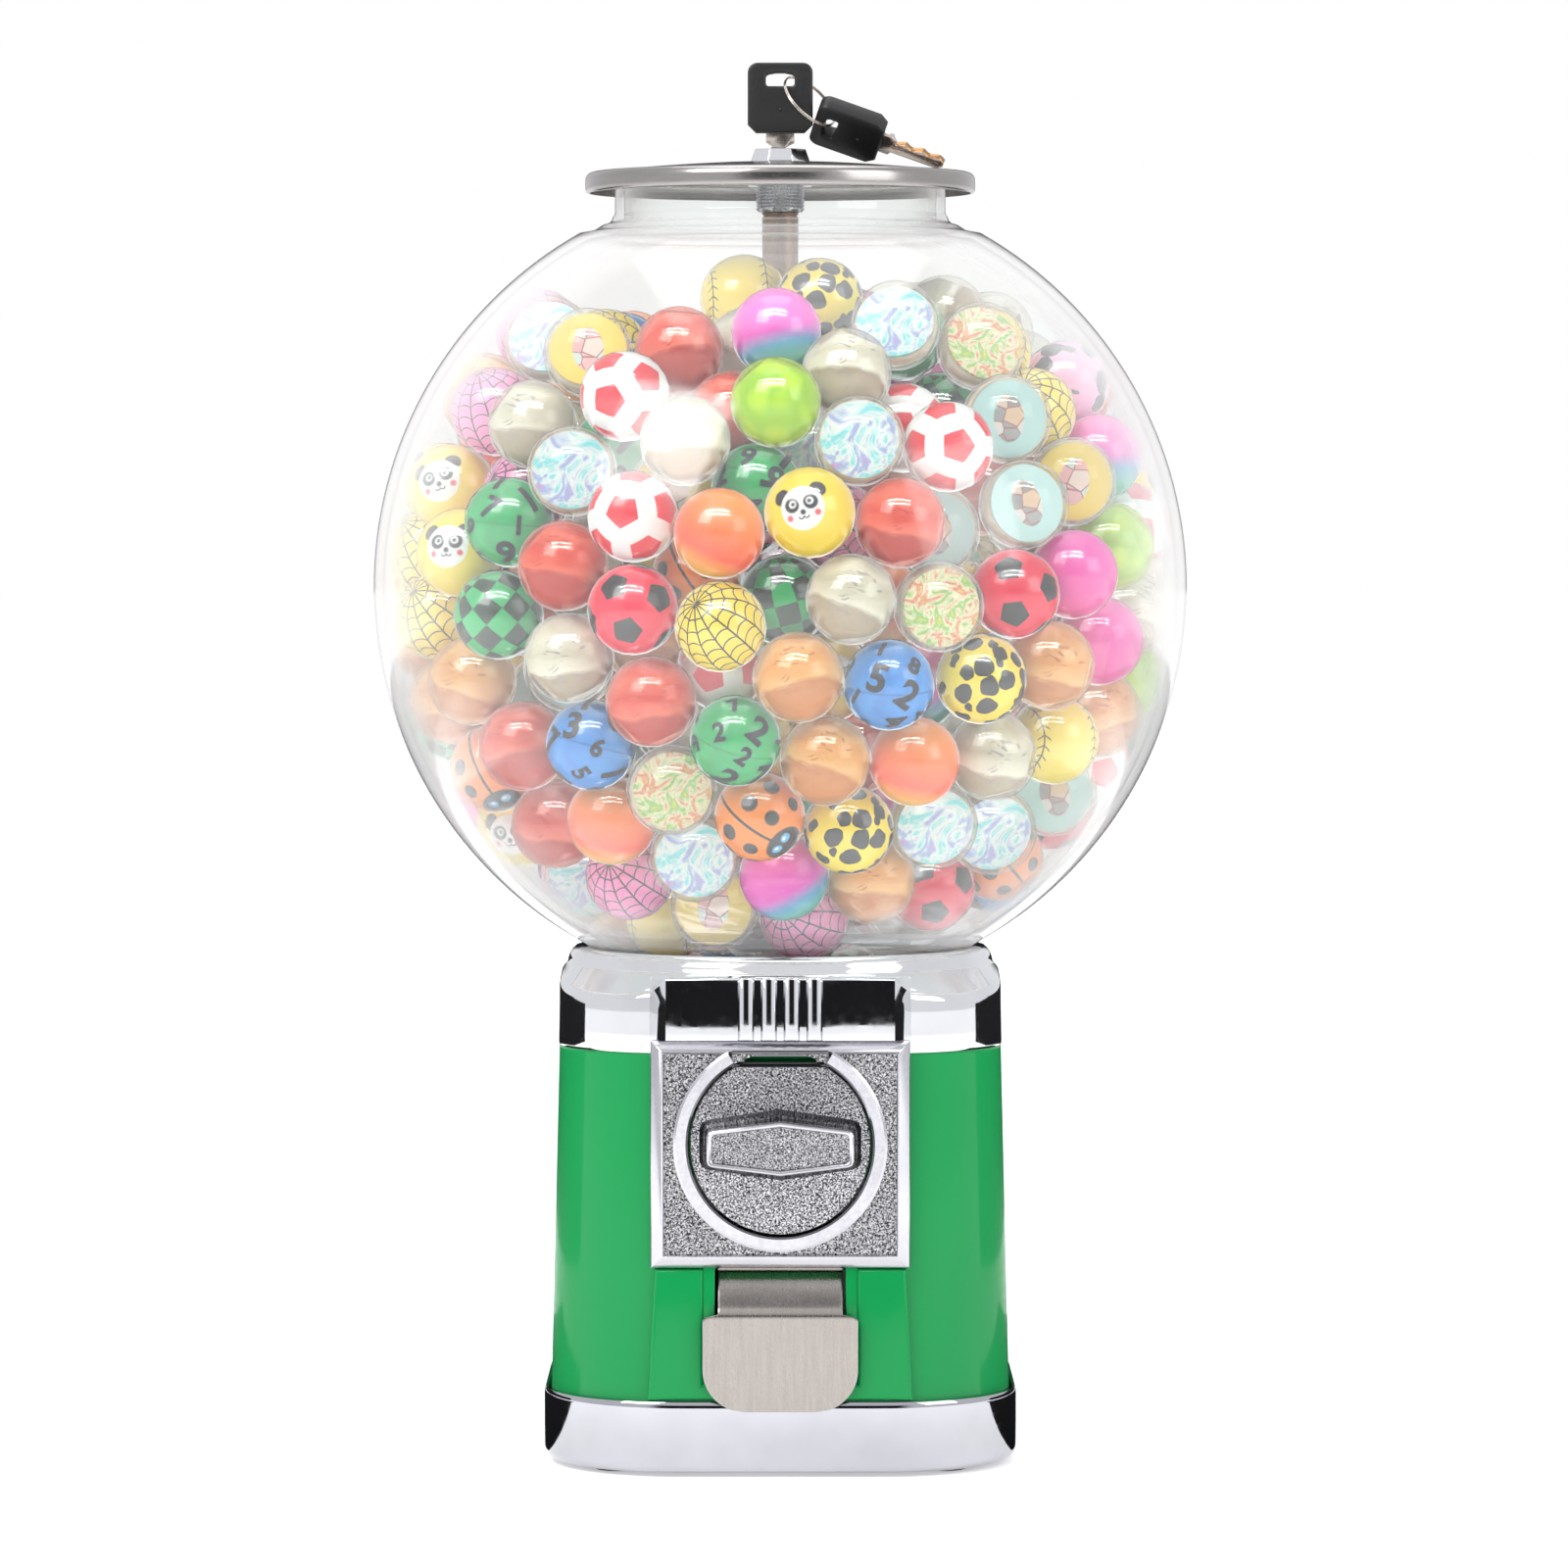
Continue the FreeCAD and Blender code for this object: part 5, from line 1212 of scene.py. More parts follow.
@dataclass
class CoinMechanism:
    """The coin plate, its ring and slot recess, the turning dial and its handle."""

    palette: Palette
    half: float = 45.9
    low: float = 74.5
    high: float = 155.3
    back: float = -81.5
    axis_z: float = 118.6
    ring_out: float = 37.85
    ring_in: float = 32.75
    gap: float = 17.2

    def build(self) -> None:
        """Make the plate, the ring, the dial and the handle."""
        self._plate()
        self._slot()
        self._dial()
        self._handle()

    def _frame_loop(self, inset: float, y: float) -> list:
        """Corners of the plate at an inset and depth."""
        h, a, b = self.half - inset, self.low + inset, self.high - inset
        return [(-h, y, a), (h, y, a), (h, y, b), (-h, y, b)]

    def _plate(self) -> None:
        """The bevelled plate with its pitted field and open ring."""
        rows = ((0.0, self.back), (0.0, self.back - 2.6), (0.35, self.back - 3.2), (3.9, self.back - 6.1),
                (4.4, self.back - 6.1), (4.8, self.back - 5.6), (4.8, self.back - 4.4))
        skin = RingSkin(self._frame_loop(*rows[0]))
        for row in rows[1:]:
            skin.grow(self._frame_loop(*row))
        skin.cap()
        bm = skin.done()
        for face in bm.faces:
            if abs(face.calc_center_median().y / MM - (self.back - 4.4)) < 0.05:
                face.material_index = 1
        bevel_edges(bm, [e for e in bm.edges if e.calc_length() < 5.2 * MM and e.is_manifold
                         and abs(e.verts[0].co.x) > 39 * MM], 0.35 * MM, 2)
        self._cut_dial_hole(bm)
        self._ring(bm)
        finish_piece(bm, "coin_plate", "cabinet", [self.palette.silver, self.palette.stipple],
                     ["mech_plate"], 30.0)

    def _cut_dial_hole(self, bm: bmesh.types.BMesh) -> None:
        """Replace the field by one with a round hole behind the dial."""
        field_faces = [f for f in bm.faces if f.material_index == 1]
        bmesh.ops.delete(bm, geom=field_faces, context="FACES_ONLY")
        h, a, b = self.half - 4.8, self.low + 4.8, self.high - 4.8
        y = self.back - 4.4
        count = 96
        inner = []
        outer = []
        for k in range(count):
            t = 2 * math.pi * k / count
            c, s = math.cos(t), math.sin(t)
            inner.append(bm.verts.new((self.ring_in * c * MM, y * MM, (self.axis_z + self.ring_in * s) * MM)))
            reach = min(
                (h / abs(c)) if abs(c) > 1e-6 else 1e9,
                ((b - self.axis_z) / s) if s > 1e-6 else 1e9,
                ((a - self.axis_z) / s) if s < -1e-6 else 1e9,
            )
            outer.append(bm.verts.new((reach * c * MM, y * MM, (self.axis_z + reach * s) * MM)))
        for x in (-h, h):
            for z in (a, b):
                corner = Vector((x, y, z)) * MM
                min(outer, key=lambda v: (v.co - corner).length).co = corner
        edges = []
        for loop in (inner, outer):
            edges += [bm.edges.new(p) for p in zip(loop, loop[1:] + loop[:1])]
        made = bmesh.ops.bridge_loops(bm, edges=edges)
        for face in made["faces"]:
            face.material_index = 1
            if face.normal.y > 0:
                face.normal_flip()

    def _ring(self, bm: bmesh.types.BMesh) -> None:
        """The bright ring, open at the top, with rounded shoulders."""
        start = math.asin(self.gap / (self.ring_in + 2.0))
        foot, shoulder, crest = self.back - 3.0, self.back - 7.2, self.back - 7.9
        profile = ((self.ring_in, foot), (self.ring_in, shoulder), (self.ring_in + 0.7, crest),
                   (self.ring_out - 0.9, crest), (self.ring_out, shoulder), (self.ring_out, foot))
        verts = []
        for r, y in profile:
            across, up = r * math.sin(start), self.axis_z + r * math.cos(start)
            verts.append(bm.verts.new((across * MM, y * MM, up * MM)))
        edges = [bm.edges.new(p) for p in zip(verts, verts[1:] + verts[:1])]
        face = bm.faces.new(verts)
        before = set(bm.faces)
        bmesh.ops.spin(bm, geom=verts + edges + [face], cent=(0, 0, self.axis_z * MM), axis=(0, 1, 0),
                       angle=2 * math.pi - 2 * start, steps=110, use_merge=False)
        ring = [f for f in bm.faces if f not in before] + [face]
        bmesh.ops.recalc_face_normals(bm, faces=ring)
        for f in ring:
            f.material_index = 0

    def _slot(self) -> None:
        """The recess between the ring's ends, with the coin slit in it, darkened as painted shade."""
        bm = bmesh.new()
        for low, high in (
            ((-17.1, -82.9, 143.6), (17.1, -82.1, 147.2)),
            ((-17.1, -82.9, 149.4), (17.1, -82.1, 151.6)),
            ((-17.1, -82.9, 147.2), (-12.7, -82.1, 149.4)),
            ((12.7, -82.9, 147.2), (17.1, -82.1, 149.4)),
            ((-17.1, -88.6, 151.0), (17.1, -82.1, 151.9)),
        ):
            made = bar(bm, low, high)
            bevel_edges(bm, {e for v in made for e in v.link_edges}, 0.18 * MM, 2)
        for side in (-1, 1):
            xs = sorted((side * 16.9, side * 18.2))
            made = bar(bm, (xs[0], -89.0, 146.4), (xs[1], -82.1, 151.6))
            bevel_edges(bm, {e for v in made for e in v.link_edges}, 0.3 * MM, 2)
        # painted shade: the recess bars take the darkened chrome
        finish_piece(bm, "coin_slot_recess", "cabinet", [self.palette.brushed_chrome], (), 30.0)

    def _dial(self) -> None:
        """The pitted disc with a flat at the coin slot."""
        bm = bmesh.new()
        r = self.ring_in - 0.9
        flat = 146.1 - self.axis_z
        t0 = math.acos(flat / r)
        outline = []
        steps = 100
        for k in range(steps + 1):
            t = t0 + (2 * math.pi - 2 * t0) * k / steps
            outline.append((r * math.sin(t), self.axis_z + r * math.cos(t)))
        slab(bm, outline, -87.3, -83.0)
        rim = [e for e in bm.edges if all(v.co.y < -87.2 * MM for v in e.verts)]
        bevel_edges(bm, rim, 0.4 * MM, 2)
        finish_piece(bm, "dial_face", "dial", [self.palette.stipple], ["dial_disc"], 30.0)

    def _hexagon(self, half: float, mid: float, end: float, corner: float, y: float) -> list:
        """The handle's outline with softened ends."""
        z = self.axis_z
        right = [(half - corner, end), (half - corner * 0.3, end - corner * 0.3), (half, end - corner)]
        top = [(0.0, mid)] + right
        pts = top + [(x, -zz) for x, zz in reversed(right)] + [(0.0, -mid)]
        pts += [(-x, -zz) for x, zz in right] + [(-x, zz) for x, zz in reversed(right)]
        return [(x, y, z + zz) for x, zz in pts]

    def _handle(self) -> None:
        """The long handle: flared foot, drafted sides, bright rim and pitted face."""
        rows = ((28.6, 12.6, 8.8, 3.0, -87.3), (27.6, 11.4, 8.0, 2.8, -88.6), (26.9, 10.5, 7.3, 2.5, -90.6),
                (26.4, 10.0, 6.9, 2.3, -94.0), (26.05, 9.6, 6.6, 2.1, -99.5), (25.9, 9.4, 6.45, 2.0, -104.4),
                (25.7, 9.2, 6.25, 1.9, -105.1), (25.2, 8.7, 5.85, 1.7, -105.4), (24.7, 8.2, 5.4, 1.5, -105.3),
                (24.2, 7.75, 5.05, 1.3, -104.9), (24.0, 7.55, 4.9, 1.2, -104.0))
        skin = RingSkin(self._hexagon(*rows[0]))
        for row in rows[1:]:
            skin.grow(self._hexagon(*row))
        skin.cap()
        bm = skin.done()
        for face in bm.faces:
            if len(face.verts) > 4:
                face.material_index = 1
            # painted dark reflection: the drafted sides take the darkened chrome
            elif face.calc_center_median().y > -104.6 * MM and abs(face.normal.y) < 0.72:
                face.material_index = 2
        bmesh.ops.triangulate(bm, faces=[f for f in bm.faces if len(f.verts) > 4])
        finishes = [self.palette.silver, self.palette.fine_stipple, self.palette.brushed_chrome]
        finish_piece(bm, "dial_grip", "dial", finishes, ["dial_handle"], 38.0)


@dataclass
class ChuteDoor:
    """The bent steel flap over the ball chute."""

    palette: Palette
    path: tuple[Point2, ...] = (
        (-76.4, 72.9), (-79.6, 68.4), (-82.4, 64.6), (-84.4, 62.2), (-85.7, 60.8), (-86.5, 59.6), (-86.9, 58.4),
        (-87.0, 57.4), (-87.0, 48.0), (-87.0, 38.8), (-87.0, 33.0), (-87.0, 28.0), (-87.0, 23.8))
    thickness: float = 1.2

    @staticmethod
    def _half_width(z: float) -> float:
        """Half the flap's width at a height: narrow neck, wide plate, round corners."""
        if z > 58.2:
            return 22.0
        if z > 57.2:
            return 22.0 + (58.2 - z) * 5.5
        corner = 38.8
        if z >= corner:
            return 27.5
        return 12.5 + math.sqrt(max(0.0, 15.0 ** 2 - (corner - z) ** 2))

    def build(self) -> None:
        """Lay the sheet along its bend, thicken it and roll its barrel."""
        bm = bmesh.new()
        fine = []
        for (y0, z0), (y1, z1) in zip(self.path, self.path[1:]):
            steps = max(1, int(abs(z1 - z0) / 0.8))
            fine += [(y0 + (y1 - y0) * k / steps, z0 + (z1 - z0) * k / steps) for k in range(steps)]
        fine.append(self.path[-1])
        rows = []
        for y, z in fine:
            w = self._half_width(z)
            xs = [w * t for t in (-1, -0.96, -0.8, -0.4, 0, 0.4, 0.8, 0.96, 1)]
            rows.append([bm.verts.new((x * MM, y * MM, z * MM)) for x in xs])
        for a, b in zip(rows, rows[1:]):
            for j in range(len(a) - 1):
                bm.faces.new((a[j], a[j + 1], b[j + 1], b[j]))
        for face in bm.faces:
            if face.normal.y > 0:
                face.normal_flip()
        bm.normal_update()
        if sum(f.normal.y for f in bm.faces) > 0:
            bmesh.ops.reverse_faces(bm, faces=list(bm.faces))
        bmesh.ops.translate(bm, vec=(0, -0.6 * MM, 0), verts=list(bm.verts))
        bmesh.ops.solidify(bm, geom=list(bm.faces), thickness=self.thickness * MM)
        barrel = bmesh.ops.create_cone(bm, cap_ends=True, segments=32, radius1=2.4 * MM, radius2=2.4 * MM,
                                       depth=44.0 * MM, matrix=Matrix.Rotation(math.pi / 2, 4, "Y"))
        bmesh.ops.translate(bm, vec=(0, -75.0 * MM, 74.4 * MM), verts=barrel["verts"])
        bmesh.ops.recalc_face_normals(bm, faces=list(bm.faces))
        rim = [e for e in sharp_edges(bm, 60.0) if e.verts[0].co.z < 72 * MM]
        bevel_edges(bm, rim, 0.3 * MM, 2)
        finish_piece(bm, "chute_flap", "door", [self.palette.door], ["chute_door"], 40.0)


@dataclass
class Globe:
    """The clear globe with its foot and neck."""

    palette: Palette
    centre: float = 314.0
    radius: float = 147.7
    wall: float = 3.4

    def _outline(self, inset: float) -> list[Point2]:
        """The outer line, or the inner one at an inset."""
        r = self.radius - inset
        foot = 70.4 - inset
        low = -math.sqrt(r * r - (foot + 0.6) ** 2)
        start = math.asin(low / r)
        stop = math.acos((73.0 - inset) / r)
        pts = [(foot, 179.0), (foot, self.centre + low - 1.2)]
        for k in range(65):
            t = start + (stop - start) * k / 64.0
            pts.append((r * math.cos(t), self.centre + r * math.sin(t)))
        pts += [(70.0 - inset, 442.9 - inset * 0.8), (67.4 - inset, 443.5 - inset),
                (66.0 - inset, 444.4 - inset)]
        neck = 60.0 - inset
        if inset < 0.1:
            pts += [(65.2, 445.0), (64.2, 445.5), (62.9, 445.8), (61.9, 446.3), (61.2, 447.2), (60.8, 448.4),
                    (60.2, 449.1), (60.0, 450.0), (60.0, 458.2), (60.4, 458.9), (60.9, 459.3), (60.9, 460.6),
                    (60.4, 461.0)]
        else:
            pts += [(62.4 - inset, 446.4 - inset), (neck, 449.4 - inset), (neck, 460.6), (neck + 0.5, 461.0)]
        return pts

    def build(self) -> None:
        """Spin the wall."""
        bm = bmesh.new()
        profile = self._outline(0.0) + self._outline(self.wall)[::-1]
        lathe(bm, profile + profile[:1], 160)
        finish_piece(bm, "globe_wall", "cabinet", [self.palette.globe], ["globe"], 50.0)


@dataclass
class LidAndLock:
    """The lid, its lock and the tube that screws on the centre rod."""

    palette: Palette

    def build(self) -> None:
        """Make the lid, bezel, barrel and tube."""
        self._lid()
        self._bezel()
        self._barrel()
        self._tube()

    def _lid(self) -> None:
        """A pressed disc with a rolled rim."""
        outer = [(69.2, 457.0), (69.9, 456.95), (70.4, 457.3), (70.7, 458.0), (70.75, 459.0), (70.75, 461.4),
                 (70.6, 462.6), (70.1, 463.5), (69.3, 464.1), (68.2, 464.45), (66.8, 464.55), (65.0, 464.65),
                 (60.0, 465.0), (50.0, 465.9), (40.0, 466.7), (28.0, 467.5), (16.0, 467.9), (9.4, 468.0)]
        inner = [(9.4, 466.9), (28.0, 466.4), (45.0, 465.4), (58.0, 464.5), (62.4, 463.3), (67.6, 463.1),
                 (69.0, 462.2), (69.55, 460.8), (69.4, 458.2), (69.2, 457.0)]
        bm = bmesh.new()
        lathe(bm, outer + inner, 160)
        finish_piece(bm, "lid_disc", "lid_unit", [self.palette.lid], ["lid"], 50.0)

    def _bezel(self) -> None:
        """The eight-sided bezel around the key."""
        def ring(radius: float, z: float) -> list:
            """Corners of the octagon."""
            turns = [math.radians(22.5 + 45 * k) for k in range(8)]
            return [(radius * math.cos(t), radius * math.sin(t), z) for t in turns]

        skin = RingSkin(ring(11.5, 468.05))
        for radius, z in ((11.5, 468.7), (9.9, 472.9), (8.6, 473.0), (7.4, 472.7), (7.4, 466.0)):
            skin.grow(ring(radius, z))
        bm = skin.done()
        bevel_edges(bm, [e for e in sharp_edges(bm, 30.0) if e.verts[0].co.xy.length > 9 * MM], 0.22 * MM, 2)
        finish_piece(bm, "lock_ring", "lid_unit", [self.palette.chrome], ["lock_bezel"], 25.0)

    def _barrel(self) -> None:
        """The threaded barrel under the lid: ringed grooves between two flats."""
        bm = bmesh.new()
        profile: list[Point2] = [(7.4, 450.2), (8.0, 450.2), (8.7, 450.9)]
        z = 450.9
        while z < 464.4:
            profile += [(8.9, z + 0.3), (8.9, z + 0.42), (8.25, z + 0.86), (8.25, z + 0.94)]
            z += 1.2
        profile += [(8.9, 465.6), (8.9, 468.05), (7.4, 468.05), (7.4, 450.2)]
        lathe(bm, profile, 64)
        for side in (-1, 1):
            geom = list(bm.verts) + list(bm.edges) + list(bm.faces)
            bmesh.ops.bisect_plane(bm, geom=geom, plane_co=(0, side * 8.3 * MM, 0), plane_no=(0, side, 0),
                                   clear_outer=False)
            for v in bm.verts:
                if v.co.y * side > 8.3 * MM:
                    v.co.y = side * 8.3 * MM
        bmesh.ops.remove_doubles(bm, verts=list(bm.verts), dist=2e-6)
        finish_piece(bm, "lock_thread", "lid_unit", [self.palette.zinc], ["lock_barrel"], 30.0)

    def _tube(self) -> None:
        """The bronzed tube with its groove, and a pin through it."""
        bm = bmesh.new()
        outline = [(0.0, 450.3), (6.3, 450.3), (6.6, 450.0), (6.6, 449.2), (6.15, 449.15), (6.15, 448.45),
                   (6.6, 448.4), (6.6, 434.2), (6.5, 434.1), (6.5, 433.9), (6.6, 433.8), (6.6, 424.4),
                   (6.2, 424.0), (3.2, 424.0), (3.1, 424.3), (3.1, 436.5), (0.0, 436.5)]
        lathe(bm, outline, 64)
        finishes = [self.palette.nickel]
        finish_piece(bm, "rod_grip_tube", "lock_core", finishes, ["lock_tube"], 40.0)
        # the stubs mark the pin's ends; their near-black is painted shade in the pin's holes
        pin = bmesh.new()
        for side in (-1, 1):
            made = bmesh.ops.create_cone(pin, cap_ends=True, segments=20, radius1=1.2 * MM, radius2=1.0 * MM,
                                         depth=1.2 * MM, matrix=Matrix.Rotation(side * math.pi / 2, 4, "X"))
            bmesh.ops.translate(pin, vec=(0, side * 6.25 * MM, 441.8 * MM), verts=made["verts"])
        finish_piece(pin, "tube_pin", "lock_core", [self.palette.dark])


@dataclass
class Keys:
    """The key in the lock, its ring and the spare key on the lid."""

    palette: Palette
    bow_z: float = 478.8
    width: float = 23.6
    height: float = 25.4
    thick: float = 6.0
    slot_z: float = 19.2
    spare_centre: tuple[float, float, float] = (24.8, 0.0, 480.2)
    spare_tilt: float = 19.5
    spare_lean: float = -56.0

    def _lay(self) -> Matrix:
        """The move from an upright key, bow foot at 0, to the spare on the lid."""
        m = Matrix.Translation(Vector(self.spare_centre) * MM)
        m = m @ Matrix.Rotation(math.radians(-90.0 + self.spare_tilt), 4, "Y")
        m = m @ Matrix.Rotation(math.radians(self.spare_lean), 4, "Z")
        return m @ Matrix.Translation((0, 0, -self.height / 2.0 * MM))

    def _bow(self) -> bmesh.types.BMesh:
        """A bow standing with its foot at 0: rounded top, cut corners, slot."""
        bm = bmesh.new()
        w, h = self.width / 2.0, self.height
        outline = [(-w + 3.0, 0.0), (w - 3.0, 0.0), (w, 3.0), (w, h - 3.6)]
        for k in range(1, 7):
            a = math.pi / 2 * k / 6
            outline.append((w - 3.6 + 3.6 * math.cos(a), h - 3.6 + 3.6 * math.sin(a)))
        for k in range(0, 7):
            a = math.pi / 2 + math.pi / 2 * k / 6
            outline.append((-w + 3.6 + 3.6 * math.cos(a), h - 3.6 + 3.6 * math.sin(a)))
        outline.append((-w, 3.0))
        s = self.slot_z
        hole = [(-4.4, s - 2.3), (4.4, s - 2.3), (5.0, s - 1.9), (5.2, s - 1.2), (5.2, s + 0.8),
                (4.9, s + 1.5), (4.3, s + 1.9), (1.6, s + 2.4), (-1.6, s + 2.4), (-4.3, s + 1.9),
                (-4.9, s + 1.5), (-5.2, s + 0.8), (-5.2, s - 1.2), (-5.0, s - 1.9)]
        edges = []
        for loop in (outline, hole):
            verts = [bm.verts.new((x * MM, -self.thick / 2 * MM, z * MM)) for x, z in loop]
            edges += [bm.edges.new(p) for p in zip(verts, verts[1:] + verts[:1])]
        bmesh.ops.triangle_fill(bm, edges=edges, use_beauty=True, normal=(0, -1, 0))
        grown = bmesh.ops.extrude_face_region(bm, geom=list(bm.faces))
        moved = [v for v in grown["geom"] if isinstance(v, bmesh.types.BMVert)]
        bmesh.ops.translate(bm, vec=(0, self.thick * MM, 0), verts=moved)
        bmesh.ops.recalc_face_normals(bm, faces=list(bm.faces))
        bevel_edges(bm, sharp_edges(bm, 60.0), 0.75 * MM, 3)
        made = bmesh.ops.create_uvsphere(bm, u_segments=12, v_segments=8, radius=0.75 * MM)
        bmesh.ops.translate(bm, vec=(0, -2.75 * MM, 8.4 * MM), verts=made["verts"])
        return bm

    def _blade(self, length: float) -> bmesh.types.BMesh:
        """A blade below a bow whose foot is at 0: shoulder, groove and cuts."""
        bm = bmesh.new()
        tip = -length
        outline = [(-5.2, 2.0), (-5.2, -3.6), (-3.4, -4.4), (-3.4, tip + 2.0), (-1.4, tip), (1.0, tip),
                   (2.4, tip + 1.6)]
        for k in range(5):
            z = tip + 3.4 + 3.3 * k
            outline.append((1.7 if k % 2 else 2.6, z))
            outline.append((3.3 if k % 2 else 1.5, z + 1.9))
        outline += [(3.4, -4.4), (5.2, -3.6), (5.2, 2.0)]
        slab(bm, outline, -1.1, 1.1)
        bevel_edges(bm, sharp_edges(bm, 60.0), 0.2 * MM, 2)
        for face in bm.faces:
            c = face.calc_center_median() / MM
            if c.x > 1.2 and c.z < -6.0 and abs(face.normal.y) < 0.5:
                face.material_index = 1
        groove = bar(bm, (-2.2, -1.16, tip + 1.5), (-1.4, 1.16, -5.5))
        bevel_edges(bm, {e for v in groove for e in v.link_edges}, 0.05 * MM, 1)
        return bm

    def build(self) -> None:
        """Make both keys and the ring between them."""
        up = Matrix.Translation((0, 0, self.bow_z * MM))
        lay = self._lay()
        for name, body, nodes, where in (
            ("lock_key", "key", ("key_bow", "key_blade"), up),
            ("spare_key", "spare_key", ("spare_bow", "spare_blade"), lay),
        ):
            bow = self._bow()
            bmesh.ops.transform(bow, matrix=where, verts=list(bow.verts))
            finish_piece(bow, name + "_head", body, [self.palette.black], [nodes[0]], 40.0)
            blade = self._blade(24.0)
            bmesh.ops.transform(blade, matrix=where, verts=list(blade.verts))
            finish_piece(blade, name + "_steel", body, [self.palette.key, self.palette.cut],
                         [nodes[1]], 35.0)
        self._ring(lay)

    def _ring(self, lay: Matrix) -> None:
        """A split ring: two turns of wire side by side."""
        a = Vector((2.4, 0.0, self.bow_z + self.slot_z + 0.4)) * MM
        b = lay @ (Vector((0.0, 0.0, self.slot_z - 0.3)) * MM)
        along = (b - a).normalized()
        front = Vector((-0.34, -0.89, -0.29))
        side = (front - along * front.dot(along)).normalized()
        normal = along.cross(side)
        basis = Matrix((along, side, normal)).transposed().to_4x4()
        basis.translation = (a + b) / 2
        radius = (b - a).length / 2
        bm = bmesh.new()
        for shift in (-0.3, 0.3):
            circle = bmesh.ops.create_circle(bm, segments=10, radius=0.31 * MM)
            verts = circle["verts"]
            edges = list({e for v in verts for e in v.link_edges})
            bmesh.ops.rotate(bm, cent=(0, 0, 0), matrix=Matrix.Rotation(math.pi / 2, 3, "X"), verts=verts)
            bmesh.ops.translate(bm, vec=(radius, 0, shift * MM), verts=verts)
            bmesh.ops.spin(bm, geom=verts + edges, cent=(0, 0, 0), axis=(0, 0, 1), angle=2 * math.pi, steps=96,
                           use_merge=True)
        bmesh.ops.remove_doubles(bm, verts=list(bm.verts), dist=1e-7)
        bmesh.ops.recalc_face_normals(bm, faces=list(bm.faces))
        bmesh.ops.transform(bm, matrix=basis, verts=list(bm.verts))
        finish_piece(bm, "split_ring", "ring", [self.palette.key], ["key_ring"], 60.0)


class Numerals:
    """Printed numerals laid on the numbered balls."""

    def __init__(self, radius: float) -> None:
        """Cut the ten digits once.

        Args:
            radius: of the balls, in metres.
        """
        self.radius = radius
        self.digits = [self._cut(str(k)) for k in range(10)]
        self.bm = bmesh.new()

    @staticmethod
    def _cut(digit: str) -> bpy.types.Mesh:
        """A flat digit one unit high about the origin, cut fine enough to bend."""
        curve = bpy.data.curves.new("digit", "FONT")
        curve.body = digit
        curve.resolution_u = 3
        curve.offset = 0.04
        curve.align_x = "CENTER"
        holder = bpy.data.objects.new("digit", curve)
        bpy.context.scene.collection.objects.link(holder)
        bpy.context.view_layer.update()
        mesh = bpy.data.meshes.new_from_object(holder)
        bpy.data.objects.remove(holder)
        bm = bmesh.new()
        bm.from_mesh(mesh)
        bmesh.ops.remove_doubles(bm, verts=list(bm.verts), dist=1e-5)
        low = min(v.co.y for v in bm.verts)
        high = max(v.co.y for v in bm.verts)
        bmesh.ops.translate(bm, vec=(0, -(low + high) / 2, 0), verts=list(bm.verts))
        bmesh.ops.scale(bm, vec=[1.0 / (high - low)] * 3, verts=list(bm.verts))
        for step in (-0.36, -0.18, 0.0, 0.18, 0.36):
            for normal in ((1, 0, 0), (0, 1, 0)):
                point = (step, 0, 0) if normal[0] else (0, step, 0)
                everything = list(bm.verts) + list(bm.edges) + list(bm.faces)
                bmesh.ops.bisect_plane(bm, geom=everything, plane_co=point, plane_no=normal)
        bmesh.ops.triangulate(bm, faces=list(bm.faces))
        bm.to_mesh(mesh)
        bm.free()
        return mesh

    def print_on(self, centre: Vector, turn: Matrix, rnd: random.Random) -> None:
        """Lay digits of mixed size all over one ball.

        Args:
            centre: the ball's centre in metres.
            turn: the ball's turn.
            rnd: the group's own random source.
        """
        count = 21
        for k in range(count):
            z = 1.0 - (2.0 * k + 1.0) / count
            around = k * 2.399963
            r = math.sqrt(1.0 - z * z)
            out = turn @ Vector((r * math.cos(around), r * math.sin(around), z))
            side = out.cross(Vector((0.3, 0.2, 1.0))).normalized()
            up = side.cross(out)
            spin = rnd.uniform(-0.9, 0.9)
            u = side * math.cos(spin) + up * math.sin(spin)
            v = out.cross(u)
            size = rnd.choice((0.46, 0.58, 0.70))
            before = len(self.bm.verts)
            self.bm.from_mesh(self.digits[rnd.randrange(1, 10)])
            self.bm.verts.ensure_lookup_table()
            for vert in self.bm.verts[before:]:
                way = out - u * (vert.co.x * size) - v * (vert.co.y * size)
                vert.co = centre + way.normalized() * self.radius * 1.004

    def done(self, name: str, body: str, slot: str, ink: bpy.types.Material) -> bpy.types.Object:
        """Make the piece and start a new sheet of digits."""
        piece = finish_piece(self.bm, name, body, [ink], (), 60.0)
        self.bm = bmesh.new()
        return piece


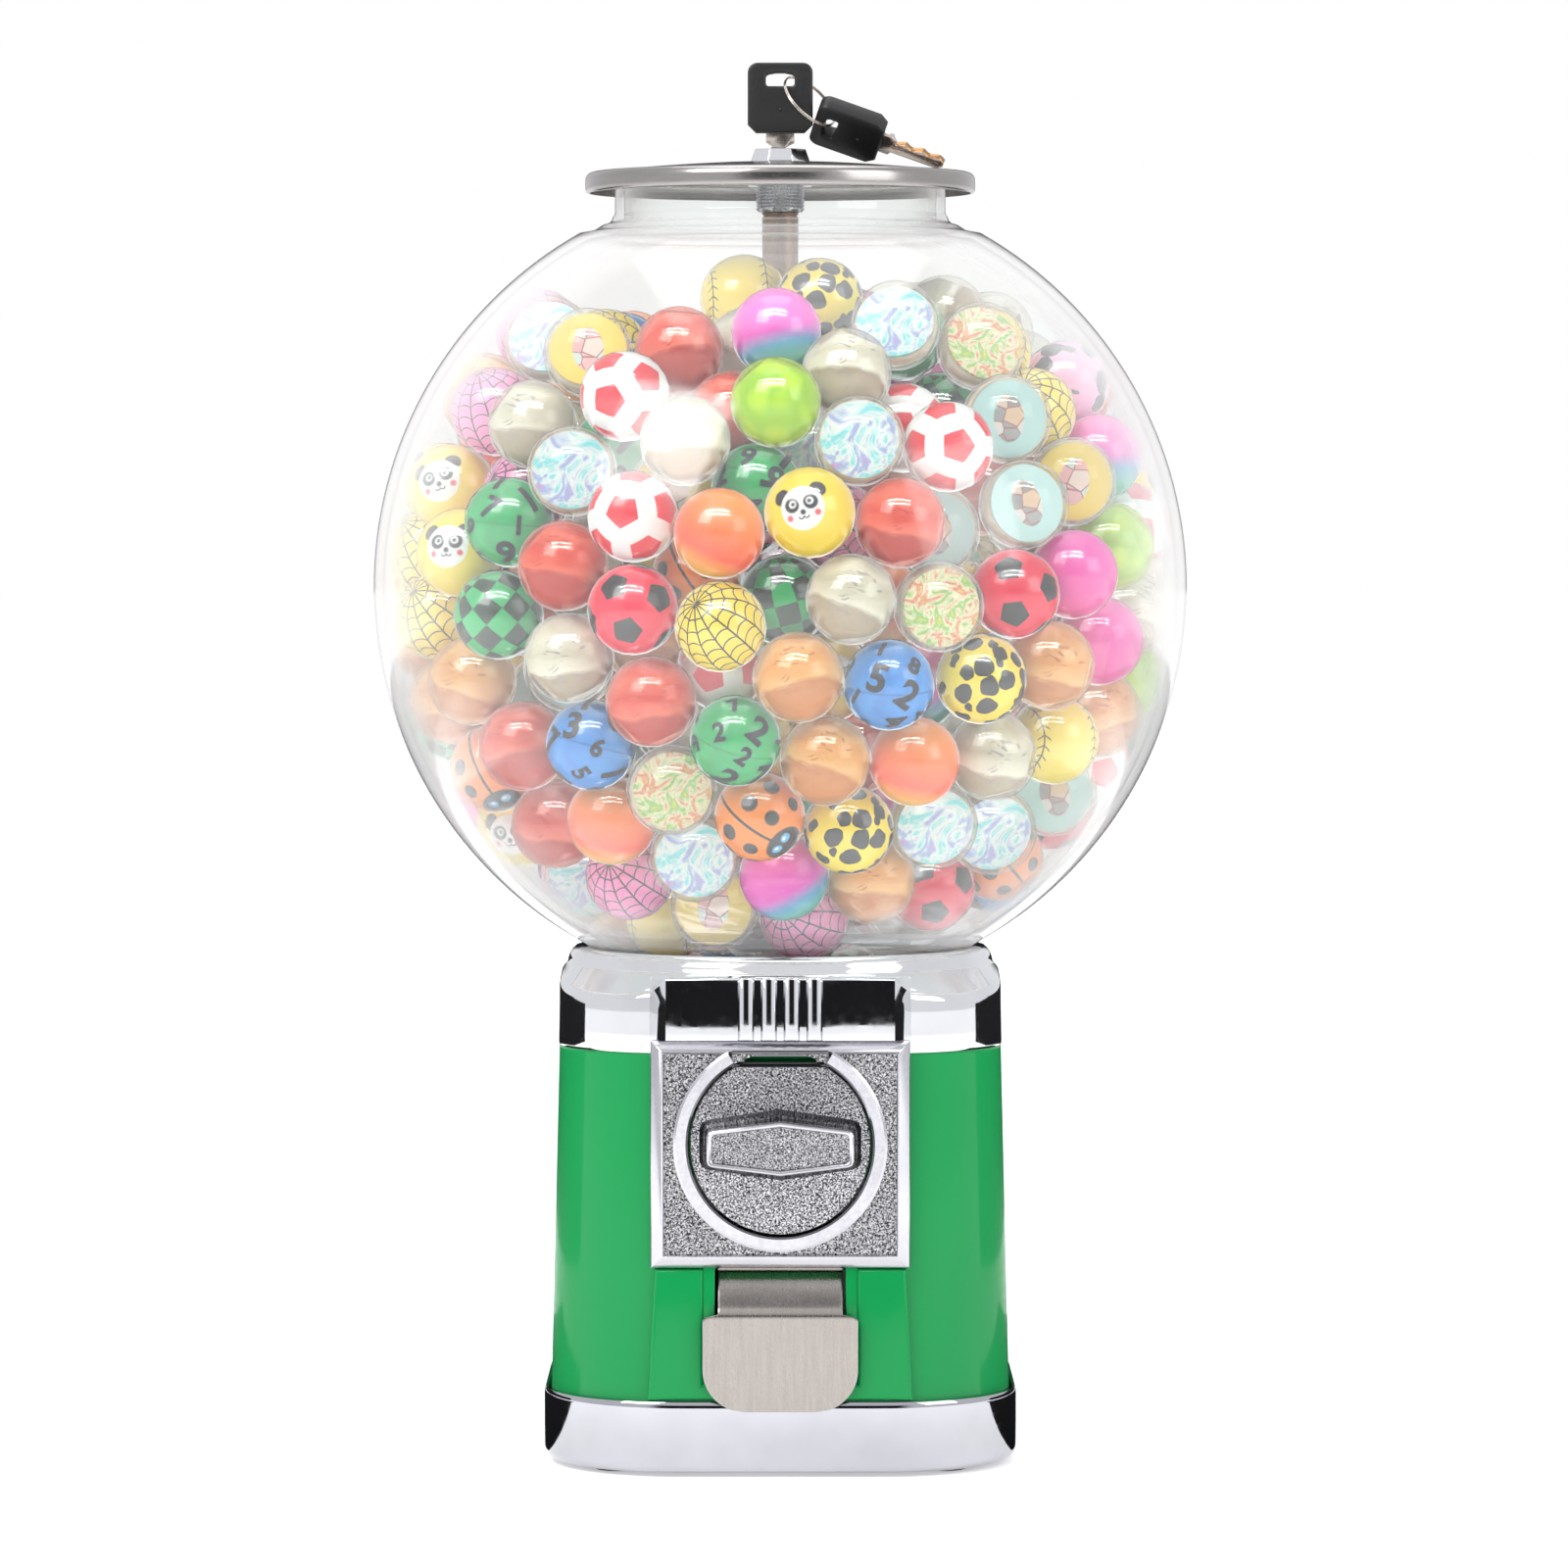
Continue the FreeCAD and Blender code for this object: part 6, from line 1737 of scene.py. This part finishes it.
@dataclass
class Balls:
    """The bouncy balls, rebuilt where each CAD ball stands."""

    palette: Palette
    nodes: dict
    radius: float = 16.0
    centre: Vector = field(default_factory=lambda: Vector((0.0, 0.0, 314.0)))
    paint: BallPaint = field(default_factory=BallPaint)
    made: list = field(default_factory=list)
    mixes: dict = field(default_factory=lambda: {
        "balls_white": ("ball_white", (Pattern.FOOTBALL,)),
        "balls_green": ("ball_green", (Pattern.MARKS_GREEN, Pattern.CHECK)),
        "balls_blue": ("ball_blue", (Pattern.MARKS_BLUE,)),
        "balls_yellow": (
            "ball_yellow", (Pattern.PANDA, Pattern.SPOT_YELLOW, Pattern.NET_YELLOW, Pattern.STITCH)),
        "balls_pink": ("ball_pink", (Pattern.PLAIN_PINK, Pattern.SPOT_PINK, Pattern.NET_PINK)),
        "balls_red": ("ball_red", (Pattern.PATCH_RED,)),
        "balls_orange": ("ball_orange", (Pattern.ORANGE, Pattern.LADYBIRD)),
        "balls_lime": ("ball_lime", (Pattern.LIME,)),
        "balls_twotone": ("ball_magenta", (Pattern.TWOTONE,)),
        "balls_amber": ("ball_amber", (Pattern.AMBER, Pattern.RED_CLEAR)),
        "balls_clear": ("ball_clear", (Pattern.CLEAR,)),
        "balls_in_wheel": (
            "ball_yellow", (Pattern.ORANGE, Pattern.FOOTBALL, Pattern.MARKS_BLUE, Pattern.PLAIN_PINK)),
    })
    featured: tuple = (
        (Pattern.PANDA, -109, 332), (Pattern.PANDA, -1, 340), (Pattern.PANDA, -118, 378),
        (Pattern.NET_YELLOW, -17, 313), (Pattern.NET_YELLOW, -126, 304),
        (Pattern.SPOT_YELLOW, 66, 296), (Pattern.SPOT_YELLOW, -45, 292), (Pattern.STITCH, 99, 263),
        (Pattern.MARKS_GREEN, -98, 351), (Pattern.MARKS_GREEN, 9, 360), (Pattern.MARKS_GREEN, -108, 397),
        (Pattern.CHECK, -98, 303), (Pattern.CHECK, 10, 311),
        (Pattern.NET_PINK, 22, 332), (Pattern.NET_PINK, -88, 322), (Pattern.NET_PINK, -100, 372),
        (Pattern.PLAIN_PINK, 121, 289), (Pattern.SPOT_PINK, -12, 395), (Pattern.SPOT_PINK, 107, 383),
        (Pattern.LADYBIRD, -3, 246), (Pattern.LADYBIRD, -108, 241),
        (Pattern.ORANGE, -68, 236), (Pattern.ORANGE, 40, 244),
        (Pattern.AMBER, -107, 275), (Pattern.AMBER, 1, 283), (Pattern.AMBER, 88, 281),
        (Pattern.RED_CLEAR, -33, 286), (Pattern.RED_CLEAR, -70, 318), (Pattern.RED_CLEAR, 42, 324),
    )

    def _keep(self, piece: bpy.types.Object, shiny: bool = True) -> None:
        """Note a finished piece; the chrome below mirrors the plain room instead of it.

        Args:
            piece: the new piece.
            shiny: whether the strip lights fall on it.
        """
        piece.visible_glossy = False
        if shiny:
            self.made.append(piece)

    def _centres(self, node: str) -> list[Vector]:
        """The centres of a node's balls in millimetres."""
        bm = bmesh.new()
        bm.from_mesh(self.nodes[node].data)
        bmesh.ops.remove_doubles(bm, verts=list(bm.verts), dist=2e-6)
        seen: set = set()
        out = []
        for start in bm.verts:
            if start in seen:
                continue
            seen.add(start)
            stack = [start]
            low = start.co.copy()
            high = start.co.copy()
            while stack:
                v = stack.pop()
                for axis in range(3):
                    low[axis] = min(low[axis], v.co[axis])
                    high[axis] = max(high[axis], v.co[axis])
                for e in v.link_edges:
                    other = e.other_vert(v)
                    if other not in seen:
                        seen.add(other)
                        stack.append(other)
            if (high - low).length > self.radius * MM:
                out.append((low + high) / 2 / MM)
        bm.free()
        return out

    def _pose(self, centre: Vector, rnd: random.Random) -> Matrix:
        """A ball's own turn: its pole looks outwards, its Y mostly up."""
        out = centre - self.centre
        if out.length < 1.0:
            out = Vector((0, -1, 0))
        look = out.normalized()
        if centre.y < -10.0:
            look = (look * 0.55 + Vector((0, -1, 0.06)) * 1.2).normalized()
        look = (look + Vector((rnd.uniform(-0.2, 0.2), 0.0, rnd.uniform(-0.2, 0.2)))).normalized()
        up = (Vector((rnd.uniform(-0.35, 0.35), 0, 1)) - look * look.z).normalized()
        side = up.cross(look).normalized()
        up = look.cross(side).normalized()
        return Matrix((side, up, look)).transposed()

    def _is_outer(self, centre: Vector) -> bool:
        """True for a ball that can be seen through the wall or from above."""
        return (centre - self.centre).length > 92.0 or centre.z > 385.0

    def _add_ball(self, bm: bmesh.types.BMesh, layer, centre: Vector, turn: Matrix, fine: bool, index: int,
                  radius: float) -> None:
        """Add one sphere with its local coordinates."""
        if fine:
            made = bmesh.ops.create_uvsphere(bm, u_segments=24, v_segments=14, radius=1.0)["verts"]
        else:
            made = bmesh.ops.create_icosphere(bm, subdivisions=1, radius=1.0)["verts"]
        for v in made:
            v[layer] = v.co.copy()
        move = turn.to_4x4()
        for v in made:
            v.co = (move @ v.co) * radius * MM + centre * MM
        for f in {f for v in made for f in v.link_faces}:
            f.material_index = index

    def _designs(self, node: str, centres: list[Vector]) -> list[Pattern]:
        """Which pattern each ball of a node carries."""
        patterns = self.mixes[node][1]
        out = [patterns[(i * 5 + 1) % len(patterns)] for i in range(len(centres))]
        free = {i for i, c in enumerate(centres) if c.y < 0}
        for pattern, x, z in self.featured:
            if pattern not in patterns or not free or len(patterns) == 1:
                continue
            best = min(free, key=lambda i: math.hypot(centres[i].x - x, centres[i].z - z)
                       + max(0, centres[i].y + 60))
            out[best] = pattern
            free.discard(best)
        return out

    def build(self) -> None:
        """Make every group of solid balls, then the ones with a disc inside."""
        skins = {
            Pattern.AMBER: self.palette.amber_skin, Pattern.RED_CLEAR: self.palette.red_skin,
            Pattern.CLEAR: self.palette.resin, Pattern.LIME: self.palette.lime_skin,
        }
        numerals = Numerals(self.radius * MM)
        ink = Moulding("printing_ink", (0.012, 0.018, 0.030), 0.35, 0.02, 900.0).make()
        for node, (slot, patterns) in self.mixes.items():
            rnd = random.Random(node)
            centres = self._centres(node)
            designs = self._designs(node, centres)
            order = list(patterns)
            resin = [p for p in order if p in skins]
            bm = bmesh.new()
            layer = bm.verts.layers.float_vector.new(LOCAL)
            core = bmesh.new()
            core_layer = core.verts.layers.float_vector.new(LOCAL)
            body = "wheel" if node == "balls_in_wheel" else "cabinet"
            for centre, design in zip(centres, designs):
                turn = self._pose(centre, rnd)
                fine = self._is_outer(centre)
                index = order.index(design)
                if fine and design in skins:
                    heart = resin.index(design)
                    self._add_ball(core, core_layer, centre, turn, False, heart, self.radius * 0.86)
                    index = len(order) + heart
                self._add_ball(bm, layer, centre, turn, fine, index, self.radius)
                if fine and design in (Pattern.MARKS_GREEN, Pattern.MARKS_BLUE) and centre.y < 60.0:
                    numerals.print_on(centre * MM, turn, rnd)
            materials = [self.paint.get(p) for p in order] + [skins[p] for p in resin]
            self._keep(finish_piece(bm, node + "_set", body, materials, [node], 180.0))
            if resin:
                bmesh.ops.subdivide_edges(
                    core, edges=list(core.edges), cuts=1, smooth=1.0, use_grid_fill=True)
                hearts = [self.paint.get(p) for p in resin]
                self._keep(finish_piece(core, node + "_hearts", body, hearts, (), 180.0))
            else:
                core.free()
            if len(numerals.bm.faces):
                self._keep(numerals.done(node + "_numerals", body, slot, ink))
        numerals.bm.free()
        self._disc_balls()

    def _disc_balls(self) -> None:
        """Clear balls with a printed disc and a pearl half inside."""
        prints = {
            "balls_disc_sky": PictureDisc("print_sky", (0.6, 0.8, 0.9), (
                (0.62, 0.30, 0.72), (0.30, 0.45, 0.85), (0.82, 0.90, 0.95), (0.12, 0.72, 0.84),
                (0.80, 0.84, 0.95)), 1.3),
            "balls_disc_sun": PictureDisc("print_sun", (0.92, 0.70, 0.06), (
                (0.55, 0.85, 0.85), (0.90, 0.35, 0.40), (0.90, 0.80, 0.75), (0.35, 0.75, 0.65)), 1.7, True),
            "balls_disc_cyan": PictureDisc("print_cyan", (0.45, 0.75, 0.80), (
                (0.80, 0.80, 0.82), (0.20, 0.22, 0.26), (0.85, 0.60, 0.40), (0.55, 0.58, 0.62)), 1.9, True),
        }
        meadow = PictureDisc("print_meadow", (0.70, 0.72, 0.08), (
            (0.70, 0.72, 0.10), (0.25, 0.55, 0.12), (0.86, 0.84, 0.60), (0.75, 0.20, 0.12),
            (0.72, 0.74, 0.12)), 1.9)
        meadow = meadow.make()
        pearl = Moulding("pearl_half", (0.80, 0.74, 0.64), 0.25, 0.02, 300.0).make()
        for node, disc in prints.items():
            rnd = random.Random(node)
            centres = self._centres(node)
            skin = bmesh.new()
            skin_layer = skin.verts.layers.float_vector.new(LOCAL)
            core = bmesh.new()
            core_layer = core.verts.layers.float_vector.new(LOCAL)
            for place, centre in enumerate(centres):
                turn = self._pose(centre, rnd)
                fine = self._is_outer(centre)
                self._add_ball(skin, skin_layer, centre, turn, fine, 0, self.radius)
                other = node == "balls_disc_sun" and place % 2 == 1
                self._add_disc(core, core_layer, centre, turn, 2 if other else 0)
            outside, inside = [self.palette.resin], [disc.make(), pearl, meadow]
            self._keep(finish_piece(skin, node + "_skin", "cabinet", outside, [node], 180.0))
            self._keep(finish_piece(core, node + "_core", "cabinet", inside, (), 40.0), False)

    def _add_disc(self, bm: bmesh.types.BMesh, layer, centre: Vector, turn: Matrix, index: int) -> None:
        """Add the disc that faces the pole and the half ball behind it."""
        before = set(bm.verts)
        bmesh.ops.create_cone(bm, cap_ends=True, segments=32, radius1=0.86, radius2=0.86, depth=0.05,
                              matrix=Matrix.Translation((0, 0, 0.18)))
        disc = [v for v in bm.verts if v not in before]
        for f in {f for v in disc for f in v.link_faces}:
            f.material_index = index
        before = set(bm.verts)
        bmesh.ops.create_uvsphere(bm, u_segments=20, v_segments=10, radius=0.93)
        half = [v for v in bm.verts if v not in before]
        for f in {f for v in half for f in v.link_faces}:
            f.material_index = 1
        for v in half:
            if v.co.z > 0.10:
                v.co.z = 0.10
                if v.co.xy.length > 1e-4:
                    v.co.xy = v.co.xy * 0.999
        for v in disc + half:
            v[layer] = v.co.copy()
            v.co = (turn @ v.co) * self.radius * MM + centre * MM


@dataclass
class KeptNodes:
    """The CAD nodes that stay on show, each with its finish."""

    palette: Palette
    nodes: dict

    def build(self) -> None:
        """Give every kept node its material."""
        p = self.palette
        finishes = {
            "rubber_feet": p.rubber, "wheel_pan": p.cast, "pan_screws": p.zinc, "vend_wheel": p.white,
            "dial_gear": p.cast, "idler_gear": p.cast, "idler_pin": p.zinc, "coin_gauge": p.dark,
            "mech_bracket": p.cast, "mech_screws": p.zinc, "dial_shaft": p.zinc, "shaft_nut": p.zinc,
            "coin_carrier": p.zinc, "ratchet_pawl": p.zinc, "pawl_pin": p.zinc, "coin_trough": p.zinc,
            "cash_box": p.black, "ball_chute": p.white, "door_pin": p.zinc, "centre_rod": p.zinc,
            "rod_nut": p.zinc, "rod_washer": p.zinc, "rod_sleeve": p.tube, "pocket_guard": p.zinc,
            "globe_gasket": p.gasket, "lid_gasket": p.gasket, "lock_nut": p.zinc, "lock_plug": p.dark,
        }
        for name, material in finishes.items():
            node = self.nodes[name]
            node.data.materials.clear()
            node.data.materials.append(material)


class Studio:
    """Floor, lights, world and camera."""

    def build(self, shiny: Sequence[bpy.types.Object]) -> None:
        """Set the stage.

        Args:
            shiny: the pieces the strip lights fall on.
        """
        self._floor()
        self._world()
        self._cards()
        self._lights(shiny)
        self._camera()

    @staticmethod
    def _floor() -> None:
        """A wide pale floor."""
        bm = bmesh.new()
        bmesh.ops.create_grid(bm, x_segments=2, y_segments=2, size=20.0)
        mesh = bpy.data.meshes.new("floor")
        bm.to_mesh(mesh)
        bm.free()
        s = Sheet("pale_floor")
        cloud = s.noise(s.place(), 1.5, 2.0)
        paper = s.blend(s.span(cloud, 0.3, 0.7), (0.93, 0.93, 0.93), (0.92, 0.92, 0.92))
        s.dress(Base_Color=paper, Roughness=0.7,
                Specular_IOR_Level=0.0, Emission_Color=(1.0, 1.0, 1.0), Emission_Strength=0.34)
        mesh.materials.append(s.material)
        floor = bpy.data.objects.new("floor", mesh)
        bpy.context.scene.collection.objects.link(floor)

    @staticmethod
    def _world() -> None:
        """A white room with a darker end behind the camera, for the chrome to mirror."""
        world = bpy.data.worlds.new("white_room")
        bpy.context.scene.world = world
        world.use_nodes = True
        tree = world.node_tree
        tree.nodes.clear()
        out = tree.nodes.new("ShaderNodeOutputWorld")
        room = tree.nodes.new("ShaderNodeBackground")
        plain = tree.nodes.new("ShaderNodeBackground")
        plain.inputs["Color"].default_value = (1.0, 1.0, 1.0, 1.0)
        plain.inputs["Strength"].default_value = 1.0
        coordinates = tree.nodes.new("ShaderNodeTexCoord")
        split = tree.nodes.new("ShaderNodeSeparateXYZ")
        tree.links.new(coordinates.outputs["Generated"], split.inputs[0])
        x, y, z = split.outputs

        def band(value, a: float, b: float, c: float, d: float):
            """1 between b and c, 0 below a and above d."""
            up = tree.nodes.new("ShaderNodeMapRange")
            down = tree.nodes.new("ShaderNodeMapRange")
            both = tree.nodes.new("ShaderNodeMath")
            both.operation = "MULTIPLY"
            for node, low, high, start, stop in ((up, a, b, 0.0, 1.0), (down, c, d, 1.0, 0.0)):
                node.interpolation_type = "SMOOTHSTEP"
                node.inputs["From Min"].default_value = low
                node.inputs["From Max"].default_value = high
                node.inputs["To Min"].default_value = start
                node.inputs["To Max"].default_value = stop
                tree.links.new(value, node.inputs["Value"])
                tree.links.new(node.outputs[0], both.inputs[0 if node is up else 1])
            return both.outputs[0]

        def number(operation: str, a, b=None):
            """A Math node on sockets."""
            node = tree.nodes.new("ShaderNodeMath")
            node.operation = operation
            tree.links.new(a, node.inputs[0])
            if b is not None:
                tree.links.new(b, node.inputs[1])
            return node.outputs[0]

        bearing = number("ARCTAN2", number("ABSOLUTE", x), y)
        behind = number("MULTIPLY", band(bearing, 2.60, 2.86, 4.0, 5.0), band(z, -0.122, -0.108, 0.22, 0.34))
        flags = number("MULTIPLY", band(bearing, -2.0, -1.0, 0.10, 0.26), band(z, -0.5, -0.4, 0.30, 0.45))
        dark = number("MAXIMUM", behind, flags)
        ramp = tree.nodes.new("ShaderNodeValToRGB")
        ramp.color_ramp.elements[0].color = (0.93, 0.93, 0.96, 1.0)
        ramp.color_ramp.elements[1].color = (0.015, 0.015, 0.017, 1.0)
        tree.links.new(dark, ramp.inputs[0])
        tree.links.new(ramp.outputs[0], room.inputs["Color"])
        room.inputs["Strength"].default_value = 0.9
        path = tree.nodes.new("ShaderNodeLightPath")
        mix = tree.nodes.new("ShaderNodeMixShader")
        tree.links.new(path.outputs["Is Camera Ray"], mix.inputs[0])
        tree.links.new(room.outputs[0], mix.inputs[1])
        tree.links.new(plain.outputs[0], mix.inputs[2])
        tree.links.new(mix.outputs[0], out.inputs[0])

    @staticmethod
    def _cards() -> None:
        """Two low black cards beside the base that only its bright walls mirror."""
        s = Sheet("black_card")
        s.dress(Base_Color=(0.012, 0.012, 0.013), Roughness=0.9, Specular_IOR_Level=0.0)
        for side in (-1, 1):
            mesh = bpy.data.meshes.new("flag_card")
            near, far = (side * 0.16, 0.95), (side * 1.05, 0.22)
            verts = [(x, y, z) for x, y in (near, far) for z in (0.004, 0.20)]
            lying = ((0.091, -0.03), (0.091, 0.42), (0.50, 0.42), (0.50, 0.02))
            verts += [(side * x, y, 0.0008) for x, y in lying]
            mesh.from_pydata(verts, [], [(0, 1, 3, 2), (4, 5, 6, 7)])
            mesh.materials.append(s.material)
            card = bpy.data.objects.new("flag_card", mesh)
            bpy.context.scene.collection.objects.link(card)
            card.visible_camera = card.visible_diffuse = False
            card.visible_shadow = card.visible_transmission = False

    @staticmethod
    def _lights(shiny: Sequence[bpy.types.Object]) -> None:
        """Soft boxes above the machine, and two strips that only the balls catch.

        Args:
            shiny: the pieces the strip lights fall on.
        """
        for name, place, size, power in (
            ("key_light", (-1.25, -1.45, 1.9), (1.3, 1.3), 36.0),
            ("fill_light", (1.7, -1.2, 1.1), (1.2, 1.2), 13.0),
            ("top_light", (0.0, 0.3, 2.2), (1.6, 1.6), 16.0),
            ("strip_high", (-0.1, -1.02, 2.10), (1.9, 0.10), 36.0),
            ("strip_low", (-0.1, -1.36, 1.86), (1.9, 0.10), 36.0),
        ):
            light = bpy.data.lights.new(name, "AREA")
            light.shape = "RECTANGLE"
            light.size, light.size_y = size
            light.energy = power
            lamp = bpy.data.objects.new(name, light)
            bpy.context.scene.collection.objects.link(lamp)
            lamp.location = place
            aim = Vector((0, 0, 0.25)) - Vector(place)
            lamp.rotation_euler = aim.to_track_quat("-Z", "Y").to_euler()
            if name.startswith("strip"):
                lamp.visible_diffuse = False
                group = bpy.data.collections.new(name + "_on")
                for piece in shiny:
                    group.objects.link(piece)
                lamp.light_linking.receiver_collection = group

    @staticmethod
    def _camera() -> None:
        """A long lens a little above the machine's middle."""
        data = bpy.data.cameras.new("camera")
        data.sensor_width = 36.0
        data.lens = 164.0
        data.clip_end = 50.0
        camera = bpy.data.objects.new("camera", data)
        bpy.context.scene.collection.objects.link(camera)
        camera.location = (0.0, -2.6, 0.35)
        camera.rotation_euler = (math.radians(90.0 - 2.37), 0.0, math.radians(-0.03))
        bpy.context.scene.camera = camera
        bpy.context.scene.view_settings.view_transform = "Standard"


def main() -> None:
    """Build the machine's pieces in order and the stage around them."""
    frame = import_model()
    nodes = frame["nodes"]
    palette = Palette()
    KeptNodes(palette, nodes).build()
    BaseTray(palette).build()
    Body(palette).build()
    Collar(palette).build()
    CoinMechanism(palette).build()
    ChuteDoor(palette).build()
    Globe(palette).build()
    LidAndLock(palette).build()
    Keys(palette).build()
    balls = Balls(palette, nodes)
    balls.build()
    Studio().build(balls.made)


if __name__ == "__main__":
    logging.basicConfig(level=logging.INFO, format="%(name)s %(message)s")
    main()
